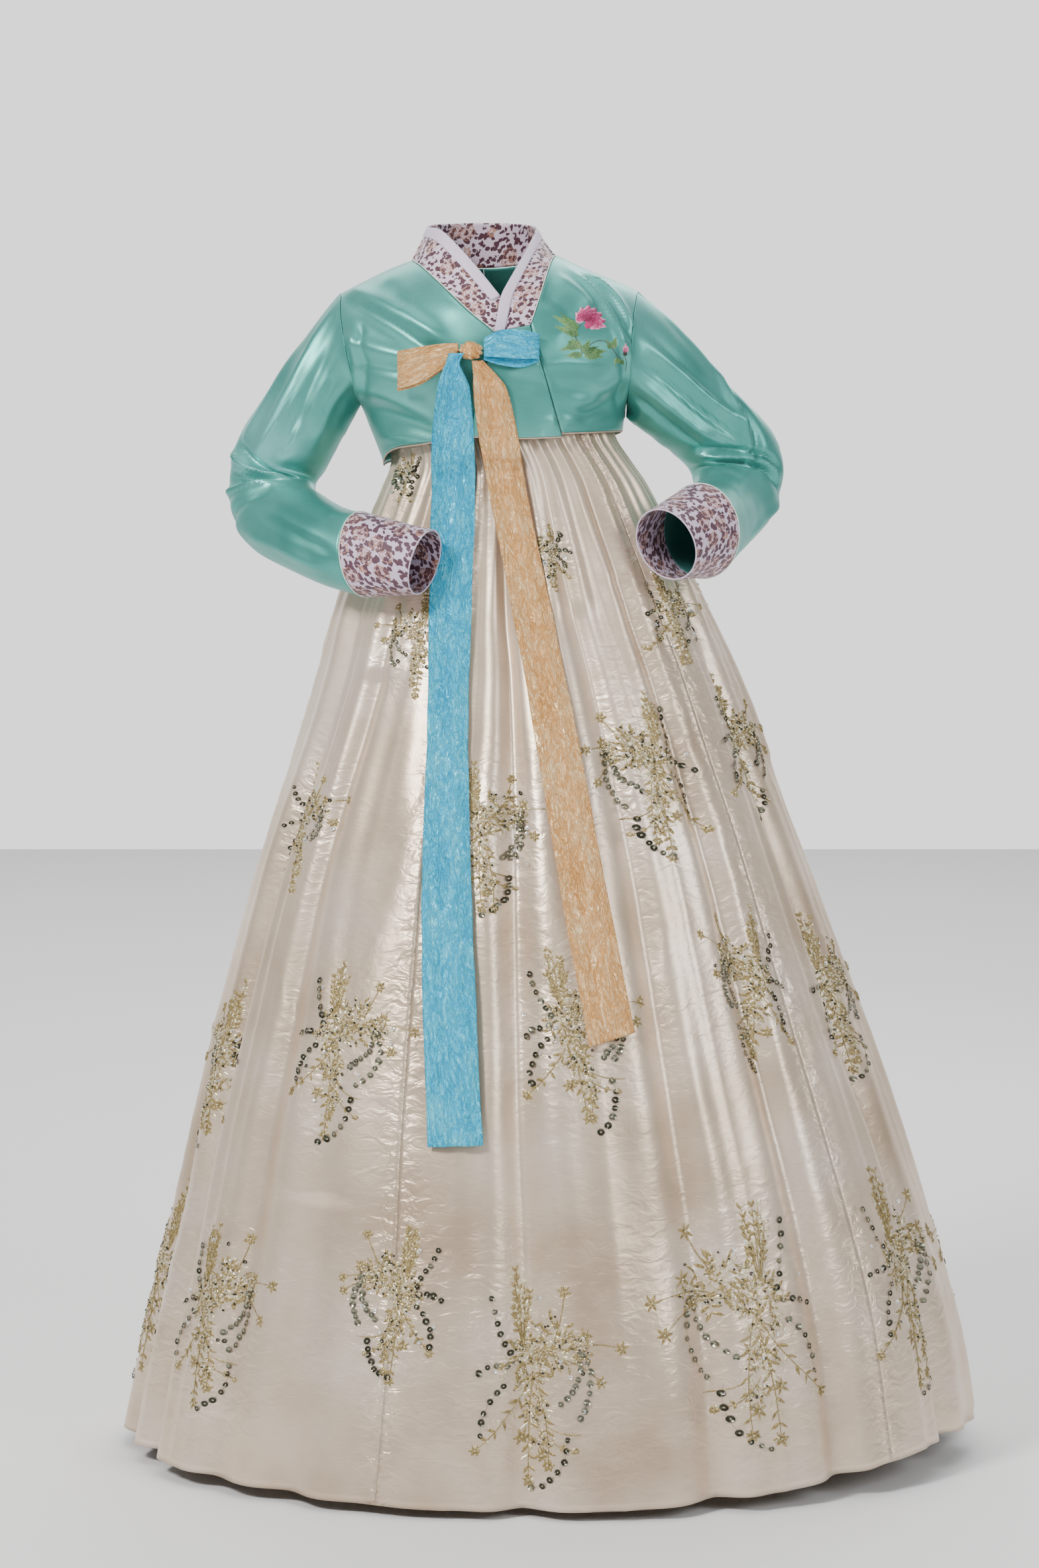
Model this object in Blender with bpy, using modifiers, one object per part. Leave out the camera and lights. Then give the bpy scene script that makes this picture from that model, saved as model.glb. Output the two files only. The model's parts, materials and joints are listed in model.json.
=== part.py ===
"""Korean hanbok, worn: a cropped wrapped jacket over a full gathered skirt, kept in the wearer's pose.

Heights are written above the floor that the hem nearly touches. The whole garment hangs from one empty,
so that the origin is between the wearer's shoulders. The front faces -Y and +X is the viewer's right.
"""
import math
from collections import namedtuple

import bmesh
import bpy
from mathutils import Vector

# Driving dimensions
SHOULDER_HEIGHT = 1.355
SEAM_GAP = 0.0003
# Curved walls lean towards each other inside a seam, so their outer edges stand this far apart
PANEL_GAP = 0.0008
NECK_GAP = 0.0010
ARMHOLE_GAP = 0.0010
CUFF_GAP = 0.0009
JACKET_WALL = 0.0014
COLLAR_WALL = 0.0014
STRIP_WALL = 0.0010
SKIRT_WALL = 0.0012
BAND_WALL = 0.0016
RIBBON_WALL = 0.0012
CUFF_WALL = 0.0016

# How far the upper front layer lies outside the lower one, and where that runs out
LAP_DEPTH = 0.0044
LAP_FULL_TO_X = 0.062
LAP_GONE_AT_X = 0.135
LAP_FADE_DROP = 0.045

# Drop below the shoulder ridge at which the chest and the back reach their full depth
CHEST_ROUND = 0.150
BACK_ROUND = 0.120
# Both layers lie flat on the shoulder ridge for this much of the drop
RIDGE_FLAT = 0.0015

TorsoRing = namedtuple("TorsoRing", "height centre half_width chest_depth back_depth power")
TORSO = [
    TorsoRing(1.100, 0.0105, 0.1340, 0.1110, 0.0980, 2.0),
    TorsoRing(1.120, 0.0085, 0.1360, 0.1120, 0.0990, 2.0),
    TorsoRing(1.140, 0.0060, 0.1405, 0.1130, 0.1000, 2.0),
    TorsoRing(1.160, 0.0035, 0.1460, 0.1145, 0.1010, 2.0),
    TorsoRing(1.186, 0.0000, 0.1530, 0.1165, 0.1020, 2.1),
    TorsoRing(1.215, -0.0020, 0.1690, 0.1180, 0.1040, 2.5),
    TorsoRing(1.250, -0.0030, 0.1790, 0.1190, 0.1050, 3.0),
    TorsoRing(1.300, -0.0040, 0.1870, 0.1190, 0.1050, 3.0),
    TorsoRing(1.420, -0.0040, 0.1900, 0.1190, 0.1050, 3.0),
]

RidgePoint = namedtuple("RidgePoint", "x height")
SHOULDER_RIDGE = [
    RidgePoint(-0.1900, 1.3050),
    RidgePoint(-0.1745, 1.3140),
    RidgePoint(-0.1260, 1.3385),
    RidgePoint(-0.0930, 1.3520),
    RidgePoint(-0.0120, 1.3850),
    RidgePoint(0.0700, 1.3580),
    RidgePoint(0.1030, 1.3430),
    RidgePoint(0.1485, 1.3245),
    RidgePoint(0.1650, 1.3160),
    RidgePoint(0.1900, 1.3020),
]

# Armhole seams seen from the front, from the armpit to the shoulder tip
ARMHOLE_VIEWER_LEFT = [
    RidgePoint(-0.1520, 1.1860),
    RidgePoint(-0.1578, 1.2080),
    RidgePoint(-0.1665, 1.2430),
    RidgePoint(-0.1740, 1.2880),
    RidgePoint(-0.1745, 1.3140),
]
ARMHOLE_VIEWER_RIGHT = [
    RidgePoint(0.1518, 1.1720),
    RidgePoint(0.1535, 1.2080),
    RidgePoint(0.1560, 1.2400),
    RidgePoint(0.1600, 1.2880),
    RidgePoint(0.1650, 1.3160),
]

HemPoint = namedtuple("HemPoint", "angle height")
JACKET_HEM_RIGHT_FRONT = [
    HemPoint(-90, 1.1170),
    HemPoint(-60, 1.1360),
    HemPoint(-37, 1.1425),
    HemPoint(-12, 1.1510),
    HemPoint(14, 1.1500),
]
JACKET_HEM_LEFT_FRONT = [HemPoint(31, 1.1545), HemPoint(60, 1.1560), HemPoint(90, 1.1570)]
# Where the lower front ends under the overlap, where the overlap piece starts, and its seam
LOWER_FRONT_ANGLE = 14
OVERLAP_ANGLE = -13
OVERLAP_SEAM_ANGLE = 31
SIDE_ANGLE = 90
# How much of a panel's upper edge follows the collar; the rest is its shoulder seam
RIGHT_FRONT_NECK_SHARE = 0.62
LEFT_FRONT_NECK_SHARE = 0.55
BACK_NECK_SHARE = 0.50
JACKET_HEM_OVERLAP = [HemPoint(-13, 1.1510), HemPoint(10, 1.1490), HemPoint(31, 1.1505)]
JACKET_HEM_BACK = [HemPoint(-90, 1.1170), HemPoint(-45, 1.1260), HemPoint(0, 1.1340), HemPoint(45, 1.1450),
                   HemPoint(90, 1.1570)]

# The collar, from its lower end on the upper layer, over the viewer's right shoulder, round the nape
# and down the viewer's left side to its end under the upper layer
CollarStation = namedtuple("CollarStation", "outer_x outer_height face inner_x inner_y inner_height")
COLLAR = [
    CollarStation(0.0420, 1.2760, "front", 0.0015, -0.1206, 1.2680),
    CollarStation(0.0475, 1.2920, "front", 0.0052, -0.1153, 1.2890),
    CollarStation(0.0530, 1.3090, "front", 0.0095, -0.1076, 1.3100),
    CollarStation(0.0600, 1.3320, "front", 0.0240, -0.0880, 1.3370),
    CollarStation(0.0660, 1.3500, "front", 0.0400, -0.0520, 1.3660),
    CollarStation(0.0700, 1.3580, "ridge", 0.0485, -0.0150, 1.3850),
    CollarStation(0.0620, 1.3540, "back", 0.0420, 0.0310, 1.3920),
    CollarStation(0.0300, 1.3480, "back", 0.0180, 0.0590, 1.3955),
    CollarStation(-0.0120, 1.3450, "back", -0.0120, 0.0670, 1.3965),
    CollarStation(-0.0540, 1.3470, "back", -0.0430, 0.0570, 1.3955),
    CollarStation(-0.0850, 1.3500, "back", -0.0680, 0.0280, 1.3930),
    CollarStation(-0.0930, 1.3520, "ridge", -0.0735, -0.0090, 1.3885),
    CollarStation(-0.0800, 1.3425, "front", -0.0560, -0.0480, 1.3820),
    CollarStation(-0.0540, 1.3180, "front", -0.0230, -0.0800, 1.3470),
    CollarStation(-0.0270, 1.2920, "front", 0.0077, -0.1030, 1.3090),
    CollarStation(0.0010, 1.2690, "front", 0.0330, -0.1112, 1.2780),
    CollarStation(0.0230, 1.2460, "front", 0.0500, -0.1143, 1.2560),
]
COLLAR_STEPS = 34
# How far along the collar, in rows of its table, its direction is read
COLLAR_LOOK = 0.25
STRIP_SHARE = 0.30
STRIP_SHARES = [0.0, STRIP_SHARE / 2, STRIP_SHARE]
COLLAR_SHARES = STRIP_SHARES + [(1 + STRIP_SHARE) / 2, 1.0]
STRIP_LIFT = 0.0004
STRIP_LAST_STEP = 30

# A sleeve's rings: the point of the ring nearest the body, the point farthest from it, how far the
# ring's middle lies behind the shoulders, and its half size from front to back
SleeveRing = namedtuple("SleeveRing", "inner_x inner_height outer_x outer_height y half_depth")
SLEEVE_VIEWER_LEFT = [
    SleeveRing(-0.1545, 1.1815, -0.1900, 1.3040, 0.0000, 0.0500),
    SleeveRing(-0.1590, 1.1740, -0.2060, 1.2780, 0.0000, 0.0505),
    SleeveRing(-0.1650, 1.1640, -0.2270, 1.2490, 0.0010, 0.0500),
    SleeveRing(-0.1720, 1.1510, -0.2490, 1.2180, 0.0030, 0.0500),
    SleeveRing(-0.1810, 1.1350, -0.2700, 1.1875, 0.0060, 0.0500),
    SleeveRing(-0.1905, 1.1170, -0.2895, 1.1580, 0.0100, 0.0500),
    SleeveRing(-0.1985, 1.1010, -0.3020, 1.1280, 0.0120, 0.0475),
    SleeveRing(-0.2035, 1.0900, -0.3060, 1.0970, 0.0080, 0.0455),
    SleeveRing(-0.2030, 1.0820, -0.3040, 1.0660, -0.0040, 0.0450),
    SleeveRing(-0.1960, 1.0760, -0.2930, 1.0400, -0.0240, 0.0450),
    SleeveRing(-0.1850, 1.0750, -0.2680, 1.0170, -0.0500, 0.0455),
    SleeveRing(-0.1740, 1.0710, -0.2280, 0.9960, -0.0780, 0.0460),
    SleeveRing(-0.1630, 1.0680, -0.1840, 0.9790, -0.1000, 0.0455),
    SleeveRing(-0.1517, 1.0658, -0.1411, 0.9700, -0.1190, 0.0445),
]
SLEEVE_VIEWER_RIGHT = [
    SleeveRing(0.1545, 1.1680, 0.1800, 1.3060, 0.0000, 0.0500),
    SleeveRing(0.1605, 1.1645, 0.2070, 1.2790, 0.0010, 0.0505),
    SleeveRing(0.1685, 1.1590, 0.2350, 1.2500, 0.0040, 0.0505),
    SleeveRing(0.1800, 1.1510, 0.2612, 1.2190, 0.0090, 0.0500),
    SleeveRing(0.1940, 1.1400, 0.2928, 1.1885, 0.0160, 0.0490),
    SleeveRing(0.2080, 1.1290, 0.3205, 1.1580, 0.0230, 0.0465),
    SleeveRing(0.2205, 1.1170, 0.3350, 1.1270, 0.0260, 0.0430),
    SleeveRing(0.2285, 1.1080, 0.3377, 1.0960, 0.0230, 0.0405),
    SleeveRing(0.2325, 1.1020, 0.3290, 1.0670, 0.0120, 0.0400),
    SleeveRing(0.2345, 1.0990, 0.3070, 1.0400, -0.0100, 0.0405),
    SleeveRing(0.2345, 1.0980, 0.2835, 1.0190, -0.0370, 0.0420),
    SleeveRing(0.2330, 1.0975, 0.2600, 1.0020, -0.0670, 0.0450),
    SleeveRing(0.2306, 1.0971, 0.2420, 0.9900, -0.0960, 0.0450),
]
# The open end of each cuff, written like a sleeve ring
CUFF_END_VIEWER_LEFT = SleeveRing(-0.0666, 1.0465, -0.0868, 0.9738, -0.1520, 0.0360)
CUFF_END_VIEWER_RIGHT = SleeveRing(0.1750, 1.0674, 0.2147, 0.9925, -0.1500, 0.0390)
SLEEVE_COLUMNS = 18
SLEEVE_STEPS = 17
# How far to either side along the sleeve its direction is read
SLEEVE_LOOK = 0.08
CUFF_STEPS = 3

# Creases that the bent elbows press into the sleeves: place along the sleeve (0 at the armhole, 1 at
# the cuff), angle round the ring (0 outside, 90 front, 180 inside), depth and the two half widths
Crease = namedtuple("Crease", "along angle depth half_length half_angle")
CREASES_VIEWER_LEFT = [
    Crease(0.46, 115, 0.0070, 0.050, 50),
    Crease(0.57, 60, 0.0060, 0.045, 44),
    Crease(0.52, 205, 0.0040, 0.050, 44),
    Crease(0.80, 40, 0.0035, 0.060, 44),
]
CREASES_VIEWER_RIGHT = [
    Crease(0.40, 105, 0.0050, 0.060, 50),
    Crease(0.55, 45, 0.0040, 0.070, 48),
    Crease(0.62, 15, 0.0045, 0.045, 44),
    Crease(0.50, 235, 0.0040, 0.050, 44),
]

SkirtRing = namedtuple("SkirtRing", "height centre half_width front_depth back_depth")
SKIRT = [
    SkirtRing(1.1690, 0.0100, 0.1300, 0.1040, 0.0915),
    SkirtRing(1.1500, 0.0105, 0.1310, 0.1050, 0.0920),
    SkirtRing(1.1200, 0.0215, 0.1400, 0.1080, 0.0950),
    SkirtRing(1.0960, 0.0255, 0.1530, 0.1120, 0.1080),
    SkirtRing(1.0200, 0.0290, 0.1880, 0.1250, 0.1420),
    SkirtRing(0.9420, 0.0330, 0.2215, 0.1460, 0.1700),
    SkirtRing(0.8810, 0.0385, 0.2430, 0.1680, 0.1920),
    SkirtRing(0.7580, 0.0430, 0.2850, 0.2120, 0.2320),
    SkirtRing(0.6350, 0.0470, 0.3280, 0.2540, 0.2680),
    SkirtRing(0.5120, 0.0520, 0.3670, 0.2880, 0.3000),
    SkirtRing(0.3880, 0.0580, 0.4065, 0.3220, 0.3300),
    SkirtRing(0.2650, 0.0655, 0.4425, 0.3520, 0.3580),
    SkirtRing(0.1420, 0.0680, 0.4760, 0.3780, 0.3820),
    SkirtRing(0.0000, 0.0665, 0.5045, 0.3980, 0.4000),
]
SKIRT_ROW_HEIGHTS = [1.1690, 1.1400, 1.1080, 1.0650, 1.0000, 0.9100, 0.7900, 0.6500, 0.4900, 0.3300, 0.1600, 0.0000]
# How far the hem lies above or below its level, by the angle round the skirt
SKIRT_HEM_LIFT = [
    HemPoint(-180, -0.006),
    HemPoint(-90, -0.008),
    HemPoint(-60, -0.010),
    HemPoint(-30, -0.015),
    HemPoint(0, -0.017),
    HemPoint(30, -0.008),
    HemPoint(60, 0.012),
    HemPoint(90, 0.006),
    HemPoint(180, -0.006),
]

# Valleys between the gathers: the angle at the waist and at the hem, and the depth at the waist, at
# knee height and at the hem. Each cut width of the skirt starts at one of its seams.
Valley = namedtuple("Valley", "waist_angle hem_angle waist_depth knee_depth hem_depth")
SkirtWidth = namedtuple("SkirtWidth", "name valleys")
SKIRT_WIDTHS = [
    SkirtWidth("skirt_right_front", [
        Valley(-93, -94, 0.005, 0.007, 0.007),
        Valley(-78, -82, 0.006, 0.010, 0.018),
        Valley(-58, -69, 0.007, 0.020, 0.024),
        Valley(-49, -60, 0.005, 0.005, 0.006),
        Valley(-38, -51, 0.007, 0.015, 0.013),
        Valley(-28, -37, 0.006, 0.007, 0.018),
    ]),
    SkirtWidth("skirt_front", [
        Valley(-19, -23, 0.006, 0.006, 0.008),
        Valley(-12, -14, 0.005, 0.006, 0.005),
        Valley(-6, -4, 0.008, 0.022, 0.026),
        Valley(2, 9, 0.005, 0.006, 0.006),
        Valley(13, 22, 0.007, 0.018, 0.024),
        Valley(22, 31, 0.006, 0.007, 0.008),
        Valley(32, 41, 0.007, 0.019, 0.020),
    ]),
    SkirtWidth("skirt_left_front", [
        Valley(45, 50, 0.006, 0.008, 0.008),
        Valley(55, 58, 0.006, 0.006, 0.006),
        Valley(64, 67, 0.007, 0.018, 0.024),
        Valley(76, 79, 0.006, 0.007, 0.012),
        Valley(88, 92, 0.006, 0.014, 0.020),
        Valley(104, 108, 0.006, 0.008, 0.014),
    ]),
    SkirtWidth("skirt_left_back", [
        Valley(119, 122, 0.006, 0.007, 0.008),
        Valley(131, 134, 0.006, 0.013, 0.021),
        Valley(143, 147, 0.006, 0.006, 0.007),
        Valley(155, 158, 0.006, 0.017, 0.024),
        Valley(168, 170, 0.006, 0.007, 0.010),
        Valley(181, 182, 0.006, 0.012, 0.018),
    ]),
    SkirtWidth("skirt_right_back", [
        Valley(194, 194, 0.006, 0.007, 0.008),
        Valley(207, 206, 0.006, 0.015, 0.024),
        Valley(219, 217, 0.006, 0.006, 0.008),
        Valley(231, 229, 0.006, 0.013, 0.018),
        Valley(243, 242, 0.006, 0.008, 0.012),
        Valley(255, 254, 0.006, 0.015, 0.021),
    ]),
]
VALLEY_KNEE_HEIGHT = 0.62
COLUMNS_PER_GATHER = 4

BandRing = namedtuple("BandRing", "height half_width chest_depth back_depth")
CHEST_BAND = [
    BandRing(1.1693, 0.1300, 0.1035, 0.0920),
    BandRing(1.2000, 0.1335, 0.1060, 0.0930),
    BandRing(1.2500, 0.1340, 0.1050, 0.0930),
]
CHEST_BAND_CENTRE = 0.0070
CHEST_BAND_COLUMNS = 30

# The bow
KNOT_X = -0.0245
KNOT_HEIGHT = 1.2470
KNOT_HALF_WIDTH = 0.0140
KNOT_HALF_DEPTH = 0.0095
KNOT_HALF_HEIGHT = 0.0108

# A loop of the bow: how far along from the knot, the upper and the lower edge of the layer in front,
# and the lower edge of the layer behind
LoopSection = namedtuple("LoopSection", "along upper lower lower_behind")
LOOP_PEACH = [
    LoopSection(0.00, 1.2550, 1.2360, 1.2350),
    LoopSection(0.30, 1.2545, 1.2250, 1.2235),
    LoopSection(0.65, 1.2510, 1.2110, 1.2080),
    LoopSection(1.00, 1.2464, 1.2035, 1.2010),
]
LOOP_BLUE = [
    LoopSection(0.00, 1.2590, 1.2400, 1.2370),
    LoopSection(0.30, 1.2692, 1.2395, 1.2310),
    LoopSection(0.70, 1.2700, 1.2375, 1.2280),
    LoopSection(1.00, 1.2660, 1.2380, 1.2350),
]
LOOP_PEACH_LENGTH = 0.0715
LOOP_BLUE_LENGTH = 0.0650
LOOP_HALF_DEPTH = 0.0075
LOOP_STEPS = 16
LOOP_COLUMNS = 3
LOOP_OPEN_ANGLE = 22
# How nearly the layer behind reaches the jacket, as a share of the loop's half depth
LOOP_FLATNESS = 0.92

# The two long ends of the bow, from the knot down: height, middle, width and slope of a crossing line
RibbonSection = namedtuple("RibbonSection", "height x width slope")
RIBBON_BLUE = [
    RibbonSection(1.2440, -0.0405, 0.0170, 0.0),
    RibbonSection(1.2330, -0.0448, 0.0160, 0.0),
    RibbonSection(1.2240, -0.0452, 0.0230, 0.0),
    RibbonSection(1.2050, -0.0443, 0.0375, 0.0),
    RibbonSection(1.1450, -0.0454, 0.0473, 0.0),
    RibbonSection(1.0900, -0.0450, 0.0500, 0.0),
    RibbonSection(0.9600, -0.0480, 0.0480, 0.0),
    RibbonSection(0.8270, -0.0505, 0.0460, 0.0),
    RibbonSection(0.6550, -0.0511, 0.0555, 0.0),
    RibbonSection(0.5100, -0.0470, 0.0590, 0.0),
    RibbonSection(0.3750, -0.0406, 0.0605, 0.06),
]
RIBBON_PEACH = [
    RibbonSection(1.2358, -0.0172, 0.0140, 0.0),
    RibbonSection(1.2180, -0.0080, 0.0290, 0.0),
    RibbonSection(1.2050, -0.0034, 0.0383, 0.0),
    RibbonSection(1.1450, 0.0071, 0.0450, 0.0),
    RibbonSection(1.0900, 0.0165, 0.0430, 0.03),
    RibbonSection(0.9600, 0.0430, 0.0440, 0.08),
    RibbonSection(0.8270, 0.0692, 0.0460, 0.15),
    RibbonSection(0.6550, 0.1001, 0.0490, 0.22),
    RibbonSection(0.4890, 0.1322, 0.0515, 0.28),
]
RIBBON_STEPS = 18
RIBBON_COLUMNS = 4
RIBBON_CLEARANCE = 0.0006
# How far each long end starts in front of the jacket: the blue one passes over the peach loop
RIBBON_BLUE_START = 0.0165
RIBBON_PEACH_START = 0.0060
RIBBON_LEVEL_DROP = 0.0150
# Below the jacket's hem the ribbons stay forward for a little and then fall back on to the skirt
RIBBON_BELOW_HEM = 0.0220
RIBBON_FALL_BACK = 0.5
RIBBON_FALL_DROP = 0.0600
RIBBON_RIPPLE = 0.0015
# The rows of points down a ribbon: partly even, partly closer together near the knot
RIBBON_EVEN_SHARE = 0.35
RIBBON_CLOSE_POWER = 1.6


def smooth_value(keys, values, at):
    """Value at a key on a smooth curve through rising keys; it is level beyond both ends."""
    if at <= keys[0]:
        return values[0]
    if at >= keys[-1]:
        return values[-1]
    index = max(i for i in range(len(keys) - 1) if keys[i] <= at)

    def slope(i):
        low = max(i - 1, 0)
        high = min(i + 1, len(keys) - 1)
        return (values[high] - values[low]) / (keys[high] - keys[low])

    span = keys[index + 1] - keys[index]
    t = (at - keys[index]) / span
    start = (2 * t ** 3 - 3 * t ** 2 + 1) * values[index] + (t ** 3 - 2 * t ** 2 + t) * span * slope(index)
    end = (3 * t ** 2 - 2 * t ** 3) * values[index + 1] + (t ** 3 - t ** 2) * span * slope(index + 1)
    return start + end


def column(rows, name):
    """One named column of a table."""
    return [getattr(row, name) for row in rows]


def row_at(rows, key_name, at):
    """A row of a table, worked out between its rows for a value of its rising or falling key."""
    ordered = sorted(rows, key=lambda row: getattr(row, key_name))
    keys = column(ordered, key_name)
    fields = [smooth_value(keys, column(ordered, name), at) for name in rows[0]._fields]
    return type(rows[0])(*fields)


def row_along(rows, share):
    """A row of a table, worked out at a share of the way from its first row to its last."""
    keys = list(range(len(rows)))
    at = share * (len(rows) - 1)
    return type(rows[0])(*[smooth_value(keys, column(rows, name), at) for name in rows[0]._fields])


def smooth_step(share):
    """A soft ramp from 0 to 1."""
    bounded = min(max(share, 0.0), 1.0)
    return bounded * bounded * (3 - 2 * bounded)


def ridge_height(x):
    """Height of the shoulder ridge over a place across the body."""
    return row_at(SHOULDER_RIDGE, "x", x).height


def cover_depth(x, height, depth_name, round_drop):
    """How far the jacket stands from the shoulders' plane, on the chest or on the back."""
    ring = row_at(TORSO, "height", height)
    across = min(abs(x - ring.centre) / ring.half_width, 1.0)
    round_share = (1.0 - across ** ring.power) ** (1.0 / ring.power)
    drop = min(max(ridge_height(x) - height - RIDGE_FLAT, 0.0) / round_drop, 1.0)
    return getattr(ring, depth_name) * round_share * math.sqrt(1.0 - (1.0 - drop) ** 2)


def lap_depth(x, height):
    """How far the upper front layer stands outside the lower one."""
    across = 1.0 - smooth_step((x - LAP_FULL_TO_X) / (LAP_GONE_AT_X - LAP_FULL_TO_X))
    below_ridge = smooth_step((ridge_height(x) - height) / LAP_FADE_DROP)
    return LAP_DEPTH * across * below_ridge


def chest_point(x, height):
    """A point of the lower front layer."""
    depth = cover_depth(x, height, "chest_depth", CHEST_ROUND)
    return Vector((x, -depth - PANEL_GAP / 2, height))


def upper_chest_point(x, height):
    """A point of the upper front layer."""
    point = chest_point(x, height)
    point.y -= lap_depth(x, height)
    return point


def back_point(x, height):
    """A point of the back."""
    depth = cover_depth(x, height, "back_depth", BACK_ROUND)
    return Vector((x, depth + PANEL_GAP / 2, height))


def hem_point(table, angle):
    """A point of a jacket hem seen from the front, at an angle round the body."""
    height = row_at(table, "angle", angle).height
    ring = row_at(TORSO, "height", height)
    return Vector((ring.centre + ring.half_width * math.sin(math.radians(angle)), height))


def side_edge(armhole, hem_height, side, share):
    """The edge of a body panel seen from the front: the side seam, then the armhole."""
    armpit = armhole[0]
    seam_length = armpit.height - hem_height
    armhole_length = armhole[-1].height - armpit.height
    seam_share = seam_length / (seam_length + armhole_length)
    if share < seam_share:
        height = hem_height + seam_length * share / seam_share
        ring = row_at(TORSO, "height", height)
        return Vector((ring.centre + side * ring.half_width, height))
    along = row_along(armhole, (share - seam_share) / (1.0 - seam_share))
    return Vector((along.x, along.height))


def collar_row(station):
    """The collar's edges at a station, counted in rows of its table: its outer and its inner point."""
    keys = list(range(len(COLLAR)))
    outer_x = smooth_value(keys, column(COLLAR, "outer_x"), station)
    outer_height = smooth_value(keys, column(COLLAR, "outer_height"), station)
    inner = Vector([smooth_value(keys, column(COLLAR, name), station)
                    for name in ("inner_x", "inner_y", "inner_height")])
    ridge_stations = [index for index, row in enumerate(COLLAR) if row.face == "ridge"]
    if station < ridge_stations[0]:
        outer = upper_chest_point(outer_x, outer_height)
    elif station > ridge_stations[1]:
        outer = chest_point(outer_x, outer_height)
    else:
        outer = back_point(outer_x, outer_height)
    return outer, inner


def below_collar(station):
    """A place just outside the collar's outer edge, seen from the front."""
    outer, inner = collar_row(station)
    away = Vector((outer.x - inner.x, outer.z - inner.z)).normalized()
    return Vector((outer.x, outer.z)) + away * NECK_GAP


def neck_and_shoulder(station_from, station_to, armhole, neck_share, share):
    """A panel's upper edge seen from the front: along the collar, then out along the shoulder."""
    if share < neck_share:
        along = share / neck_share
        return below_collar(station_from + (station_to - station_from) * along)
    start = below_collar(station_to)
    tip = armhole[-1]
    x = start.x + (tip.x - start.x) * (share - neck_share) / (1.0 - neck_share)
    return Vector((x, min(ridge_height(x), max(start.y, tip.height))))


def patch(bottom, top, inner, outer, columns, rows, surface):
    """Rows of points over an outline of four edges, each a function of a share from 0 to 1.

    The bottom and the top edge run from the inner edge to the outer one, and both sides run upwards.
    """
    grid = []
    for v in rows:
        line = []
        for u in columns:
            across = bottom(u) * (1 - v) + top(u) * v
            along = inner(v) * (1 - u) + outer(v) * u
            corners = (bottom(0) * (1 - u) + bottom(1) * u) * (1 - v) + (top(0) * (1 - u) + top(1) * u) * v
            flat = across + along - corners
            line.append(surface(flat.x, flat.y))
        grid.append(line)
    return grid


def round_shares(count, start_angle, end_angle):
    """Shares of a panel's breadth that lie at even angles round the body."""
    start = math.sin(math.radians(start_angle))
    end = math.sin(math.radians(end_angle))
    angles = [start_angle + (end_angle - start_angle) * i / count for i in range(count + 1)]
    return [(math.sin(math.radians(angle)) - start) / (end - start) for angle in angles]


def rising_shares(armhole, hem_height, seam_rows):
    """Shares of a body panel's height: some up the side seam, then those of the sleeve's first ring."""
    seam_length = armhole[0].height - hem_height
    seam_share = seam_length / (armhole[-1].height - hem_height)
    below = [seam_share * i / seam_rows for i in range(seam_rows)]
    half_turn = SLEEVE_COLUMNS // 2
    above = [(1 - math.cos(math.pi * i / half_turn)) / 2 for i in range(half_turn + 1)]
    return below + [seam_share + (1 - seam_share) * share for share in above]


def finish(name, colour, roughness):
    """A plain cloth material."""
    material = bpy.data.materials.new(name)
    material.use_nodes = True
    shader = material.node_tree.nodes["Principled BSDF"]
    shader.inputs["Base Color"].default_value = (*colour, 1.0)
    shader.inputs["Roughness"].default_value = roughness
    shader.inputs["Metallic"].default_value = 0.0
    return material


def place(mesh_object, material, collection, origin):
    """Puts an object in the garment's collection, hung from its origin."""
    mesh_object.data.materials.append(material)
    mesh_object.data.shade_smooth()
    collection.objects.link(mesh_object)
    mesh_object.parent = origin
    return mesh_object


def cloth(name, grid, wall, behind, garment, material, closed=False):
    """A sheet of cloth through rows of points, thickened away from its outer face.

    The point behind lies on the sheet's inner side. A closed sheet joins the ends of its rows.
    """
    mesh = bpy.data.meshes.new(name)
    width = len(grid[0])
    steps = width if closed else width - 1
    points = [point for line in grid for point in line]
    faces = []
    for row in range(len(grid) - 1):
        for index in range(steps):
            near = row * width + index
            beside = row * width + (index + 1) % width
            faces.append((near, beside, beside + width, near + width))
    mesh.from_pydata(points, [], faces)
    middle = mesh.polygons[(len(grid) - 1) // 2 * steps + steps // 2]
    if middle.normal.dot(middle.center - behind) < 0:
        mesh.flip_normals()
    sheet = bpy.data.objects.new(name, mesh)
    solidify = sheet.modifiers.new("wall", "SOLIDIFY")
    solidify.thickness = wall
    solidify.offset = -1.0
    solidify.use_even_offset = False
    return place(sheet, material, *garment)


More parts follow.
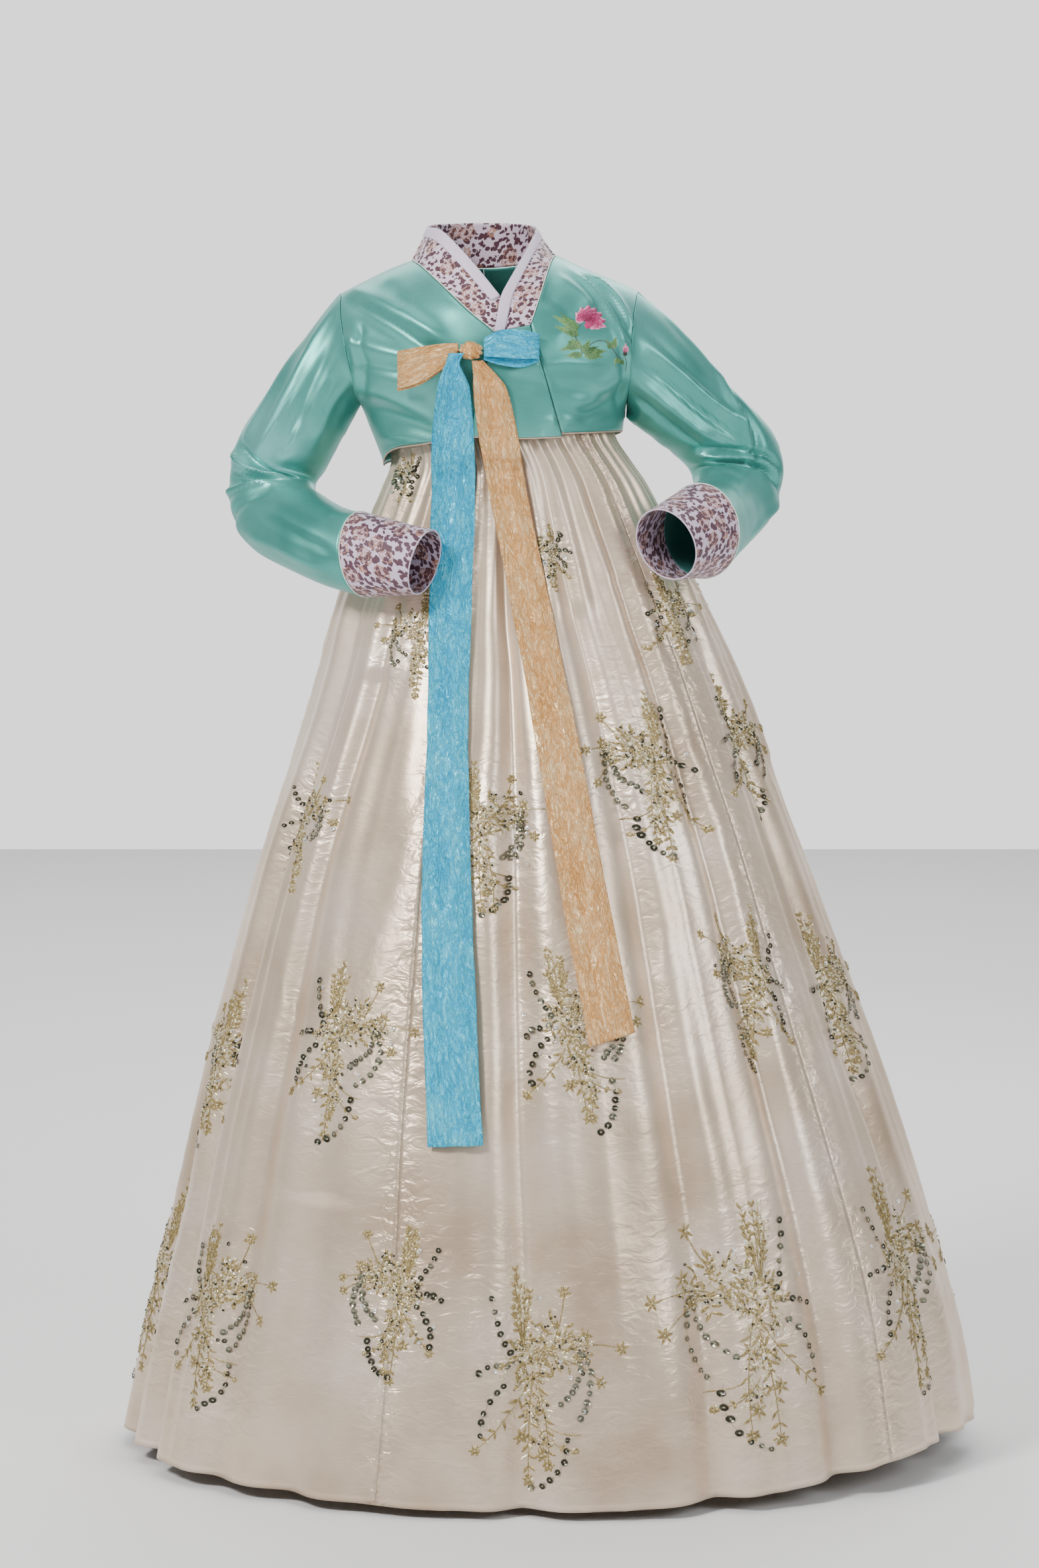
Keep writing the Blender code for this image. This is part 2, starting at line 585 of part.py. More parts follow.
def make_body_panels(garment, silk):
    """The two halves of the back, the lower front, the upper front and its overlap piece."""
    axis = Vector((0.0, 0.0, 1.22))
    left_last = len(COLLAR) - 1
    ridges = [index for index, row in enumerate(COLLAR) if row.face == "ridge"]
    nape = (ridges[0] + ridges[1]) / 2
    left_hem = JACKET_HEM_BACK[0].height
    right_hem = JACKET_HEM_BACK[-1].height

    grid = patch(
        bottom=lambda u: hem_point(JACKET_HEM_RIGHT_FRONT, angle_at(u, LOWER_FRONT_ANGLE, -SIDE_ANGLE)),
        top=lambda u: neck_and_shoulder(left_last, ridges[1], ARMHOLE_VIEWER_LEFT, RIGHT_FRONT_NECK_SHARE, u),
        inner=lambda v: hem_point(JACKET_HEM_RIGHT_FRONT, LOWER_FRONT_ANGLE).lerp(below_collar(left_last), v),
        outer=lambda v: side_edge(ARMHOLE_VIEWER_LEFT, left_hem, -1, v),
        columns=round_shares(12, LOWER_FRONT_ANGLE, -SIDE_ANGLE),
        rows=rising_shares(ARMHOLE_VIEWER_LEFT, left_hem, 2),
        surface=chest_point)
    cloth("jacket_right_front", grid, JACKET_WALL, axis, garment, silk)

    overlap_top_inner, overlap_top_outer = overlap_top_corners()
    seam_foot = hem_point(JACKET_HEM_OVERLAP, OVERLAP_SEAM_ANGLE)
    overlap_turn = OVERLAP_SEAM_ANGLE - OVERLAP_ANGLE
    half_gap = Vector((PANEL_GAP / 2, 0.0))
    grid = patch(
        bottom=lambda u: hem_point(JACKET_HEM_OVERLAP, OVERLAP_ANGLE + overlap_turn * u) - half_gap * u,
        top=lambda u: overlap_top_inner.lerp(overlap_top_outer, u) - half_gap * u,
        inner=lambda v: hem_point(JACKET_HEM_OVERLAP, OVERLAP_ANGLE).lerp(overlap_top_inner, v),
        outer=lambda v: seam_foot.lerp(overlap_top_outer, v) - half_gap,
        columns=[i / 5 for i in range(6)], rows=[i / 6 for i in range(7)], surface=upper_chest_point)
    cloth("jacket_overlap", grid, JACKET_WALL, axis, garment, silk)

    grid = patch(
        bottom=lambda u: (hem_point(JACKET_HEM_LEFT_FRONT, angle_at(u, OVERLAP_SEAM_ANGLE, SIDE_ANGLE))
                          + half_gap * (1 - u)),
        top=lambda u: (neck_and_shoulder(0, ridges[0], ARMHOLE_VIEWER_RIGHT, LEFT_FRONT_NECK_SHARE, u)
                       + half_gap * (1 - u)),
        inner=lambda v: hem_point(JACKET_HEM_LEFT_FRONT, OVERLAP_SEAM_ANGLE).lerp(below_collar(0), v) + half_gap,
        outer=lambda v: side_edge(ARMHOLE_VIEWER_RIGHT, right_hem, 1, v),
        columns=round_shares(9, OVERLAP_SEAM_ANGLE, SIDE_ANGLE),
        rows=rising_shares(ARMHOLE_VIEWER_RIGHT, right_hem, 1),
        surface=upper_chest_point)
    cloth("jacket_left_front", grid, JACKET_WALL, axis, garment, silk)

    for name, side, armhole, ridge, seam_rows in (
            ("jacket_right_back", -1, ARMHOLE_VIEWER_LEFT, ridges[1], 2),
            ("jacket_left_back", 1, ARMHOLE_VIEWER_RIGHT, ridges[0], 1)):
        shift = half_gap * side
        side_height = left_hem if side < 0 else right_hem
        grid = patch(
            bottom=lambda u: hem_point(JACKET_HEM_BACK, side * angle_at(u, 0, SIDE_ANGLE)) + shift * (1 - u),
            top=lambda u: neck_and_shoulder(nape, ridge, armhole, BACK_NECK_SHARE, u) + shift * (1 - u),
            inner=lambda v: hem_point(JACKET_HEM_BACK, 0).lerp(below_collar(nape), v) + shift,
            outer=lambda v: side_edge(armhole, side_height, side, v),
            columns=round_shares(9, 0, SIDE_ANGLE), rows=rising_shares(armhole, side_height, seam_rows), surface=back_point)
        cloth(name, grid, JACKET_WALL, axis, garment, silk)


def angle_at(share, start_angle, end_angle):
    """The angle round the body at a share of the breadth between two angles, seen from the front."""
    start = math.sin(math.radians(start_angle))
    end = math.sin(math.radians(end_angle))
    return math.degrees(math.asin(start + (end - start) * share))


def overlap_top_corners():
    """The upper corners of the overlap piece, seen from the front, just below the collar's end."""
    outer, inner = collar_row(0)
    next_outer, next_inner = collar_row(COLLAR_LOOK)
    down_outer = Vector((outer.x - next_outer.x, outer.z - next_outer.z)).normalized()
    down_inner = Vector((inner.x - next_inner.x, inner.z - next_inner.z)).normalized()
    left = Vector((inner.x, inner.z)) + down_inner * SEAM_GAP
    right = Vector((outer.x, outer.z)) + down_outer * SEAM_GAP
    return left, right


def collar_station(step):
    """The station of the collar that a step reaches."""
    return step / COLLAR_STEPS * (len(COLLAR) - 1)


def collar_grid():
    """Rows of points round the collar, each from its inner edge to its outer one."""
    grid = []
    for step in range(COLLAR_STEPS + 1):
        outer, inner = collar_row(collar_station(step))
        grid.append([inner.lerp(outer, share) for share in COLLAR_SHARES])
    return grid


def make_collar(garment, brocade, strip_silk):
    """The brocade collar and the narrow pale strip along its neck edge."""
    nape_axis = Vector((-0.01, 0.0, 1.36))
    cloth("collar", collar_grid(), COLLAR_WALL, nape_axis, garment, brocade)
    grid = []
    for step in range(STRIP_LAST_STEP + 1):
        station = collar_station(step)
        outer, inner = collar_row(station)
        next_outer, next_inner = collar_row(station + COLLAR_LOOK)
        along = (next_outer + next_inner) - (outer + inner)
        out = along.cross(inner - outer).normalized()
        grid.append([inner.lerp(outer, share) + out * (STRIP_LIFT + STRIP_WALL)
                     for share in STRIP_SHARES])
    cloth("collar_strip", grid, STRIP_WALL, nape_axis, garment, strip_silk)


def armhole_loop(armhole, side):
    """The sleeve's first ring, round the armhole, just outside the body's edge."""
    ring = []
    for index in range(SLEEVE_COLUMNS):
        angle = math.radians(360 * index / SLEEVE_COLUMNS)
        seam = row_along(armhole, (1 + math.cos(angle)) / 2)
        surface = chest_point if math.sin(angle) > 0 else back_point
        point = surface(seam.x, seam.height)
        if abs(math.sin(angle)) < 1e-6:
            point.y = 0.0
        ring.append(point + Vector((side * ARMHOLE_GAP, 0.0, 0.0)))
    return ring


def ring_frame(rows, share, side):
    """The middle of a sleeve ring, its two half axes and its direction along the sleeve."""
    here = row_along(rows, share)
    before = row_along(rows, max(share - SLEEVE_LOOK, 0.0))
    after = row_along(rows, min(share + SLEEVE_LOOK, 1.0))

    def middle(row):
        return Vector(((row.inner_x + row.outer_x) / 2, row.y, (row.inner_height + row.outer_height) / 2))

    outward = Vector(((here.outer_x - here.inner_x) / 2, 0.0, (here.outer_height - here.inner_height) / 2))
    along = (middle(after) - middle(before)).normalized()
    forward = along.cross(outward.normalized()) * side
    return middle(here), outward, forward.normalized() * here.half_depth, along


def crease_depth(creases, along, angle):
    """How far the creases press the sleeve in at a place."""
    depth = 0.0
    for crease in creases:
        turn = (angle - crease.angle + 180) % 360 - 180
        reach = (turn / crease.half_angle) ** 2 + ((along - crease.along) / crease.half_length) ** 2
        depth += crease.depth * math.exp(-reach)
    return depth


def sleeve_ring(rows, creases, share, side):
    """The points of one ring of a sleeve."""
    middle, outward, forward, _ = ring_frame(rows, share, side)
    ring = []
    for index in range(SLEEVE_COLUMNS):
        angle = 360 * index / SLEEVE_COLUMNS
        turn = math.radians(angle)
        spoke = outward * math.cos(turn) + forward * math.sin(turn)
        ring.append(middle + spoke - spoke.normalized() * crease_depth(creases, share, angle))
    return ring


def make_sleeve(name, cuff_name, rows, armhole, creases, cuff_end, side, garment, silk, brocade):
    """A sleeve from its armhole to the seam of its cuff, and the cuff."""
    grid = [armhole_loop(armhole, side)]
    for step in range(SLEEVE_STEPS):
        grid.append(sleeve_ring(rows, creases, step / (SLEEVE_STEPS - 1), side))
    middle = ring_frame(rows, 0.5, side)[0]
    cloth(name, grid, JACKET_WALL, middle, garment, silk, closed=True)

    cuff_rows = [rows[-1], cuff_end]
    start = ring_frame(rows, 1.0, side)
    end = ring_frame(cuff_rows, 1.0, side)
    seam_shift = start[3] * CUFF_GAP
    grid = []
    for step in range(CUFF_STEPS + 1):
        share = step / CUFF_STEPS
        ring = []
        for index in range(SLEEVE_COLUMNS):
            turn = math.radians(360 * index / SLEEVE_COLUMNS)
            first = start[0] + start[1] * math.cos(turn) + start[2] * math.sin(turn)
            last = end[0] + end[1] * math.cos(turn) + end[2] * math.sin(turn)
            ring.append((first + seam_shift).lerp(last, share))
        grid.append(ring)
    cloth(cuff_name, grid, CUFF_WALL, (start[0] + end[0]) / 2, garment, brocade, closed=True)


def skirt_surface(angle, height, valley_depth):
    """A point of the skirt at an angle round it, pressed in by the depth of the fold there."""
    ring = row_at(SKIRT, "height", height)
    turn = math.radians(angle)
    depth = ring.front_depth if math.cos(turn) > 0 else ring.back_depth
    x = ring.centre + (ring.half_width - valley_depth) * math.sin(turn)
    y = -(depth - valley_depth) * math.cos(turn)
    lift_share = smooth_step(1.0 - height / VALLEY_KNEE_HEIGHT)
    wrapped = (angle + 180) % 360 - 180
    lift = row_at(SKIRT_HEM_LIFT, "angle", wrapped).height * lift_share
    return Vector((x, y, height + lift))


def valley_at(valley, height):
    """The angle and the depth of a valley at a height."""
    down = (SKIRT[0].height - height) / (SKIRT[0].height - VALLEY_KNEE_HEIGHT)
    angle = valley.waist_angle + (valley.hem_angle - valley.waist_angle) * smooth_step(down)
    keys = [0.0, VALLEY_KNEE_HEIGHT, SKIRT[0].height]
    depth = smooth_value(keys, [valley.hem_depth, valley.knee_depth, valley.waist_depth], height)
    return angle, depth


def skirt_line(valleys, height):
    """One row of points across a cut width of the skirt, from its first seam to its last."""
    line = []
    for here, following in zip(valleys, valleys[1:]):
        start_angle, start_depth = valley_at(here, height)
        end_angle, end_depth = valley_at(following, height)
        for index in range(COLUMNS_PER_GATHER):
            share = index / COLUMNS_PER_GATHER
            angle = start_angle + (end_angle - start_angle) * share
            depth = (start_depth + (end_depth - start_depth) * share) * (0.5 + 0.5 * math.cos(2 * math.pi * share))
            line.append(skirt_surface(angle, height, depth))
    end_angle, end_depth = valley_at(valleys[-1], height)
    line.append(skirt_surface(end_angle, height, end_depth))
    return line


def make_skirt(garment, satin):
    """The five cut widths of the skirt, gathered at the top."""
    axis = Vector((0.05, 0.0, 0.7))
    for index, width in enumerate(SKIRT_WIDTHS):
        following = SKIRT_WIDTHS[(index + 1) % len(SKIRT_WIDTHS)].valleys[0]
        turn = 360 if index == len(SKIRT_WIDTHS) - 1 else 0
        last = following._replace(waist_angle=following.waist_angle + turn, hem_angle=following.hem_angle + turn)
        grid = []
        for height in SKIRT_ROW_HEIGHTS:
            line = skirt_line(width.valleys + [last], height)
            inset = SEAM_GAP / 2
            line[0] = line[0] + (line[1] - line[0]).normalized() * inset
            line[-1] = line[-1] + (line[-2] - line[-1]).normalized() * inset
            grid.append(line)
        cloth(width.name, grid, SKIRT_WALL, axis, garment, satin)


def make_chest_band(garment, cotton):
    """The plain band that the skirt's gathers are sewn to."""
    grid = []
    for ring in CHEST_BAND:
        line = []
        for index in range(CHEST_BAND_COLUMNS):
            turn = 2 * math.pi * index / CHEST_BAND_COLUMNS
            depth = ring.chest_depth if math.cos(turn) > 0 else ring.back_depth
            line.append(Vector((CHEST_BAND_CENTRE + ring.half_width * math.sin(turn), -depth * math.cos(turn),
                                ring.height)))
        grid.append(line)
    cloth("chest_band", grid, BAND_WALL, Vector((CHEST_BAND_CENTRE, 0.0, 1.21)), garment, cotton, closed=True)


def make_knot(garment, silk):
    """The rounded knot of the bow, just off the upper front layer."""
    mesh = bpy.data.meshes.new("bow_knot")
    shape = bmesh.new()
    bmesh.ops.create_uvsphere(shape, u_segments=16, v_segments=10, radius=1.0)
    for vertex in shape.verts:
        vertex.co.x *= KNOT_HALF_WIDTH
        vertex.co.y *= KNOT_HALF_DEPTH
        vertex.co.z *= KNOT_HALF_HEIGHT
    shape.to_mesh(mesh)
    shape.free()
    knot = bpy.data.objects.new("bow_knot", mesh)
    knot.location = Vector((KNOT_X, knot_middle_y(), KNOT_HEIGHT))
    return place(knot, silk, *garment)


def knot_middle_y():
    """Where the middle of the knot lies in front of the shoulders."""
    cover = upper_chest_point(KNOT_X + KNOT_HALF_WIDTH, KNOT_HEIGHT).y
    return cover - RIBBON_CLEARANCE - KNOT_HALF_DEPTH


def make_loop(name, rows, length, side, garment, silk):
    """A flattened loop of ribbon beside the knot, open along its lower edge."""
    grid = []
    for step in range(LOOP_STEPS + 1):
        turn = math.radians(LOOP_OPEN_ANGLE + (360 - 2 * LOOP_OPEN_ANGLE) * step / LOOP_STEPS)
        along = (1 - math.cos(turn)) / 2
        from_knot = length * (along - (1 - math.cos(math.radians(LOOP_OPEN_ANGLE))) / 2)
        section = row_at(rows, "along", along)
        behind_share = smooth_step(0.5 + math.sin(turn))
        lower = section.lower + (section.lower_behind - section.lower) * behind_share
        x = KNOT_X + side * (KNOT_HALF_WIDTH + SEAM_GAP + from_knot)
        off_body = LOOP_HALF_DEPTH * (1 - math.sin(turn) * LOOP_FLATNESS) + RIBBON_WALL + RIBBON_CLEARANCE
        line = []
        for index in range(LOOP_COLUMNS + 1):
            height = section.upper + (lower - section.upper) * index / LOOP_COLUMNS
            body = upper_chest_point(x, (section.upper + section.lower_behind) / 2)
            line.append(Vector((x, body.y - off_body, height)))
        grid.append(line)
    middle_x = KNOT_X + side * (KNOT_HALF_WIDTH + length / 2)
    middle_height = (rows[1].upper + rows[1].lower) / 2
    middle_y = upper_chest_point(middle_x, middle_height).y - LOOP_HALF_DEPTH
    far_end = Vector((middle_x, middle_y, middle_height))
    cloth(name, grid, RIBBON_WALL, far_end, garment, silk)


def garment_front_y(x, height):
    """The foremost surface of the jacket or of the skirt's gathers at a place seen from the front."""
    hem = JACKET_HEM_OVERLAP[1].height - RIBBON_BELOW_HEM
    jacket_y = upper_chest_point(x, max(height, hem)).y
    jacket_y += max(hem - height, 0.0) * RIBBON_FALL_BACK
    if height > SKIRT[0].height:
        return jacket_y
    lower = max(i for i in range(1, len(SKIRT_ROW_HEIGHTS)) if SKIRT_ROW_HEIGHTS[i - 1] >= height)
    upper_height = SKIRT_ROW_HEIGHTS[lower - 1]
    share = (upper_height - height) / (upper_height - SKIRT_ROW_HEIGHTS[lower])
    skirt_y = crest_y(x, upper_height) * (1 - share) + crest_y(x, SKIRT_ROW_HEIGHTS[lower]) * share
    return min(jacket_y, skirt_y)


def crest_y(x, height):
    """How far forward the crests of the skirt's gathers lie at a place seen from the front."""
    ring = row_at(SKIRT, "height", height)
    across = min(abs(x - ring.centre) / ring.half_width, 0.99)
    return -ring.front_depth * math.sqrt(1.0 - across * across)


def make_ribbon(name, rows, start_offset, garment, silk):
    """One long end of the bow, lying down the front."""
    grid = []
    top = rows[0].height
    length = top - rows[-1].height
    for step in range(RIBBON_STEPS + 1):
        share = step / RIBBON_STEPS
        closer = share ** RIBBON_CLOSE_POWER
        height = top - length * (RIBBON_EVEN_SHARE * share + (1 - RIBBON_EVEN_SHARE) * closer)
        section = row_at(rows, "height", height)
        near_knot = 1.0 - smooth_step((top - height - RIBBON_LEVEL_DROP) / RIBBON_FALL_DROP)
        line = []
        for index in range(RIBBON_COLUMNS + 1):
            across = index / RIBBON_COLUMNS - 0.5
            x = section.x + section.width * across
            place_height = height + section.slope * section.width * across
            ripple = RIBBON_RIPPLE * math.cos(4 * math.pi * across) * (1 - near_knot)
            off = RIBBON_WALL + RIBBON_CLEARANCE + RIBBON_RIPPLE + start_offset * near_knot
            y = garment_front_y(x, place_height) - off + ripple
            line.append(Vector((x, y, place_height)))
        grid.append(line)
    cloth(name, grid, RIBBON_WALL, Vector((0.05, 0.0, 0.8)), garment, silk)


def clear_scene():
    """Removes what the scene holds."""
    for scene_object in list(bpy.data.objects):
        bpy.data.objects.remove(scene_object, do_unlink=True)


def main():
    """Builds the whole garment."""
    clear_scene()
    collection = bpy.data.collections.new("korean_hanbok")
    bpy.context.scene.collection.children.link(collection)
    origin = bpy.data.objects.new("garment_origin", None)
    origin.location = Vector((0.0, 0.0, -SHOULDER_HEIGHT))
    collection.objects.link(origin)
    garment = (collection, origin)

    sea_silk = finish("sea_green_silk", (0.17, 0.44, 0.40), 0.35)
    brocade = finish("pale_brocade", (0.62, 0.50, 0.58), 0.45)
    strip_silk = finish("lavender_white_silk", (0.80, 0.74, 0.86), 0.50)
    blue_silk = finish("sky_blue_crepe", (0.11, 0.54, 0.80), 0.40)
    peach_silk = finish("peach_gold_crepe", (0.80, 0.53, 0.30), 0.40)
    champagne = finish("champagne_satin", (0.66, 0.58, 0.50), 0.35)
    cotton = finish("white_cotton", (0.80, 0.78, 0.74), 0.80)

    make_body_panels(garment, sea_silk)
    make_collar(garment, brocade, strip_silk)
    make_sleeve("sleeve_right", "cuff_right", SLEEVE_VIEWER_LEFT, ARMHOLE_VIEWER_LEFT, CREASES_VIEWER_LEFT,
                CUFF_END_VIEWER_LEFT, -1, garment, sea_silk, brocade)
    make_sleeve("sleeve_left", "cuff_left", SLEEVE_VIEWER_RIGHT, ARMHOLE_VIEWER_RIGHT, CREASES_VIEWER_RIGHT,
                CUFF_END_VIEWER_RIGHT, 1, garment, sea_silk, brocade)
    make_skirt(garment, champagne)
    make_chest_band(garment, cotton)
    make_knot(garment, peach_silk)
    make_loop("bow_loop_right", LOOP_PEACH, LOOP_PEACH_LENGTH, -1, garment, peach_silk)
    make_loop("bow_loop_left", LOOP_BLUE, LOOP_BLUE_LENGTH, 1, garment, blue_silk)
    make_ribbon("ribbon_blue", RIBBON_BLUE, RIBBON_BLUE_START, garment, blue_silk)
    make_ribbon("ribbon_peach", RIBBON_PEACH, RIBBON_PEACH_START, garment, peach_silk)


main()
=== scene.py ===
"""Looks of a worn Korean hanbok: a wrapped silk jacket with a bow over a gathered satin skirt.

Heights in the tables are written above the floor that the hem nearly touches, and are moved to the frame's
own origin, between the shoulders, when a mesh is made. The front faces -Y and +X is the viewer's right.
"""
import json
import logging
import math
from dataclasses import dataclass, field
from enum import Enum
from typing import Callable, NamedTuple, Sequence, TypeVar

import bpy
import numpy as np
from mathutils.kdtree import KDTree
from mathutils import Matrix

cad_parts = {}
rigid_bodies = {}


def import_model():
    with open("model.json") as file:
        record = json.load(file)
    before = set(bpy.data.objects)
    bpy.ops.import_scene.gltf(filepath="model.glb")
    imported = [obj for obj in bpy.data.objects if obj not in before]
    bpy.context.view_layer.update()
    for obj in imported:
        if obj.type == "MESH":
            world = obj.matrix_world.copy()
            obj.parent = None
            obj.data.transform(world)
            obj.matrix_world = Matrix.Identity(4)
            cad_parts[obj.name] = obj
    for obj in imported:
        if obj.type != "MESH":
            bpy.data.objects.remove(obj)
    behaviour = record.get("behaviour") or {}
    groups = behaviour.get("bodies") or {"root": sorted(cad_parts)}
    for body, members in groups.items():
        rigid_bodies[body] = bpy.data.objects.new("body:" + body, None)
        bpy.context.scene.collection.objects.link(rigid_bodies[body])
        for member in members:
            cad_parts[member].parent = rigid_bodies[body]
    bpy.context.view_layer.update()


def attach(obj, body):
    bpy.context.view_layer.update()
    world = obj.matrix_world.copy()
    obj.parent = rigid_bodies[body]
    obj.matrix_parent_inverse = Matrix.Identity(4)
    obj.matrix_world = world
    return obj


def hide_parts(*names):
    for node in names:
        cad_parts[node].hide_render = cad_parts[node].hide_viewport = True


Array = np.ndarray
Colour = tuple[float, float, float]
Surface = Callable[[Array, Array], Array]
Row = TypeVar("Row")

LOG = logging.getLogger("hanbok")

SHOULDER_HEIGHT = 1.355
PHOTO_SIZE = (1568, 2367)
SENSOR_MM = 36.0
FOCAL_PIXELS = 6915.0
CAMERA_PLACE = (0.03, -5.3, 1.20)
CAMERA_AIM_HEIGHT = 0.747
FLOOR_HEIGHT = -0.028
WHITE = (1.0, 1.0, 1.0)
# Places on the inner side of the cloth, from which its outward directions are told
JACKET_INSIDE = (0.0, 0.0, 1.22)
NECK_INSIDE = (-0.01, 0.0, 1.30)
COLLAR_INSIDE = (-0.01, 0.0, 1.36)
SKIRT_INSIDE = (0.05, 0.0, 0.7)
RIBBON_INSIDE = (0.05, 0.0, 0.8)


# ---------------------------------------------------------------- tables shared with the frame
class TorsoRing(NamedTuple):
    """The jacket's plan at one height."""
    height: float
    centre: float
    half_width: float
    chest_depth: float
    back_depth: float
    power: float


class Place(NamedTuple):
    """A point seen from the front."""
    x: float
    height: float


class HemPoint(NamedTuple):
    """The height of an edge at an angle round the body."""
    angle: float
    height: float


class CollarStation(NamedTuple):
    """The outer and the inner edge of the collar at one place along it."""
    outer_x: float
    outer_height: float
    face: str
    inner_x: float
    inner_y: float
    inner_height: float


class SleeveRing(NamedTuple):
    """A ring of a sleeve: its point nearest the body, its farthest one, its place and its half size."""
    inner_x: float
    inner_height: float
    outer_x: float
    outer_height: float
    y: float
    half_depth: float


class Crease(NamedTuple):
    """A dent of a sleeve: along it (0 to 1), round it in degrees, its depth and its half widths."""
    along: float
    angle: float
    depth: float
    half_length: float
    half_angle: float


class SkirtRing(NamedTuple):
    """The skirt's plan at one height."""
    height: float
    centre: float
    half_width: float
    front_depth: float
    back_depth: float


class Valley(NamedTuple):
    """A valley between two gathers: its angle at the waist and at the hem, and its depths."""
    waist_angle: float
    hem_angle: float
    waist_depth: float
    knee_depth: float
    hem_depth: float


class Cut(NamedTuple):
    """The flat size of a piece of cloth in metres, measured along its form, and its area."""
    width: float
    length: float
    area: float

    def flat(self) -> tuple[float, float]:
        """The width and the length."""
        return self.width, self.length


class LoopSection(NamedTuple):
    """The edges of a bow's loop at a share of its length."""
    along: float
    upper: float
    lower: float
    lower_behind: float


class RibbonSection(NamedTuple):
    """A line across a long ribbon end."""
    height: float
    x: float
    width: float
    slope: float


def table(kind: type[Row], *rows: tuple) -> list[Row]:
    """The rows of a table, each as a tuple of its kind."""
    return [kind(*row) for row in rows]


TORSO = table(
    TorsoRing,
    (1.1, 0.0105, 0.134, 0.111, 0.098, 2.0), (1.12, 0.0085, 0.136, 0.112, 0.099, 2.0),
    (1.14, 0.006, 0.1405, 0.113, 0.1, 2.0), (1.16, 0.0035, 0.146, 0.1145, 0.101, 2.0),
    (1.186, 0.0, 0.153, 0.1165, 0.102, 2.1), (1.215, -0.002, 0.169, 0.118, 0.104, 2.5),
    (1.25, -0.003, 0.179, 0.119, 0.105, 3.0), (1.3, -0.004, 0.187, 0.119, 0.105, 3.0),
    (1.42, -0.004, 0.19, 0.119, 0.105, 3.0),
)
SHOULDER_RIDGE = table(
    Place,
    (-0.19, 1.305), (-0.1745, 1.314), (-0.126, 1.3385), (-0.093, 1.352), (-0.012, 1.385), (0.07, 1.358),
    (0.103, 1.343), (0.1485, 1.3245), (0.165, 1.316), (0.19, 1.302),
)
ARMHOLE_VIEWER_LEFT = table(
    Place,
    (-0.152, 1.186), (-0.1578, 1.208), (-0.1665, 1.243), (-0.174, 1.288), (-0.1745, 1.314),
)
ARMHOLE_VIEWER_RIGHT = table(
    Place,
    (0.1518, 1.172), (0.1535, 1.208), (0.156, 1.24), (0.16, 1.288), (0.165, 1.316),
)
JACKET_HEM_RIGHT_FRONT = table(
    HemPoint,
    (-90, 1.117), (-60, 1.136), (-37, 1.1425), (-12, 1.151), (14, 1.15),
)
JACKET_HEM_LEFT_FRONT = table(HemPoint, (31, 1.1545), (60, 1.1560), (90, 1.1570))
JACKET_HEM_OVERLAP = table(HemPoint, (-13, 1.1510), (10, 1.1490), (31, 1.1505))
JACKET_HEM_BACK = table(
    HemPoint,
    (-90, 1.117), (-45, 1.126), (0, 1.134), (45, 1.145), (90, 1.157),
)
COLLAR = table(
    CollarStation,
    (0.042, 1.276, "front", 0.0015, -0.1206, 1.268), (0.0475, 1.292, "front", 0.0052, -0.1153, 1.289),
    (0.053, 1.309, "front", 0.0095, -0.1076, 1.31), (0.06, 1.332, "front", 0.024, -0.088, 1.337),
    (0.066, 1.35, "front", 0.04, -0.052, 1.366), (0.07, 1.358, "ridge", 0.0485, -0.015, 1.385),
    (0.062, 1.354, "back", 0.042, 0.031, 1.392), (0.03, 1.348, "back", 0.018, 0.059, 1.3955),
    (-0.012, 1.345, "back", -0.012, 0.067, 1.3965), (-0.054, 1.347, "back", -0.043, 0.057, 1.3955),
    (-0.085, 1.35, "back", -0.068, 0.028, 1.393), (-0.093, 1.352, "ridge", -0.0735, -0.009, 1.3885),
    (-0.08, 1.3425, "front", -0.056, -0.048, 1.382), (-0.054, 1.318, "front", -0.023, -0.08, 1.347),
    (-0.027, 1.292, "front", 0.0077, -0.103, 1.309), (0.001, 1.269, "front", 0.033, -0.1112, 1.278),
    (0.023, 1.246, "front", 0.05, -0.1143, 1.256),
)
SLEEVE_VIEWER_LEFT = table(
    SleeveRing,
    (-0.1545, 1.1815, -0.19, 1.304, 0.0, 0.05), (-0.159, 1.174, -0.206, 1.278, 0.0, 0.0505),
    (-0.165, 1.164, -0.227, 1.249, 0.001, 0.05), (-0.172, 1.151, -0.249, 1.218, 0.003, 0.05),
    (-0.181, 1.135, -0.27, 1.1875, 0.006, 0.05), (-0.1905, 1.117, -0.2895, 1.158, 0.01, 0.05),
    (-0.1985, 1.101, -0.302, 1.128, 0.012, 0.0475), (-0.2035, 1.09, -0.306, 1.097, 0.008, 0.0455),
    (-0.203, 1.082, -0.304, 1.066, -0.004, 0.045), (-0.196, 1.076, -0.293, 1.04, -0.024, 0.045),
    (-0.185, 1.075, -0.268, 1.017, -0.05, 0.0455), (-0.174, 1.071, -0.228, 0.996, -0.078, 0.046),
    (-0.163, 1.068, -0.184, 0.979, -0.1, 0.0455), (-0.1517, 1.0658, -0.1411, 0.97, -0.119, 0.0445),
)
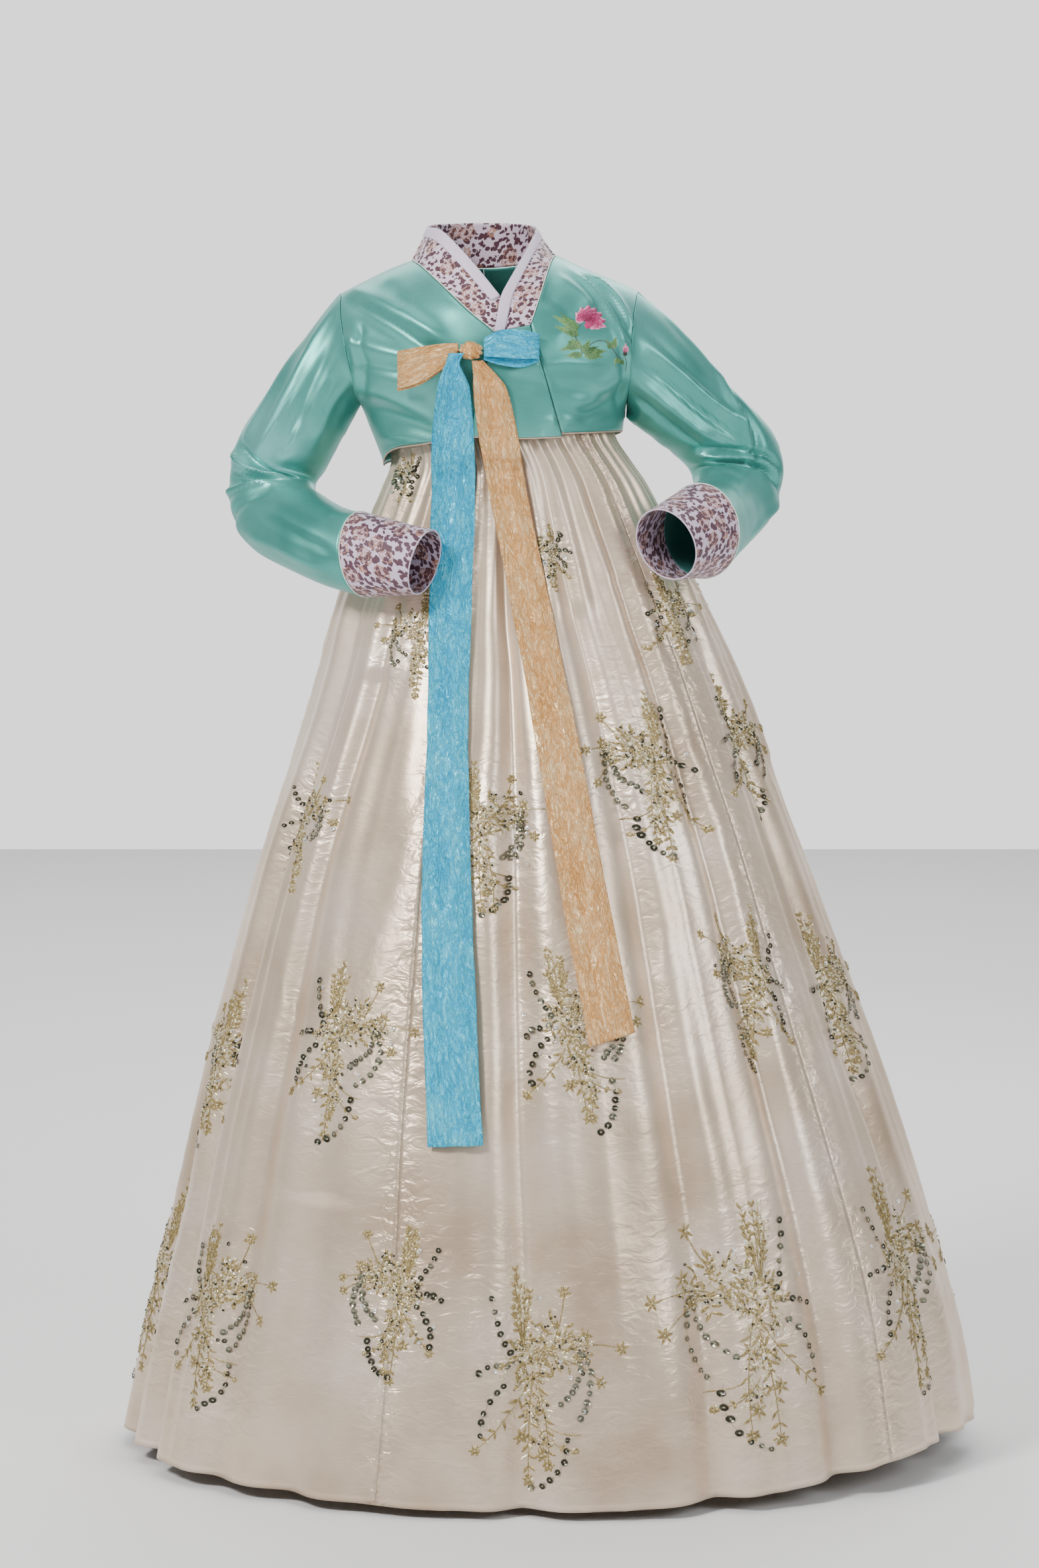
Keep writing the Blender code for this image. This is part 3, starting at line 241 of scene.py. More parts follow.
SLEEVE_VIEWER_RIGHT = table(
    SleeveRing,
    (0.1545, 1.168, 0.18, 1.306, 0.0, 0.05), (0.1605, 1.1645, 0.207, 1.279, 0.001, 0.0505),
    (0.1685, 1.159, 0.235, 1.25, 0.004, 0.0505), (0.18, 1.151, 0.2612, 1.219, 0.009, 0.05),
    (0.194, 1.14, 0.2928, 1.1885, 0.016, 0.049), (0.208, 1.129, 0.3205, 1.158, 0.023, 0.0465),
    (0.2205, 1.117, 0.335, 1.127, 0.026, 0.043), (0.2285, 1.108, 0.3377, 1.096, 0.023, 0.0405),
    (0.2325, 1.102, 0.329, 1.067, 0.012, 0.04), (0.2345, 1.099, 0.307, 1.04, -0.01, 0.0405),
    (0.2345, 1.098, 0.2835, 1.019, -0.037, 0.042), (0.233, 1.0975, 0.26, 1.002, -0.067, 0.045),
    (0.2306, 1.0971, 0.242, 0.99, -0.096, 0.045),
)
CUFF_END_VIEWER_LEFT = SleeveRing(-0.0666, 1.0465, -0.0868, 0.9738, -0.1520, 0.0360)
CUFF_END_VIEWER_RIGHT = SleeveRing(0.1750, 1.0674, 0.2147, 0.9925, -0.1500, 0.0390)
CREASES_VIEWER_LEFT = table(
    Crease,
    (0.46, 115, 0.007, 0.05, 50), (0.57, 60, 0.006, 0.045, 44), (0.52, 205, 0.004, 0.05, 44),
    (0.8, 40, 0.0035, 0.06, 44),
)
CREASES_VIEWER_RIGHT = table(
    Crease,
    (0.4, 105, 0.005, 0.06, 50), (0.55, 45, 0.004, 0.07, 48), (0.62, 15, 0.0045, 0.045, 44),
    (0.5, 235, 0.004, 0.05, 44),
)
SKIRT = table(
    SkirtRing,
    (1.169, 0.01, 0.13, 0.104, 0.0915), (1.15, 0.0105, 0.131, 0.105, 0.092),
    (1.12, 0.0215, 0.14, 0.108, 0.095), (1.096, 0.0255, 0.153, 0.112, 0.108),
    (1.02, 0.029, 0.188, 0.125, 0.142), (0.942, 0.033, 0.2215, 0.146, 0.17),
    (0.881, 0.0385, 0.243, 0.168, 0.192), (0.758, 0.043, 0.285, 0.212, 0.232),
    (0.635, 0.047, 0.328, 0.254, 0.268), (0.512, 0.052, 0.367, 0.288, 0.3),
    (0.388, 0.058, 0.4065, 0.322, 0.33), (0.265, 0.0655, 0.4425, 0.352, 0.358),
    (0.142, 0.068, 0.476, 0.378, 0.382), (0.0, 0.0665, 0.5045, 0.398, 0.4),
)
SKIRT_HEM_LIFT = table(
    HemPoint,
    (-180, -0.006), (-90, -0.008), (-60, -0.01), (-30, -0.015), (0, -0.017), (30, -0.008), (60, 0.012),
    (90, 0.006), (180, -0.006),
)
CLOTH_CUTS = {
    "jacket_right_front": Cut(0.26, 0.27, 0.0455), "jacket_overlap": Cut(0.11, 0.13, 0.0092),
    "jacket_left_front": Cut(0.17, 0.26, 0.0298), "jacket_right_back": Cut(0.20, 0.27, 0.0460),
    "jacket_left_back": Cut(0.20, 0.25, 0.0426), "collar": Cut(0.050, 0.62, 0.0257),
    "collar_strip": Cut(0.015, 0.56, 0.0071), "sleeve_right": Cut(0.39, 0.52, 0.1187),
    "sleeve_left": Cut(0.43, 0.48, 0.1123), "cuff_right": Cut(0.29, 0.092, 0.0199),
    "cuff_left": Cut(0.31, 0.082, 0.0191), "chest_band": Cut(0.74, 0.081, 0.0594),
    "skirt_right_front": Cut(0.56, 1.22, 0.452), "skirt_front": Cut(0.65, 1.23, 0.525),
    "skirt_left_front": Cut(0.53, 1.24, 0.434), "skirt_left_back": Cut(0.62, 1.24, 0.506),
    "skirt_right_back": Cut(0.58, 1.22, 0.471), "bow_loop_right": Cut(0.045, 0.155, 0.0055),
    "bow_loop_left": Cut(0.035, 0.135, 0.0045), "ribbon_blue": Cut(0.064, 0.91, 0.0492),
    "ribbon_peach": Cut(0.057, 0.79, 0.0381),
}
SKIRT_WIDTHS: dict[str, list[Valley]] = {
    "skirt_right_front": table(
        Valley,
        (-93, -94, 0.005, 0.007, 0.007), (-78, -82, 0.006, 0.010, 0.018),
        (-58, -69, 0.007, 0.020, 0.024), (-49, -60, 0.005, 0.005, 0.006),
        (-38, -51, 0.007, 0.015, 0.013), (-28, -37, 0.006, 0.007, 0.018)),
    "skirt_front": table(
        Valley,
        (-19, -23, 0.006, 0.006, 0.008), (-12, -14, 0.005, 0.006, 0.005),
        (-6, -4, 0.008, 0.022, 0.026), (2, 9, 0.005, 0.006, 0.006),
        (13, 22, 0.007, 0.018, 0.024), (22, 31, 0.006, 0.007, 0.008),
        (32, 41, 0.007, 0.019, 0.020)),
    "skirt_left_front": table(
        Valley,
        (45, 50, 0.006, 0.008, 0.008), (55, 58, 0.006, 0.006, 0.006),
        (64, 67, 0.007, 0.018, 0.024), (76, 79, 0.006, 0.007, 0.012),
        (88, 92, 0.006, 0.014, 0.020), (104, 108, 0.006, 0.008, 0.014)),
    "skirt_left_back": table(
        Valley,
        (119, 122, 0.006, 0.007, 0.008), (131, 134, 0.006, 0.013, 0.021),
        (143, 147, 0.006, 0.006, 0.007), (155, 158, 0.006, 0.017, 0.024),
        (168, 170, 0.006, 0.007, 0.010), (181, 182, 0.006, 0.012, 0.018)),
    "skirt_right_back": table(
        Valley,
        (194, 194, 0.006, 0.007, 0.008), (207, 206, 0.006, 0.015, 0.024),
        (219, 217, 0.006, 0.006, 0.008), (231, 229, 0.006, 0.013, 0.018),
        (243, 242, 0.006, 0.008, 0.012), (255, 254, 0.006, 0.015, 0.021)),
}
LOOP_PEACH = table(
    LoopSection,
    (0.0, 1.255, 1.236, 1.235), (0.3, 1.2545, 1.225, 1.2235), (0.65, 1.251, 1.211, 1.208),
    (1.0, 1.2464, 1.2035, 1.201),
)
LOOP_BLUE = table(
    LoopSection,
    (0.0, 1.259, 1.24, 1.237), (0.3, 1.2692, 1.2395, 1.231), (0.7, 1.27, 1.2375, 1.228),
    (1.0, 1.266, 1.238, 1.235),
)
RIBBON_BLUE = table(
    RibbonSection,
    (1.244, -0.0405, 0.017, 0.0), (1.233, -0.0448, 0.016, 0.0), (1.224, -0.0452, 0.023, 0.0),
    (1.205, -0.0443, 0.0375, 0.0), (1.145, -0.0454, 0.0473, 0.0), (1.09, -0.045, 0.05, 0.0),
    (0.96, -0.048, 0.048, 0.0), (0.827, -0.0505, 0.046, 0.0), (0.655, -0.0511, 0.0555, 0.0),
    (0.51, -0.047, 0.059, 0.0), (0.375, -0.0406, 0.0605, 0.06),
)
RIBBON_PEACH = table(
    RibbonSection,
    (1.2358, -0.0172, 0.014, 0.0), (1.218, -0.008, 0.029, 0.0), (1.205, -0.0034, 0.0383, 0.0),
    (1.145, 0.0071, 0.045, 0.0), (1.09, 0.0165, 0.043, 0.03), (0.96, 0.043, 0.044, 0.08),
    (0.827, 0.0692, 0.046, 0.15), (0.655, 0.1001, 0.049, 0.22), (0.489, 0.1322, 0.0515, 0.28),
)


# ---------------------------------------------------------------- curves and grids
def smooth_step(share: Array) -> Array:
    """A soft ramp from 0 to 1."""
    bounded = np.clip(share, 0.0, 1.0)
    return bounded * bounded * (3 - 2 * bounded)


def track(keys: Sequence[float], values: Sequence[float], at: Array) -> Array:
    """Values on a smooth curve through rising keys, level beyond both ends.

    Args:
        keys: where the values are given, rising.
        values: the values there.
        at: where they are wanted.

    Returns:
        The values at those places.
    """
    knots = np.asarray(keys, float)
    given = np.asarray(values, float)
    place = np.clip(np.asarray(at, float), knots[0], knots[-1])
    index = np.clip(np.searchsorted(knots, place, side="right") - 1, 0, len(knots) - 2)
    before = np.maximum(np.arange(len(knots)) - 1, 0)
    after = np.minimum(np.arange(len(knots)) + 1, len(knots) - 1)
    slopes = (given[after] - given[before]) / (knots[after] - knots[before])
    span = knots[index + 1] - knots[index]
    t = (place - knots[index]) / span
    start = (2 * t ** 3 - 3 * t ** 2 + 1) * given[index] + (t ** 3 - 2 * t ** 2 + t) * span * slopes[index]
    end = (3 * t ** 2 - 2 * t ** 3) * given[index + 1] + (t ** 3 - t ** 2) * span * slopes[index + 1]
    return start + end


def by_key(rows: Sequence[NamedTuple], key: str, name: str, at: Array) -> Array:
    """One column of a table at given values of its key column."""
    ordered = sorted(rows, key=lambda row: getattr(row, key))
    return track([getattr(row, key) for row in ordered], [getattr(row, name) for row in ordered], at)


def at_height(rows: Sequence[NamedTuple], height: Array, *names: str) -> list[Array]:
    """Columns of a table at heights."""
    return [by_key(rows, "height", name, height) for name in names]


def by_share(rows: Sequence[NamedTuple], name: str, share: Array) -> Array:
    """One column of a table at a share of the way from its first row to its last."""
    return track(range(len(rows)), [getattr(row, name) for row in rows], np.asarray(share) * (len(rows) - 1))


def shares(count: int) -> Array:
    """Even shares from 0 to 1, in a number of steps."""
    return np.arange(count + 1) / count


def turns(count: int) -> Array:
    """Even angles once round, in radians."""
    return 2 * np.pi * np.arange(count) / count


def spokes(outward: Array, forward: Array, turn: Array) -> Array:
    """Steps from the middles of rings to their points at angles, from each ring's two half axes."""
    return outward[:, None] * np.cos(turn)[None, :, None] + forward[:, None] * np.sin(turn)[None, :, None]


def circle(sides: int) -> Array:
    """Places round a flat circle of radius 1."""
    turn = turns(sides)
    return np.stack([np.cos(turn), np.sin(turn)], axis=1)


def unit(vectors: Array) -> Array:
    """Vectors of length 1."""
    return vectors / np.maximum(np.linalg.norm(vectors, axis=-1, keepdims=True), 1e-12)


def grid_normals(grid: Array, closed: bool = False) -> Array:
    """Directions square to a grid of points.

    Args:
        grid: points as rows, columns and coordinates.
        closed: whether each row closes on itself.

    Returns:
        Unit vectors of the same shape.
    """
    if closed:
        across = np.roll(grid, -1, axis=1) - np.roll(grid, 1, axis=1)
    else:
        across = np.gradient(grid, axis=1)
    along = np.gradient(grid, axis=0)
    return unit(np.cross(across, along))


def out_of(points: Array, normals: Array, inside: Sequence[float]) -> Array:
    """1 where a direction leads away from a place inside the cloth, and -1 where it leads towards it."""
    return np.where(np.sum(normals * (points - np.array(inside)), axis=-1, keepdims=True) < 0, -1, 1)


def cut_lengths(grid: Array) -> Array:
    """The cloth's own coordinates of a grid, in metres across and along it."""
    across = np.linalg.norm(np.diff(grid, axis=1), axis=2)
    along = np.linalg.norm(np.diff(grid, axis=0), axis=2)
    u = np.concatenate([np.zeros((grid.shape[0], 1)), np.cumsum(across, axis=1)], axis=1)
    v = np.concatenate([np.zeros((1, grid.shape[1])), np.cumsum(along, axis=0)], axis=0)
    u -= u[:, -1:] / 2
    return np.stack([u, v], axis=2)


class SoftNoise:
    """Smooth uneven values over the plane, the same each run."""

    def __init__(self, seed: int, size: int = 64) -> None:
        """Draws the values of a square lattice."""
        self.size = size
        self.values = np.random.default_rng(seed).uniform(-1.0, 1.0, (size, size))

    def at(self, u: Array, v: Array, period_u: float, period_v: float) -> Array:
        """Values between -1 and 1, uneven over the given periods in metres."""
        x = np.asarray(u) / period_u
        y = np.asarray(v) / period_v
        column = np.floor(x).astype(int)
        row = np.floor(y).astype(int)
        s = smooth_step(x - column)
        t = smooth_step(y - row)
        a = self.values[row % self.size, column % self.size]
        b = self.values[row % self.size, (column + 1) % self.size]
        c = self.values[(row + 1) % self.size, column % self.size]
        d = self.values[(row + 1) % self.size, (column + 1) % self.size]
        return (a * (1 - s) + b * s) * (1 - t) + (c * (1 - s) + d * s) * t


class Fold(NamedTuple):
    """A soft fold between two places: its rise (below 0 for a trough), half width, bend and fade."""
    x0: float
    y0: float
    x1: float
    y1: float
    rise: float
    half_width: float
    bend: float = 0.0
    fade: float = 0.35


def fold_height(folds: Sequence[Fold], x: Array, y: Array) -> Array:
    """How far the folds lift the cloth at places.

    Args:
        folds: the folds, in the same coordinates as the places.
        x: the places' first coordinate.
        y: their second coordinate.

    Returns:
        The lift along the cloth's outward direction, in metres.
    """
    def ramp(share: Array, fade: float) -> Array:
        """A soft start of a fold at its end."""
        return smooth_step((share + fade / 2) / fade)

    total = np.zeros(np.broadcast(x, y).shape)
    for one in folds:
        length = math.hypot(one.x1 - one.x0, one.y1 - one.y0)
        ux, uy = (one.x1 - one.x0) / length, (one.y1 - one.y0) / length
        along = ((x - one.x0) * ux + (y - one.y0) * uy) / length
        off = -(x - one.x0) * uy + (y - one.y0) * ux
        middle = one.bend * 4 * np.clip(along, 0, 1) * (1 - np.clip(along, 0, 1))
        ends = ramp(along, one.fade) * ramp(1 - along, one.fade)
        total = total + one.rise * ends * np.exp(-((off - middle) / one.half_width) ** 2)
    return total


# ---------------------------------------------------------------- materials
class NodeSketch:
    """A short way to lay out a procedural material."""

    def __init__(self, name: str) -> None:
        """Starts a material whose nodes are its own."""
        self.material = bpy.data.materials.new(name)
        self.material.use_nodes = True
        self.tree = self.material.node_tree
        self.shader = self.tree.nodes["Principled BSDF"]

    def add(self, kind: str, inputs: dict | None = None, **settings) -> bpy.types.Node:
        """A node, with its settings and its inputs, each a value or another node's output."""
        node = self.tree.nodes.new(kind)
        for name, value in settings.items():
            setattr(node, name, value)
        for name, value in (inputs or {}).items():
            self.feed(node.inputs[name], value)
        return node

    def feed(self, socket: bpy.types.NodeSocket, value) -> None:
        """Gives a socket a value or links an output to it."""
        if isinstance(value, bpy.types.NodeSocket):
            self.tree.links.new(value, socket)
        else:
            socket.default_value = value

    def math(self, operation: str, first, second=0.0, third=0.0, clamp: bool = False) -> bpy.types.NodeSocket:
        """The result of one sum on numbers or outputs."""
        inputs = {0: first, 1: second, 2: third}
        return self.add("ShaderNodeMath", inputs, operation=operation, use_clamp=clamp).outputs[0]

    def cut(self, scale_across: float = 1.0, scale_along: float = 1.0) -> bpy.types.NodeSocket:
        """The cloth's own coordinates in metres, scaled."""
        source = self.add("ShaderNodeUVMap", uv_map="cut").outputs["UV"]
        mapping = self.add("ShaderNodeMapping", {"Vector": source, "Scale": (scale_across, scale_along, 1.0)})
        return mapping.outputs["Vector"]

    def place(self) -> bpy.types.NodeSocket:
        """The place on the object in metres."""
        return self.add("ShaderNodeTexCoord").outputs["Object"]

    def noise(self, vector, scale: float, detail: float = 2.0, roughness: float = 0.5,
              distortion: float = 0.0) -> bpy.types.NodeSocket:
        """Uneven values from 0 to 1."""
        inputs = {"Vector": vector, "Scale": scale, "Detail": detail, "Roughness": roughness,
                  "Distortion": distortion}
        return self.add("ShaderNodeTexNoise", inputs).outputs["Fac"]

    def crinkle(self, vector, steepness: float) -> bpy.types.NodeSocket:
        """Uneven crease lines, 0 along them and 1 between them."""
        wander = self.noise(vector, 1.0, 3.0, 0.6, 1.4)
        off = self.math("ABSOLUTE", self.math("SUBTRACT", wander, 0.5))
        return self.math("MULTIPLY", off, steepness * 2, clamp=True)

    def steps(self, value, stops: Sequence[tuple[float, Colour]]) -> bpy.types.NodeSocket:
        """Colours run through by a value, from a few stops."""
        ramp = self.add("ShaderNodeValToRGB", {"Fac": value})
        elements = ramp.color_ramp.elements
        while len(elements) < len(stops):
            elements.new(0.5)
        for element, (position, colour) in zip(elements, stops):
            element.position = position
            element.color = (*colour, 1.0)
        return ramp.outputs["Color"]

    def mix(self, share, first, second, blend: str = "MIX") -> bpy.types.NodeSocket:
        """One colour over another by a share."""
        node = self.add("ShaderNodeMix", data_type="RGBA", blend_type=blend)
        self.feed(node.inputs[0], share)
        for socket, value in ((node.inputs[6], first), (node.inputs[7], second)):
            self.feed(socket, (*value, 1.0) if isinstance(value, tuple) else value)
        return node.outputs[2]

    def bump(self, height, distance: float, normal=None) -> bpy.types.NodeSocket:
        """A bumped normal, on top of another where one is given."""
        inputs = {"Height": height, "Distance": distance, "Strength": 1.0}
        if normal is not None:
            inputs["Normal"] = normal
        return self.add("ShaderNodeBump", inputs).outputs["Normal"]

    def shine(self, **values: float) -> None:
        """Sets plain values on the shader's own sockets."""
        for name, value in values.items():
            self.shader.inputs[name.replace("_", " ")].default_value = value

    def finish(self, colour, normal, **values: float) -> bpy.types.Material:
        """Feeds the shader its colour, its normal and plain values; returns the material."""
        self.feed(self.shader.inputs["Base Color"], colour)
        self.feed(self.shader.inputs["Normal"], normal)
        self.shine(**values)
        return self.material


@dataclass(frozen=True)
class SatinFinish:
    """Woven satin with slubs, a soft gloss, patches of painted shade and highlight, and puckers where stitched.
    """
    name: str
    base: Colour
    # deep is the painted shade colour and light the painted highlight colour
    deep: Colour
    light: Colour
    roughness: float
    gloss: float
    sheen: float
    metallic: float
    pucker: float = 0.0

    def build(self) -> bpy.types.Material:
        """The satin as a material."""
        sketch = NodeSketch(self.name)
        # Broad noise lays the deep and light colours in random patches, painted shade and painted highlight,
        # over the base tone
        broad = sketch.noise(sketch.place(), 7.0, 3.0)
        slubs = sketch.noise(sketch.cut(60.0, 900.0), 1.0, 3.0, 0.6)
        warp = sketch.noise(sketch.cut(1500.0, 40.0), 1.0, 2.0, 0.5)
        tone_with_painted_light = sketch.steps(broad, [(0.30, self.deep), (0.50, self.base), (0.72, self.light)])
        streaks = sketch.steps(slubs, [(0.35, (0.90, 0.90, 0.90)), (0.65, (1.0, 1.0, 1.0))])
        uneven = sketch.math("MULTIPLY_ADD", slubs, 0.12, self.roughness - 0.06)
        sketch.feed(sketch.shader.inputs["Roughness"], uneven)
        height = sketch.math("ADD", sketch.math("MULTIPLY", slubs, 0.6), sketch.math("MULTIPLY", warp, 0.4))
        normal = sketch.bump(height, 0.00010)
        if self.pucker > 0:
            gathered = sketch.add("ShaderNodeAttribute", attribute_name="pucker").outputs["Fac"]
            wrinkles = sketch.noise(sketch.cut(48.0, 80.0), 1.0, 2.0, 0.5, 0.9)
            normal = sketch.bump(sketch.math("MULTIPLY", wrinkles, gathered), self.pucker, normal=normal)
        return sketch.finish(
            sketch.mix(0.8, tone_with_painted_light, streaks, "MULTIPLY"), normal, Metallic=self.metallic,
            Specular_IOR_Level=self.gloss, Sheen_Weight=self.sheen, Sheen_Roughness=0.4, Anisotropic=0.35)


@dataclass(frozen=True)
class CrepeFinish:
    """Crinkled crepe with fine creases down the ribbon, painted shade along them and painted highlight between.
    """
    name: str
    base: Colour
    # deep is the painted shade colour of the creases and light the painted highlight colour between them
    deep: Colour
    light: Colour

    def build(self) -> bpy.types.Material:
        """The crepe as a material."""
        sketch = NodeSketch(self.name)
        long_creases = sketch.crinkle(sketch.cut(95.0, 30.0), 5.0)
        short_creases = sketch.crinkle(sketch.cut(240.0, 105.0), 4.0)
        relief = sketch.math("MULTIPLY_ADD", short_creases, 0.45, sketch.math("MULTIPLY", long_creases, 0.55))
        tone = sketch.noise(sketch.cut(38.0, 14.0), 1.0, 3.0, 0.6)
        # The crease lines take the deep colour as painted shade and the ridges the light one as painted
        # highlight, mixed with a random tone
        crease_painted_light_and_tone = sketch.math("MULTIPLY_ADD", tone, 0.55, sketch.math("MULTIPLY", relief, 0.38))
        colour = sketch.steps(crease_painted_light_and_tone, [(0.20, self.deep), (0.42, self.base), (0.70, self.light)])
        return sketch.finish(colour, sketch.bump(relief, 0.0022),
                             Roughness=0.38, Specular_IOR_Level=0.45, Metallic=0.35)


@dataclass(frozen=True)
class BrocadeFinish:
    """Pale brocade woven with small dark buds and larger rose outlines."""
    name: str
    ground: Colour
    bud: Colour
    rose: Colour
    density: float

    def build(self) -> bpy.types.Material:
        """The brocade as a material."""
        sketch = NodeSketch(self.name)
        wander = sketch.add("ShaderNodeTexNoise", {
            "Vector": sketch.cut(220.0, 220.0), "Scale": 1.0, "Detail": 2.0}).outputs["Color"]
        shift = sketch.add("ShaderNodeVectorMath", {0: wander, "Scale": 0.0060}, operation="SCALE")
        bent = sketch.add("ShaderNodeVectorMath", {0: sketch.cut(), 1: shift.outputs["Vector"]},
                          operation="ADD")
        cloth = bent.outputs["Vector"]
        roses = sketch.add("ShaderNodeTexVoronoi", {"Vector": cloth, "Scale": 44.0, "Randomness": 0.7})
        buds = sketch.add("ShaderNodeTexVoronoi", {"Vector": cloth, "Scale": 150.0, "Randomness": 0.85})
        rings = sketch.math("SINE", sketch.math("MULTIPLY", roses.outputs["Distance"], 38.0))
        petals = sketch.noise(sketch.cut(420.0, 420.0), 1.0, 2.0)
        inside = sketch.math("LESS_THAN", roses.outputs["Distance"], 0.40)
        frayed = sketch.math("MULTIPLY_ADD", petals, 0.9, rings)
        outline = sketch.math("GREATER_THAN", frayed, 0.95)
        rose = sketch.math("MULTIPLY", inside, outline)
        patchy = sketch.noise(sketch.cut(130.0, 130.0), 1.0, 2.0)
        bud_size = sketch.math("MULTIPLY", patchy, self.density)
        filled = sketch.math("LESS_THAN", buds.outputs["Distance"], bud_size)
        beside_rose = sketch.math("SUBTRACT", 1.0, sketch.math("MULTIPLY", rose, 0.6))
        dark = sketch.math("MULTIPLY", filled, beside_rose)
        threads = sketch.noise(sketch.cut(1400.0, 1400.0), 1.0, 1.0)
        shaded = tuple(0.88 * part for part in self.ground)
        ground = sketch.steps(threads, [(0.30, shaded), (0.70, self.ground)])
        with_rose = sketch.mix(rose, ground, self.rose)
        blush = sketch.mix(sketch.math("MULTIPLY", inside, 0.28), with_rose, self.rose)
        relief = sketch.math("ADD", dark, sketch.math("MULTIPLY", rose, 0.8))
        return sketch.finish(
            sketch.mix(dark, blush, self.bud), sketch.bump(sketch.math("ADD", relief, threads), 0.0003),
            Roughness=0.5, Specular_IOR_Level=0.4, Sheen_Weight=0.2, Sheen_Roughness=0.4)


@dataclass(frozen=True)
class ThreadFinish:
    """Shiny embroidery thread, or the cord of a piping."""
    name: str
    base: Colour
    light: Colour
    roughness: float = 0.38
    metallic: float = 0.0

    def build(self) -> bpy.types.Material:
        """The thread as a material."""
        sketch = NodeSketch(self.name)
        twist = sketch.noise(sketch.place(), 420.0, 2.0, 0.6)
        colour = sketch.steps(twist, [(0.32, self.base), (0.68, self.light)])
        return sketch.finish(colour, sketch.bump(twist, 0.0003),
                             Roughness=self.roughness, Metallic=self.metallic, Specular_IOR_Level=0.6)


# ---------------------------------------------------------------- meshes
class Piece:
    """A finished mesh object in the garment."""

    def __init__(self, name: str, verts: Array, faces: Sequence[Sequence[int]] | Array) -> None:
        """Makes the object from points whose heights are above the floor."""
        moved = np.array(verts, float)
        moved[:, 2] -= SHOULDER_HEIGHT
        self.mesh = bpy.data.meshes.new(name)
        self.mesh.from_pydata(moved.tolist(), [], [list(map(int, face)) for face in faces])
        self.mesh.shade_smooth()
        self.object = bpy.data.objects.new(name, self.mesh)
        bpy.context.scene.collection.objects.link(self.object)

    def dress(self, material: bpy.types.Material, slot: str) -> None:
        """Gives the piece its material and lets it ride on the garment."""
        self.mesh.materials.append(material)
        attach(self.object, "root")
        LOG.info("%s: %d faces", self.object.name, len(self.mesh.polygons))


class Shell(Piece):
    """A sheet of cloth through a grid of points, with a thin wall behind it."""

    def __init__(self, name: str, grid: Array, wall: float, behind: Sequence[float], closed: bool = False,
                 pucker: Array | None = None) -> None:
        """Makes the sheet.

        Args:
            name: the object's name.
            grid: points as rows, columns and coordinates, on the cloth's outer face.
            wall: the cloth's thickness, laid behind that face.
            behind: a place on the inner side of the sheet.
            closed: whether each row closes on itself.
            pucker: how strongly the cloth is drawn up at each point.
        """
        rows, columns = grid.shape[:2]
        flat = cut_lengths(np.concatenate([grid, grid[:, :1]], axis=1) if closed else grid)
        row, column = np.meshgrid(
            np.arange(rows - 1), np.arange(columns if closed else columns - 1), indexing="ij")
        beside = (column + 1) % columns
        faces = np.stack([row * columns + column, row * columns + beside, (row + 1) * columns + beside,
                          (row + 1) * columns + column], axis=2).reshape(-1, 4)
        corners = np.stack([flat[row, column], flat[row, column + 1], flat[row + 1, column + 1],
                            flat[row + 1, column]], axis=2).reshape(-1, 4, 2)
        middle = (rows // 2, columns // 4 if closed else columns // 2)
        normal = grid_normals(grid, closed)[middle]
        if np.dot(normal, grid[middle] - np.asarray(behind)) < 0:
            faces = faces[:, ::-1]
            corners = corners[:, ::-1]
        super().__init__(name, grid.reshape(-1, 3), faces)
        layer = self.mesh.uv_layers.new(name="cut")
        layer.data.foreach_set("uv", np.ascontiguousarray(corners.reshape(-1)).astype(np.float32))
        if pucker is not None:
            attribute = self.mesh.attributes.new("pucker", "FLOAT", "POINT")
            attribute.data.foreach_set("value", np.ascontiguousarray(pucker.reshape(-1)).astype(np.float32))
        thicken = self.object.modifiers.new("wall", "SOLIDIFY")
        thicken.thickness = wall
        thicken.offset = -1.0
        thicken.use_even_offset = False

    def stand_for(self, node: str, material: bpy.types.Material, slot: str, held: str,
                  rests_on: Sequence[str]) -> None:
        """Dresses the sheet and hides the node that it stands for.

        Args:
            node: the node that it replaces.
            material: its material.
            slot: the record's slot of that material.
            held: how the cloth is held; not used.
            rests_on: what it lies on; not used.
        """
        self.dress(material, slot)
        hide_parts(node)
        cut = CLOTH_CUTS[node]
        cut.flat()


class Cording(Piece):
    """A round cord along a line of points, such as a piping or a stem."""

    sides = 6
    sideways = np.array([0.13, 0.31, 0.94])

    def __init__(self, name: str, line: Array, radius: float, closed: bool = False) -> None:
        """Makes the cord, with both ends closed unless it closes on itself."""
        sides = self.sides
        tangent = unit(np.gradient(line, axis=0))
        if closed:
            tangent = unit(np.roll(line, -1, axis=0) - np.roll(line, 1, axis=0))
        side = unit(np.cross(tangent, self.sideways))
        up = np.cross(side, tangent)
        verts = (line[:, None, :] + radius * spokes(side, up, turns(sides))).reshape(-1, 3)
        faces = []
        count = len(line)
        for step in range(count if closed else count - 1):
            for index in range(sides):
                here = step * sides
                after = (step + 1) % count * sides
                other = (index + 1) % sides
                faces.append((here + index, after + index, after + other, here + other))
        if not closed:
            faces.append(tuple(range(sides)))
            faces.append(tuple((count - 1) * sides + index for index in reversed(range(sides))))
        super().__init__(name, verts, faces)


# ---------------------------------------------------------------- jacket
class Layer(Enum):
    """Which cover of the body a panel is."""
    LOWER_FRONT = "lower front"
    UPPER_FRONT = "upper front"
    BACK = "back"


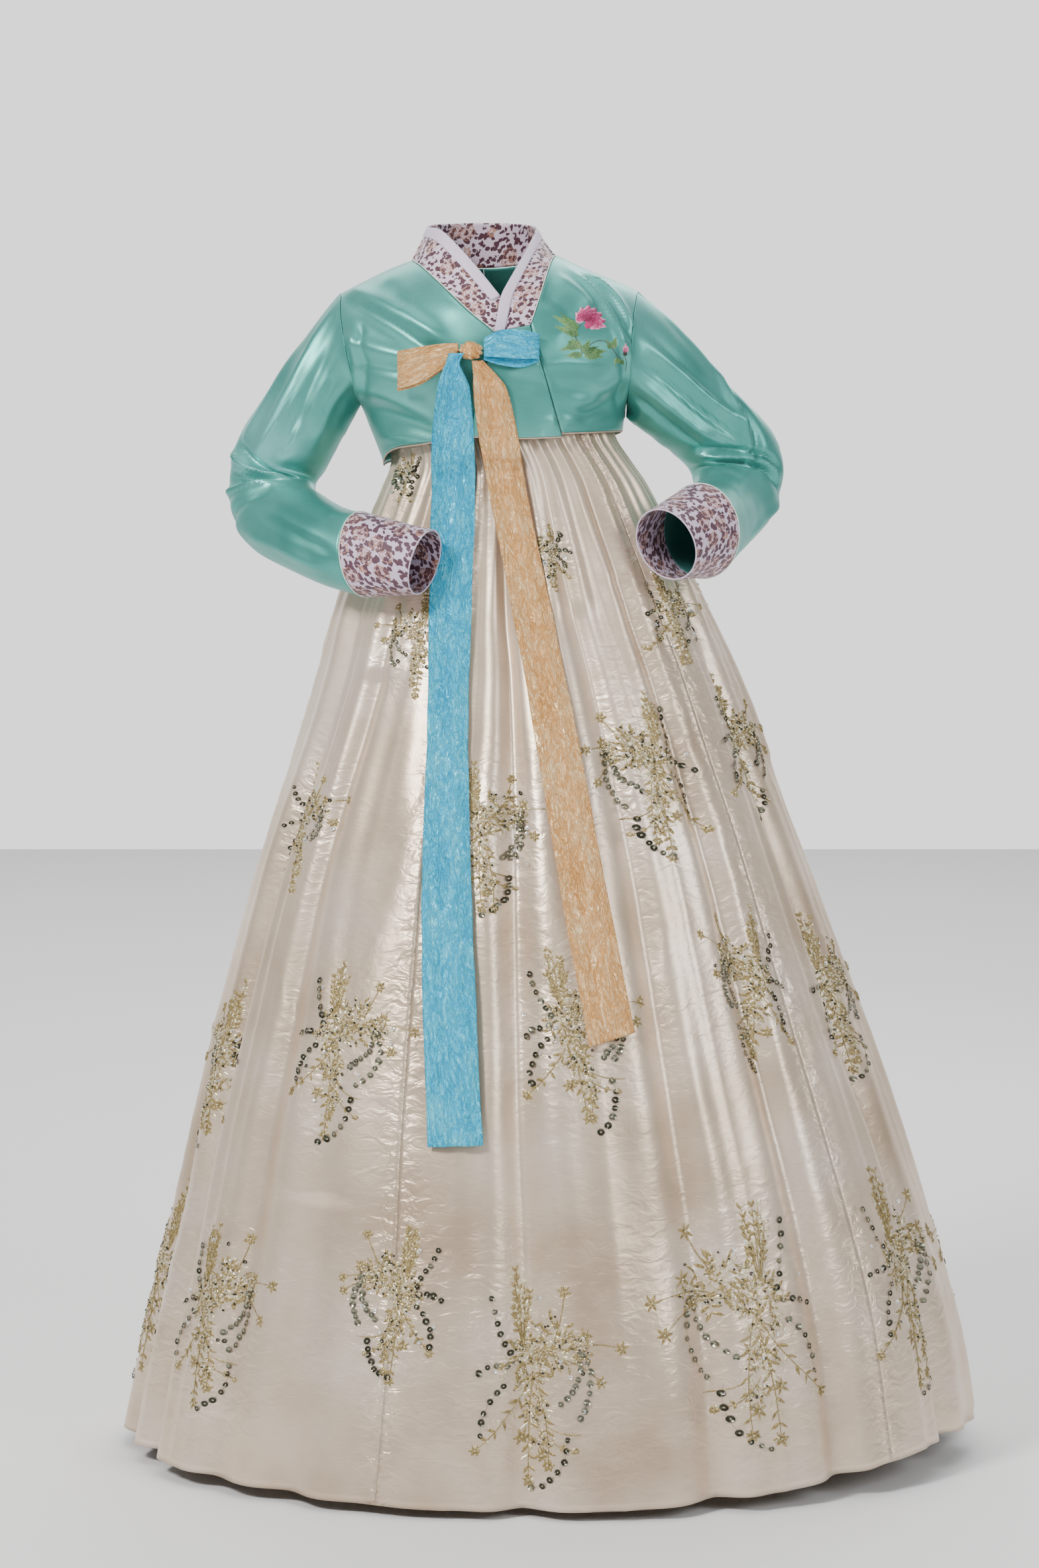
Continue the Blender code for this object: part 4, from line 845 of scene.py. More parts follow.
@dataclass
class JacketForm:
    """The form that the jacket's body lies on, read from the front as places across and up."""
    lap: float = 0.0044
    lap_full_to_x: float = 0.062
    lap_gone_at_x: float = 0.135
    lap_fade_drop: float = 0.045
    chest_round: float = 0.150
    back_round: float = 0.120
    ridge_flat: float = 0.0015
    panel_gap: float = 0.0008

    def ridge(self, x: Array) -> Array:
        """Height of the shoulder ridge over a place."""
        return by_key(SHOULDER_RIDGE, "x", "height", x)

    def cover(self, x: Array, height: Array, depth: str, round_drop: float) -> Array:
        """How far the jacket stands from the shoulders' plane."""
        centre, half_width, power, reach = at_height(TORSO, height, "centre", "half_width", "power", depth)
        across = np.clip(np.abs(x - centre) / half_width, 0.0, 1.0)
        round_share = (1.0 - across ** power) ** (1.0 / power)
        drop = np.clip((self.ridge(x) - height - self.ridge_flat) / round_drop, 0.0, 1.0)
        return reach * round_share * np.sqrt(1.0 - (1.0 - drop) ** 2)

    def lap_depth(self, x: Array, height: Array) -> Array:
        """How far the upper front layer stands outside the lower one."""
        across = 1.0 - smooth_step((x - self.lap_full_to_x) / (self.lap_gone_at_x - self.lap_full_to_x))
        return self.lap * across * smooth_step((self.ridge(x) - height) / self.lap_fade_drop)

    def points(self, x: Array, height: Array, layer: Layer) -> Array:
        """Points of one cover of the body."""
        x, height = np.broadcast_arrays(np.asarray(x, float), np.asarray(height, float))
        if layer is Layer.BACK:
            y = self.cover(x, height, "back_depth", self.back_round) + self.panel_gap / 2
        else:
            y = -self.cover(x, height, "chest_depth", self.chest_round) - self.panel_gap / 2
        if layer is Layer.UPPER_FRONT:
            y = y - self.lap_depth(x, height)
        return np.stack([x, y, height], axis=-1)

    def hem(self, table: Sequence[HemPoint], angle: Array) -> Array:
        """Places of a hem seen from the front, at angles round the body."""
        height = by_key(table, "angle", "height", angle)
        centre, half_width = at_height(TORSO, height, "centre", "half_width")
        return np.stack([centre + half_width * np.sin(np.radians(angle)), height], axis=-1)

    def side_edge(self, armhole: Sequence[Place], hem_height: float, side: int, share: Array) -> Array:
        """Places up a panel's outer edge: the side seam, then the armhole."""
        seam = armhole[0].height - hem_height
        seam_share = seam / (seam + armhole[-1].height - armhole[0].height)
        height = hem_height + seam * share / seam_share
        centre, half_width = at_height(TORSO, height, "centre", "half_width")
        low = np.stack([centre + side * half_width, height], axis=-1)
        up = np.clip((share - seam_share) / (1.0 - seam_share), 0.0, 1.0)
        high = np.stack([by_share(armhole, "x", up), by_share(armhole, "height", up)], axis=-1)
        return np.where((share < seam_share)[:, None], low, high)


@dataclass
class CollarForm:
    """The two edges of the collar, counted in rows of its table."""
    jacket: JacketForm
    neck_gap: float = 0.0010

    def edges(self, station: Array) -> tuple[Array, Array]:
        """The outer and the inner edge at stations along the collar."""
        keys = range(len(COLLAR))
        outer_x, outer_height, *inner_columns = (
            track(keys, [getattr(row, name) for row in COLLAR], station)
            for name in ("outer_x", "outer_height", "inner_x", "inner_y", "inner_height"))
        inner = np.stack(inner_columns, axis=-1)
        ridges = self.ridges()
        upper, lower, back = (self.jacket.points(outer_x, outer_height, layer)
                              for layer in (Layer.UPPER_FRONT, Layer.LOWER_FRONT, Layer.BACK))
        behind = np.where((station > ridges[1])[:, None], lower, back)
        return np.where((station < ridges[0])[:, None], upper, behind), inner

    def ridges(self) -> list[int]:
        """The stations on the shoulder ridge."""
        return [index for index, row in enumerate(COLLAR) if row.face == "ridge"]

    def below(self, station: Array) -> Array:
        """Places just outside the collar, seen from the front."""
        outer, inner = self.edges(station)
        away = unit((outer - inner)[:, [0, 2]])
        return outer[:, [0, 2]] + away * self.neck_gap

    def panel_top(self, start: float, end: float, armhole: Sequence[Place], neck_share: float,
                  share: Array) -> Array:
        """A panel's upper edge: along the collar, then out along the shoulder."""
        near = self.below(start + (end - start) * np.clip(share / neck_share, 0.0, 1.0))
        corner = self.below(np.array([float(end)]))[0]
        tip = armhole[-1]
        x = corner[0] + (tip.x - corner[0]) * np.clip((share - neck_share) / (1.0 - neck_share), 0.0, 1.0)
        height = np.minimum(self.jacket.ridge(x), max(corner[1], tip.height))
        return np.where((share < neck_share)[:, None], near, np.stack([x, height], axis=-1))


def coons(bottom: Array, top: Array, inner: Array, outer: Array, u: Array, v: Array) -> Array:
    """Places of a panel's grid seen from the front, filled in from its four edges.

    Args:
        bottom: places along the hem, for each of u.
        top: places along the neck and shoulder, for each of u.
        inner: places up the front or centre edge, for each of v.
        outer: places up the side, for each of v.
        u: shares across the panel.
        v: shares up it.

    Returns:
        The places as rows, columns and two coordinates.
    """
    s = u[None, :, None]
    t = v[:, None, None]
    across = bottom[None] * (1 - t) + top[None] * t
    along = inner[:, None] * (1 - s) + outer[:, None] * s
    corners = (bottom[0] * (1 - s) + bottom[-1] * s) * (1 - t) + (top[0] * (1 - s) + top[-1] * s) * t
    return across + along - corners


# Folds of the fronts and the back in metres across and above the floor
FRONT_LOWER_FOLDS = table(
    Fold,
    (-0.165, 1.318, -0.06, 1.262, 0.0054, 0.009, 0.004), (-0.16, 1.3, -0.07, 1.245, -0.0051, 0.008, 0.003),
    (-0.168, 1.262, -0.06, 1.235, 0.0042, 0.008, -0.004),
    (-0.16, 1.235, -0.075, 1.222, -0.0038, 0.007, -0.003), (-0.15, 1.205, -0.07, 1.175, 0.0048, 0.01, 0.004),
    (-0.14, 1.18, -0.06, 1.15, -0.0035, 0.009, 0.003), (-0.128, 1.15, -0.06, 1.138, 0.0035, 0.007, 0.002),
    (-0.152, 1.19, -0.158, 1.27, 0.0038, 0.005, 0.002), (-0.144, 1.2, -0.15, 1.275, -0.0035, 0.0045, 0.002),
    (-0.12, 1.325, -0.1, 1.3, -0.0032, 0.007, 0.0),
)
FRONT_UPPER_FOLDS = table(
    Fold,
    (0.088, 1.338, 0.15, 1.246, 0.0064, 0.0045, 0.01), (0.097, 1.335, 0.156, 1.262, -0.0058, 0.0036, 0.009),
    (0.107, 1.334, 0.158, 1.275, 0.0048, 0.003, 0.008), (0.074, 1.33, 0.112, 1.292, 0.0037, 0.0063, 0.004),
    (0.06, 1.312, 0.098, 1.276, -0.0032, 0.0072, 0.003), (0.11, 1.3, 0.07, 1.262, 0.0025, 0.0081, 0.002),
    (0.02, 1.225, 0.11, 1.232, 0.0022, 0.0054, 0.004), (0.03, 1.212, 0.12, 1.196, -0.0022, 0.0072, 0.003),
    (0.15, 1.225, 0.09, 1.185, 0.004, 0.0099, 0.004), (0.146, 1.205, 0.1, 1.166, -0.0032, 0.0081, 0.003),
    (0.148, 1.19, 0.154, 1.265, 0.0032, 0.004, -0.003), (0.141, 1.185, 0.146, 1.25, -0.0037, 0.004, -0.003),
    (0.06, 1.166, 0.135, 1.17, 0.002, 0.0063, 0.0),
)
BACK_FOLDS = table(
    Fold,
    (-0.16, 1.3, -0.06, 1.23, 0.0048, 0.011, 0.006), (-0.155, 1.27, -0.05, 1.205, -0.0045, 0.01, 0.006),
    (0.15, 1.3, 0.05, 1.235, 0.0048, 0.011, -0.006), (0.148, 1.265, 0.045, 1.21, -0.0045, 0.01, -0.006),
    (-0.15, 1.2, -0.14, 1.29, 0.0042, 0.006, 0.002), (0.142, 1.195, 0.138, 1.285, 0.0042, 0.006, -0.002),
    (-0.12, 1.18, -0.03, 1.16, 0.0033, 0.009, 0.004), (0.12, 1.19, 0.03, 1.165, 0.0033, 0.009, -0.004),
    (-0.02, 1.3, 0.02, 1.22, -0.003, 0.011, 0.002), (-0.08, 1.33, -0.03, 1.3, 0.003, 0.008, 0.002),
    (0.07, 1.33, 0.03, 1.3, 0.003, 0.008, -0.002),
)


@dataclass
class JacketBody:
    """The body of the jacket: two halves of the back, the lower front, the upper front and its overlap."""
    silk: bpy.types.Material
    piping: bpy.types.Material
    form: JacketForm = field(default_factory=JacketForm)
    wall: float = 0.0010
    columns: int = 54
    rows: int = 62
    seam_angle: float = 31.0
    overlap_angle: float = -13.0
    lower_end_angle: float = 14.0
    side_angle: float = 90.0
    right_neck_share: float = 0.62
    left_neck_share: float = 0.55
    back_neck_share: float = 0.50
    piping_radius: float = 0.0009
    seam_gap: float = 0.0003
    seam_radius: float = 0.0006
    crowding: float = 0.35
    unevenness: float = 0.0007
    seam_middle: tuple[float, float, float] = (0.0, 0.0, 1.2)

    def __post_init__(self) -> None:
        """Works out what the panels share."""
        self.collar = CollarForm(self.form)
        even = shares(self.columns)
        close_at_ends = (1 - np.cos(np.pi * np.arange(self.columns + 1) / self.columns)) / 2
        self.u = close_at_ends * self.crowding + even * (1 - self.crowding)
        self.v = shares(self.rows)
        self.noise = SoftNoise(7)
        self.shift = np.array([self.seam_gap / 2, 0.0])

    def angle_at(self, share: Array, start: float, end: float) -> Array:
        """Angles round the body at even shares of the breadth between two angles."""
        low, high = math.sin(math.radians(start)), math.sin(math.radians(end))
        return np.degrees(np.arcsin(np.clip(low + (high - low) * share, -1.0, 1.0)))

    def spread(self, start: float, end: float) -> Array:
        """Shares of a panel's breadth at even angles round the body."""
        low, high = math.sin(math.radians(start)), math.sin(math.radians(end))
        angles = start + (end - start) * np.arange(self.columns + 1) / self.columns
        return (np.sin(np.radians(angles)) - low) / (high - low)

    def panel(self, name: str, places: Array, layer: Layer, folds: Sequence[Fold],
              rests_on: Sequence[str], free: float = 1.0) -> Array:
        """Makes one panel and hides the node that it stands for.

        Args:
            name: the node that the panel stands for.
            places: the panel's grid seen from the front.
            layer: the cover of the body it lies on.
            folds: its folds.
            rests_on: what it lies on.
            free: how much of the folds' inward half is kept.

        Returns:
            The points of the panel's outer face.
        """
        x, height = places[..., 0], places[..., 1]
        points = self.form.points(x, height, layer)
        normals = grid_normals(points)
        outward = out_of(points, normals, JACKET_INSIDE)
        lift = fold_height(folds, x, height)
        lift = lift + self.unevenness * self.noise.at(x, height, 0.021, 0.017)
        lift = np.where(lift < 0, lift * free, lift)
        edge = smooth_step(self.u / 0.05)[None] * smooth_step((1 - self.u) / 0.05)[None]
        edge = edge * (0.35 + 0.65 * smooth_step(self.v / 0.08)[:, None])
        edge = edge * smooth_step((1 - self.v) / 0.06)[:, None]
        points = points + normals * outward * (lift * edge)[..., None]
        shell = Shell(name + "_silk", points, self.wall, JACKET_INSIDE)
        shell.stand_for(name, self.silk, "sea_green_silk", "draped", rests_on)
        return points

    def build(self) -> Array:
        """Makes the five panels and the piping along their hems; returns the left front's outer face."""
        form, collar, u, v = self.form, self.collar, self.u, self.v
        last = float(len(COLLAR) - 1)
        ridges = collar.ridges()
        nape = sum(ridges) / 2
        left_hem, right_hem = JACKET_HEM_BACK[0].height, JACKET_HEM_BACK[-1].height
        hems: dict[str, Array] = {}

        cols = self.spread(self.lower_end_angle, -self.side_angle)
        start = form.hem(JACKET_HEM_RIGHT_FRONT, np.array(self.lower_end_angle))
        places = coons(
            form.hem(JACKET_HEM_RIGHT_FRONT, self.angle_at(cols, self.lower_end_angle, -self.side_angle)),
            collar.panel_top(last, ridges[1], ARMHOLE_VIEWER_LEFT, self.right_neck_share, cols),
            start + (collar.below(np.array([last]))[0] - start) * v[:, None],
            form.side_edge(ARMHOLE_VIEWER_LEFT, left_hem, -1, v), cols, v)
        hems["right_front"] = self.panel(
            "jacket_right_front", places, Layer.LOWER_FRONT, FRONT_LOWER_FOLDS, ["chest_band"])[0]

        outer, inner = collar.edges(np.array([0.0, 0.25]))
        top_inner, top_outer = (edge[0][[0, 2]] + unit((edge[0] - edge[1])[[0, 2]]) * self.seam_gap
                                for edge in (inner, outer))
        foot = form.hem(JACKET_HEM_OVERLAP, np.array(self.seam_angle))
        first = form.hem(JACKET_HEM_OVERLAP, np.array(self.overlap_angle))
        even = shares(self.columns)
        turn = self.overlap_angle + (self.seam_angle - self.overlap_angle) * even
        places = coons(
            form.hem(JACKET_HEM_OVERLAP, turn) - self.shift * even[:, None],
            top_inner + (top_outer - top_inner) * even[:, None] - self.shift * even[:, None],
            first + (top_inner - first) * v[:, None],
            foot + (top_outer - foot) * v[:, None] - self.shift, even, v)
        hems["overlap"] = self.panel(
            "jacket_overlap", places, Layer.UPPER_FRONT, FRONT_UPPER_FOLDS,
            ["jacket_right_front_silk"], 0.5)[0]

        cols = self.spread(self.seam_angle, self.side_angle)
        start = form.hem(JACKET_HEM_LEFT_FRONT, np.array(self.seam_angle))
        inward = self.shift * (1 - cols[:, None])
        places = coons(
            form.hem(JACKET_HEM_LEFT_FRONT, self.angle_at(cols, self.seam_angle, self.side_angle)) + inward,
            collar.panel_top(0, ridges[0], ARMHOLE_VIEWER_RIGHT, self.left_neck_share, cols) + inward,
            start + (collar.below(np.array([0.0]))[0] - start) * v[:, None] + self.shift,
            form.side_edge(ARMHOLE_VIEWER_RIGHT, right_hem, 1, v), cols, v)
        left_front = self.panel(
            "jacket_left_front", places, Layer.UPPER_FRONT, FRONT_UPPER_FOLDS, ["chest_band"], 0.8)
        hems["left_front"] = left_front[0]

        for name, side, armhole, ridge in (("jacket_right_back", -1, ARMHOLE_VIEWER_LEFT, ridges[1]),
                                           ("jacket_left_back", 1, ARMHOLE_VIEWER_RIGHT, ridges[0])):
            side_height = left_hem if side < 0 else right_hem
            cols = self.spread(0, self.side_angle)
            shift = self.shift * side
            inward = shift * (1 - cols[:, None])
            start = form.hem(JACKET_HEM_BACK, np.array(0.0))
            places = coons(
                form.hem(JACKET_HEM_BACK, side * self.angle_at(cols, 0, self.side_angle)) + inward,
                collar.panel_top(nape, ridge, armhole, self.back_neck_share, cols) + inward,
                start + (collar.below(np.array([nape]))[0] - start) * v[:, None] + shift,
                form.side_edge(armhole, side_height, side, v), cols, v)
            back = self.panel(name, places, Layer.BACK, BACK_FOLDS, ["chest_band"])
            hems[name.removeprefix("jacket_")] = back[0]
        edge = left_front[:, 0]
        seam = edge - self.level_way(edge - np.array(self.seam_middle)) * self.seam_radius
        Cording("overlap_seam", seam[1:-1], self.seam_radius).dress(self.silk, "sea_green_silk")
        self.pipe(hems)
        return left_front

    def level_way(self, way: Array) -> Array:
        """The level part of directions."""
        return unit(way) * np.array([1.0, 1.0, 0.0])

    def pipe(self, hems: dict[str, Array]) -> None:
        """Sews a thin piping along the hem of each panel.

        Args:
            hems: the lowest row of points of each panel.
        """
        for name, line in hems.items():
            drop = np.array([0.0, 0.0, -self.piping_radius * 0.9])
            inward = self.level_way(np.array(self.seam_middle) - line) * self.wall / 2
            cord = Cording("hem_piping_" + name, line + drop + inward, self.piping_radius)
            cord.dress(self.piping, "sea_green_silk")


# ---------------------------------------------------------------- collar
@dataclass
class Collar:
    """The brocade collar, its pale neck strip and the fine piping along its outer edge."""
    brocade: bpy.types.Material
    strip_silk: bpy.types.Material
    edging: bpy.types.Material
    form: CollarForm
    wall: float = 0.0011
    strip_share: float = 0.30
    strip_lift: float = 0.0014
    steps: int = 260
    columns: int = 22
    crown: float = 0.0006
    last_strip_share: float = 0.88
    strip_columns: int = 8
    strip_wall: float = 0.0009
    softness: float = 0.0005
    edging_radius: float = 0.0007

    def build(self) -> None:
        """Makes the three pieces."""
        outer, inner = self.form.edges(shares(self.steps) * (len(COLLAR) - 1))
        share = shares(self.columns)
        grid = inner[:, None] + (outer - inner)[:, None] * share[None, :, None]
        normals = grid_normals(grid)
        normals = normals * out_of(grid, normals, NECK_INSIDE)
        lengths = np.concatenate([[0.0], np.cumsum(np.linalg.norm(np.diff(outer, axis=0), axis=1))])
        soft = self.softness * SoftNoise(11).at(share[None] * 0.045, lengths[:, None], 0.020, 0.030)
        lift = (self.crown * np.sin(np.pi * share)[None] + soft) * smooth_step(share / 0.1)[None]
        band = Shell("collar_brocade", grid + normals * lift[..., None], self.wall, COLLAR_INSIDE)
        band.stand_for("collar", self.brocade, "pale_brocade", "stretched",
                       ["jacket_left_front_silk", "jacket_right_front_silk"])

        count = int(self.steps * self.last_strip_share) + 1
        across = shares(self.strip_columns)
        places = (across * self.strip_share)[None, :, None]
        strip = inner[:count, None] + (outer - inner)[:count, None] * places
        puff = self.strip_lift + self.softness * np.sin(np.pi * across)
        strip = strip + normals[:count, :self.strip_columns + 1] * puff[None, :, None]
        tape = Shell("collar_strip_silk", strip, self.strip_wall, COLLAR_INSIDE)
        tape.stand_for("collar_strip", self.strip_silk, "lavender_white_silk", "stretched",
                       ["collar_brocade"])

        line = outer + normals[:, -1] * self.softness
        Cording("collar_edging", line[2:-2], self.edging_radius).dress(self.edging, "lavender_white_silk")


# ---------------------------------------------------------------- sleeves
# Folds of the sleeves: metres along the sleeve from its armhole, and metres round it from its outside
SLEEVE_LEFT_FOLDS = table(
    Fold,
    (0.15, 0.02, 0.215, 0.12, -0.009, 0.0048, 0.006), (0.165, 0.015, 0.225, 0.105, 0.008, 0.004, 0.006),
    (0.185, 0.01, 0.232, 0.1, -0.0076, 0.004, 0.004), (0.205, 0.0, 0.24, 0.09, 0.0072, 0.0044, 0.004),
    (0.235, -0.01, 0.255, 0.08, -0.0045, 0.0057, 0.003), (0.01, 0.03, 0.15, 0.06, 0.0042, 0.0076, 0.006),
    (0.02, 0.065, 0.15, 0.085, -0.0042, 0.0076, 0.004), (0.01, 0.11, 0.11, 0.12, 0.0042, 0.0076, -0.004),
    (0.06, 0.01, 0.15, 0.03, 0.0032, 0.0085, 0.004), (0.27, 0.02, 0.34, 0.06, 0.0035, 0.0076, 0.004),
    (0.28, 0.06, 0.345, 0.09, -0.0032, 0.0076, 0.004), (0.15, -0.02, 0.225, -0.11, -0.0064, 0.0066, -0.006),
    (0.17, -0.015, 0.235, -0.1, 0.0058, 0.0057, -0.006), (0.02, -0.05, 0.15, -0.08, 0.0042, 0.0085, -0.004),
)
SLEEVE_RIGHT_FOLDS = table(
    Fold,
    (0.01, 0.07, 0.13, 0.045, 0.0062, 0.0048, 0.006), (0.01, 0.088, 0.135, 0.066, -0.0064, 0.0044, 0.005),
    (0.012, 0.106, 0.135, 0.088, 0.006, 0.0044, 0.004), (0.015, 0.122, 0.13, 0.108, -0.0056, 0.0044, 0.004),
    (0.09, 0.02, 0.19, 0.075, 0.0067, 0.0049, 0.006), (0.11, 0.015, 0.205, 0.065, -0.0067, 0.0049, 0.006),
    (0.14, 0.11, 0.195, 0.02, -0.0078, 0.0049, -0.004), (0.155, 0.115, 0.21, 0.025, 0.0074, 0.004, -0.004),
    (0.175, 0.11, 0.222, 0.03, -0.0074, 0.004, -0.003), (0.02, 0.01, 0.1, 0.015, 0.0034, 0.0072, 0.004),
    (0.235, 0.0, 0.3, 0.04, 0.0037, 0.0063, 0.004), (0.15, -0.02, 0.22, -0.11, -0.0062, 0.0063, -0.006),
    (0.17, -0.015, 0.23, -0.1, 0.0056, 0.0054, -0.006), (0.02, -0.05, 0.14, -0.08, 0.004, 0.0081, -0.004),
)


@dataclass
class Sleeve:
    """A sleeve bent at the elbow, and its brocade cuff."""
    name: str
    cuff_name: str
    rings: list[SleeveRing]
    armhole: list[Place]
    creases: list[Crease]
    folds: list[Fold]
    cuff_end: SleeveRing
    side: int
    form: JacketForm
    silk: bpy.types.Material
    brocade: bpy.types.Material
    edging: bpy.types.Material
    fold_length: float = 0.36
    unevenness: float = 0.0008
    wall: float = 0.0010
    columns: int = 90
    steps: int = 96
    look: float = 0.08
    join_share: float = 0.10
    armhole_gap: float = 0.0010
    cuff_gap: float = 0.0009
    round_radius: float = 0.055
    cuff_wall: float = 0.0013
    cuff_steps: int = 30
    cuff_unevenness: float = 0.0007
    seam_radius: float = 0.0007
    seam_rise: float = 0.0002
    rim_radius: float = 0.0009
    rim_sink: float = 0.0006

    def frames(self, rings: Sequence[SleeveRing], share: Array) -> tuple[Array, Array, Array, Array]:
        """The middles of rings, their two half axes and their directions along the sleeve."""
        def middle(at: Array) -> Array:
            """The middles of rings at shares along the sleeve."""
            x = (by_share(rings, "inner_x", at) + by_share(rings, "outer_x", at)) / 2
            height = (by_share(rings, "inner_height", at) + by_share(rings, "outer_height", at)) / 2
            return np.stack([x, by_share(rings, "y", at), height], axis=-1)

        out_x = (by_share(rings, "outer_x", share) - by_share(rings, "inner_x", share)) / 2
        out_height = (by_share(rings, "outer_height", share) - by_share(rings, "inner_height", share)) / 2
        outward = np.stack([out_x, np.zeros_like(out_x), out_height], axis=-1)
        along = unit(middle(np.clip(share + self.look, 0, 1)) - middle(np.clip(share - self.look, 0, 1)))
        forward = unit(np.cross(along, unit(outward))) * self.side
        return middle(share), outward, forward * by_share(rings, "half_depth", share)[:, None], along

    def armhole_loop(self, angle: Array) -> Array:
        """Points round the armhole, just outside the body's edge."""
        up = (1 + np.cos(angle)) / 2
        x, height = by_share(self.armhole, "x", up), by_share(self.armhole, "height", up)
        front = self.form.points(x, height, Layer.LOWER_FRONT)
        back = self.form.points(x, height, Layer.BACK)
        loop = np.where((np.sin(angle) > 0)[:, None], front, back)
        loop[np.abs(np.sin(angle)) < 1e-6, 1] = 0.0
        return loop + np.array([self.side * self.armhole_gap, 0.0, 0.0])

    def build(self) -> None:
        """Makes the sleeve, its cuff and the fine edge between them."""
        share = shares(self.steps)
        turn = turns(self.columns)
        middle, outward, forward, _ = self.frames(self.rings, share)
        spoke = spokes(outward, forward, turn)
        degrees = np.degrees(turn)
        dent = np.zeros((len(share), len(turn)))
        for crease in self.creases:
            off = (degrees[None] - crease.angle + 180) % 360 - 180
            down = (share[:, None] - crease.along) / crease.half_length
            dent += crease.depth * np.exp(-((off / crease.half_angle) ** 2 + down ** 2))
        round_place = ((turn + np.pi) % (2 * np.pi) - np.pi) * self.round_radius
        along = (share * self.fold_length)[:, None]
        lift = fold_height(self.folds, along, round_place[None])
        lift = lift + self.unevenness * SoftNoise(21 + self.side).at(round_place[None], along, 0.023, 0.019)
        lift = lift * smooth_step(share / 0.05)[:, None] * smooth_step((1 - share) / 0.04)[:, None]
        grid = middle[:, None] + spoke + unit(spoke) * (lift - dent)[..., None]
        join = smooth_step(share / self.join_share)[:, None, None]
        grid = self.armhole_loop(turn)[None] * (1 - join) + grid * join
        shell = Shell(self.name + "_silk", grid, self.wall, middle[len(share) // 2], closed=True)
        shell.stand_for(self.name, self.silk, "sea_green_silk", "draped", [self.cuff_name + "_brocade"])
        self.build_cuff(turn)

    def build_cuff(self, turn: Array) -> None:
        """Makes the cuff band from the sleeve's end to the wrist.

        Args:
            turn: the angles of the points round it.
        """
        middle, outward, forward, along = self.frames(self.rings, np.array([1.0]))
        first = middle + spokes(outward, forward, turn)[0] + along * self.cuff_gap
        middles, outs, fronts, _ = self.frames([self.rings[-1], self.cuff_end], np.array([0.0, 1.0]))
        last = middles[1] + spokes(outs, fronts, turn)[1]
        share = shares(self.cuff_steps)
        grid = first[None] + (last - first)[None] * share[:, None, None]
        spoke = unit(grid - (middle[0] + (middles[1] - middle[0]) * share[:, None])[:, None])
        noise = SoftNoise(31 + self.side)
        wave = self.cuff_unevenness * noise.at(turn[None] * 0.04, share[:, None] * 0.08, 0.022, 0.03)
        grid = grid + spoke * (wave * np.sin(np.pi * share)[:, None])[..., None]
        centre = (middle[0] + middles[1]) / 2
        band = Shell(self.cuff_name + "_brocade", grid, self.cuff_wall, centre, closed=True)
        band.stand_for(self.cuff_name, self.brocade, "pale_brocade", "stretched", [self.name + "_silk"])
        seam = first + spoke[0] * self.seam_rise - along * self.cuff_gap / 2
        cord = Cording(self.cuff_name + "_seam_edging", seam, self.seam_radius, closed=True)
        cord.dress(self.edging, "lavender_white_silk")
        mouth = last - spoke[-1] * self.rim_sink
        rim = Cording(self.cuff_name + "_rolled_edge", mouth, self.rim_radius, closed=True)
        rim.dress(self.brocade, "pale_brocade")


# ---------------------------------------------------------------- skirt
class Spray(NamedTuple):
    """An embroidered spray on the skirt: its place, size, lean in degrees, and 1 or -1 for its hand."""
    angle: float
    height: float
    size: float
    lean: float
    hand: int


SPRAYS = table(
    Spray,
    (-59, 1.105, 0.06, 0, 1), (-33, 0.925, 0.115, 6, 1), (54, 0.95, 0.11, -8, -1), (10, 1.02, 0.07, 4, 1),
    (95, 1.0, 0.09, 0, 1), (-62, 0.714, 0.128, 8, -1), (-10, 0.715, 0.161, 0, -1), (29, 0.783, 0.171, 4, 1),
    (68, 0.8, 0.15, -10, -1), (-76, 0.443, 0.161, 4, 1), (-36, 0.484, 0.177, -6, -1),
    (7, 0.505, 0.182, 2, -1), (43, 0.545, 0.171, -10, 1), (72, 0.52, 0.171, -6, -1),
    (-56, 0.185, 0.192, 2, -1), (-23, 0.225, 0.158, 0, 1), (-2, 0.15, 0.215, 0, -1), (28, 0.198, 0.249, 3, 1),
    (63, 0.205, 0.226, -4, -1), (-88, 0.19, 0.203, 0, 1), (95, 0.2, 0.215, 2, 1), (125, 0.17, 0.226, -3, -1),
    (154, 0.21, 0.215, 4, 1), (181, 0.16, 0.226, 0, -1), (209, 0.2, 0.215, 3, 1), (238, 0.175, 0.226, -2, -1),
    (103, 0.53, 0.171, 4, -1), (137, 0.495, 0.177, -5, 1), (170, 0.54, 0.171, 3, -1), (203, 0.5, 0.177, 0, 1),
    (238, 0.52, 0.166, 5, -1), (118, 0.79, 0.15, 4, 1), (158, 0.75, 0.161, -4, -1), (199, 0.79, 0.155, 3, 1),
    (240, 0.74, 0.15, 0, -1), (135, 0.99, 0.1, 0, -1), (185, 0.96, 0.11, 4, 1), (228, 0.99, 0.1, -4, -1),
)


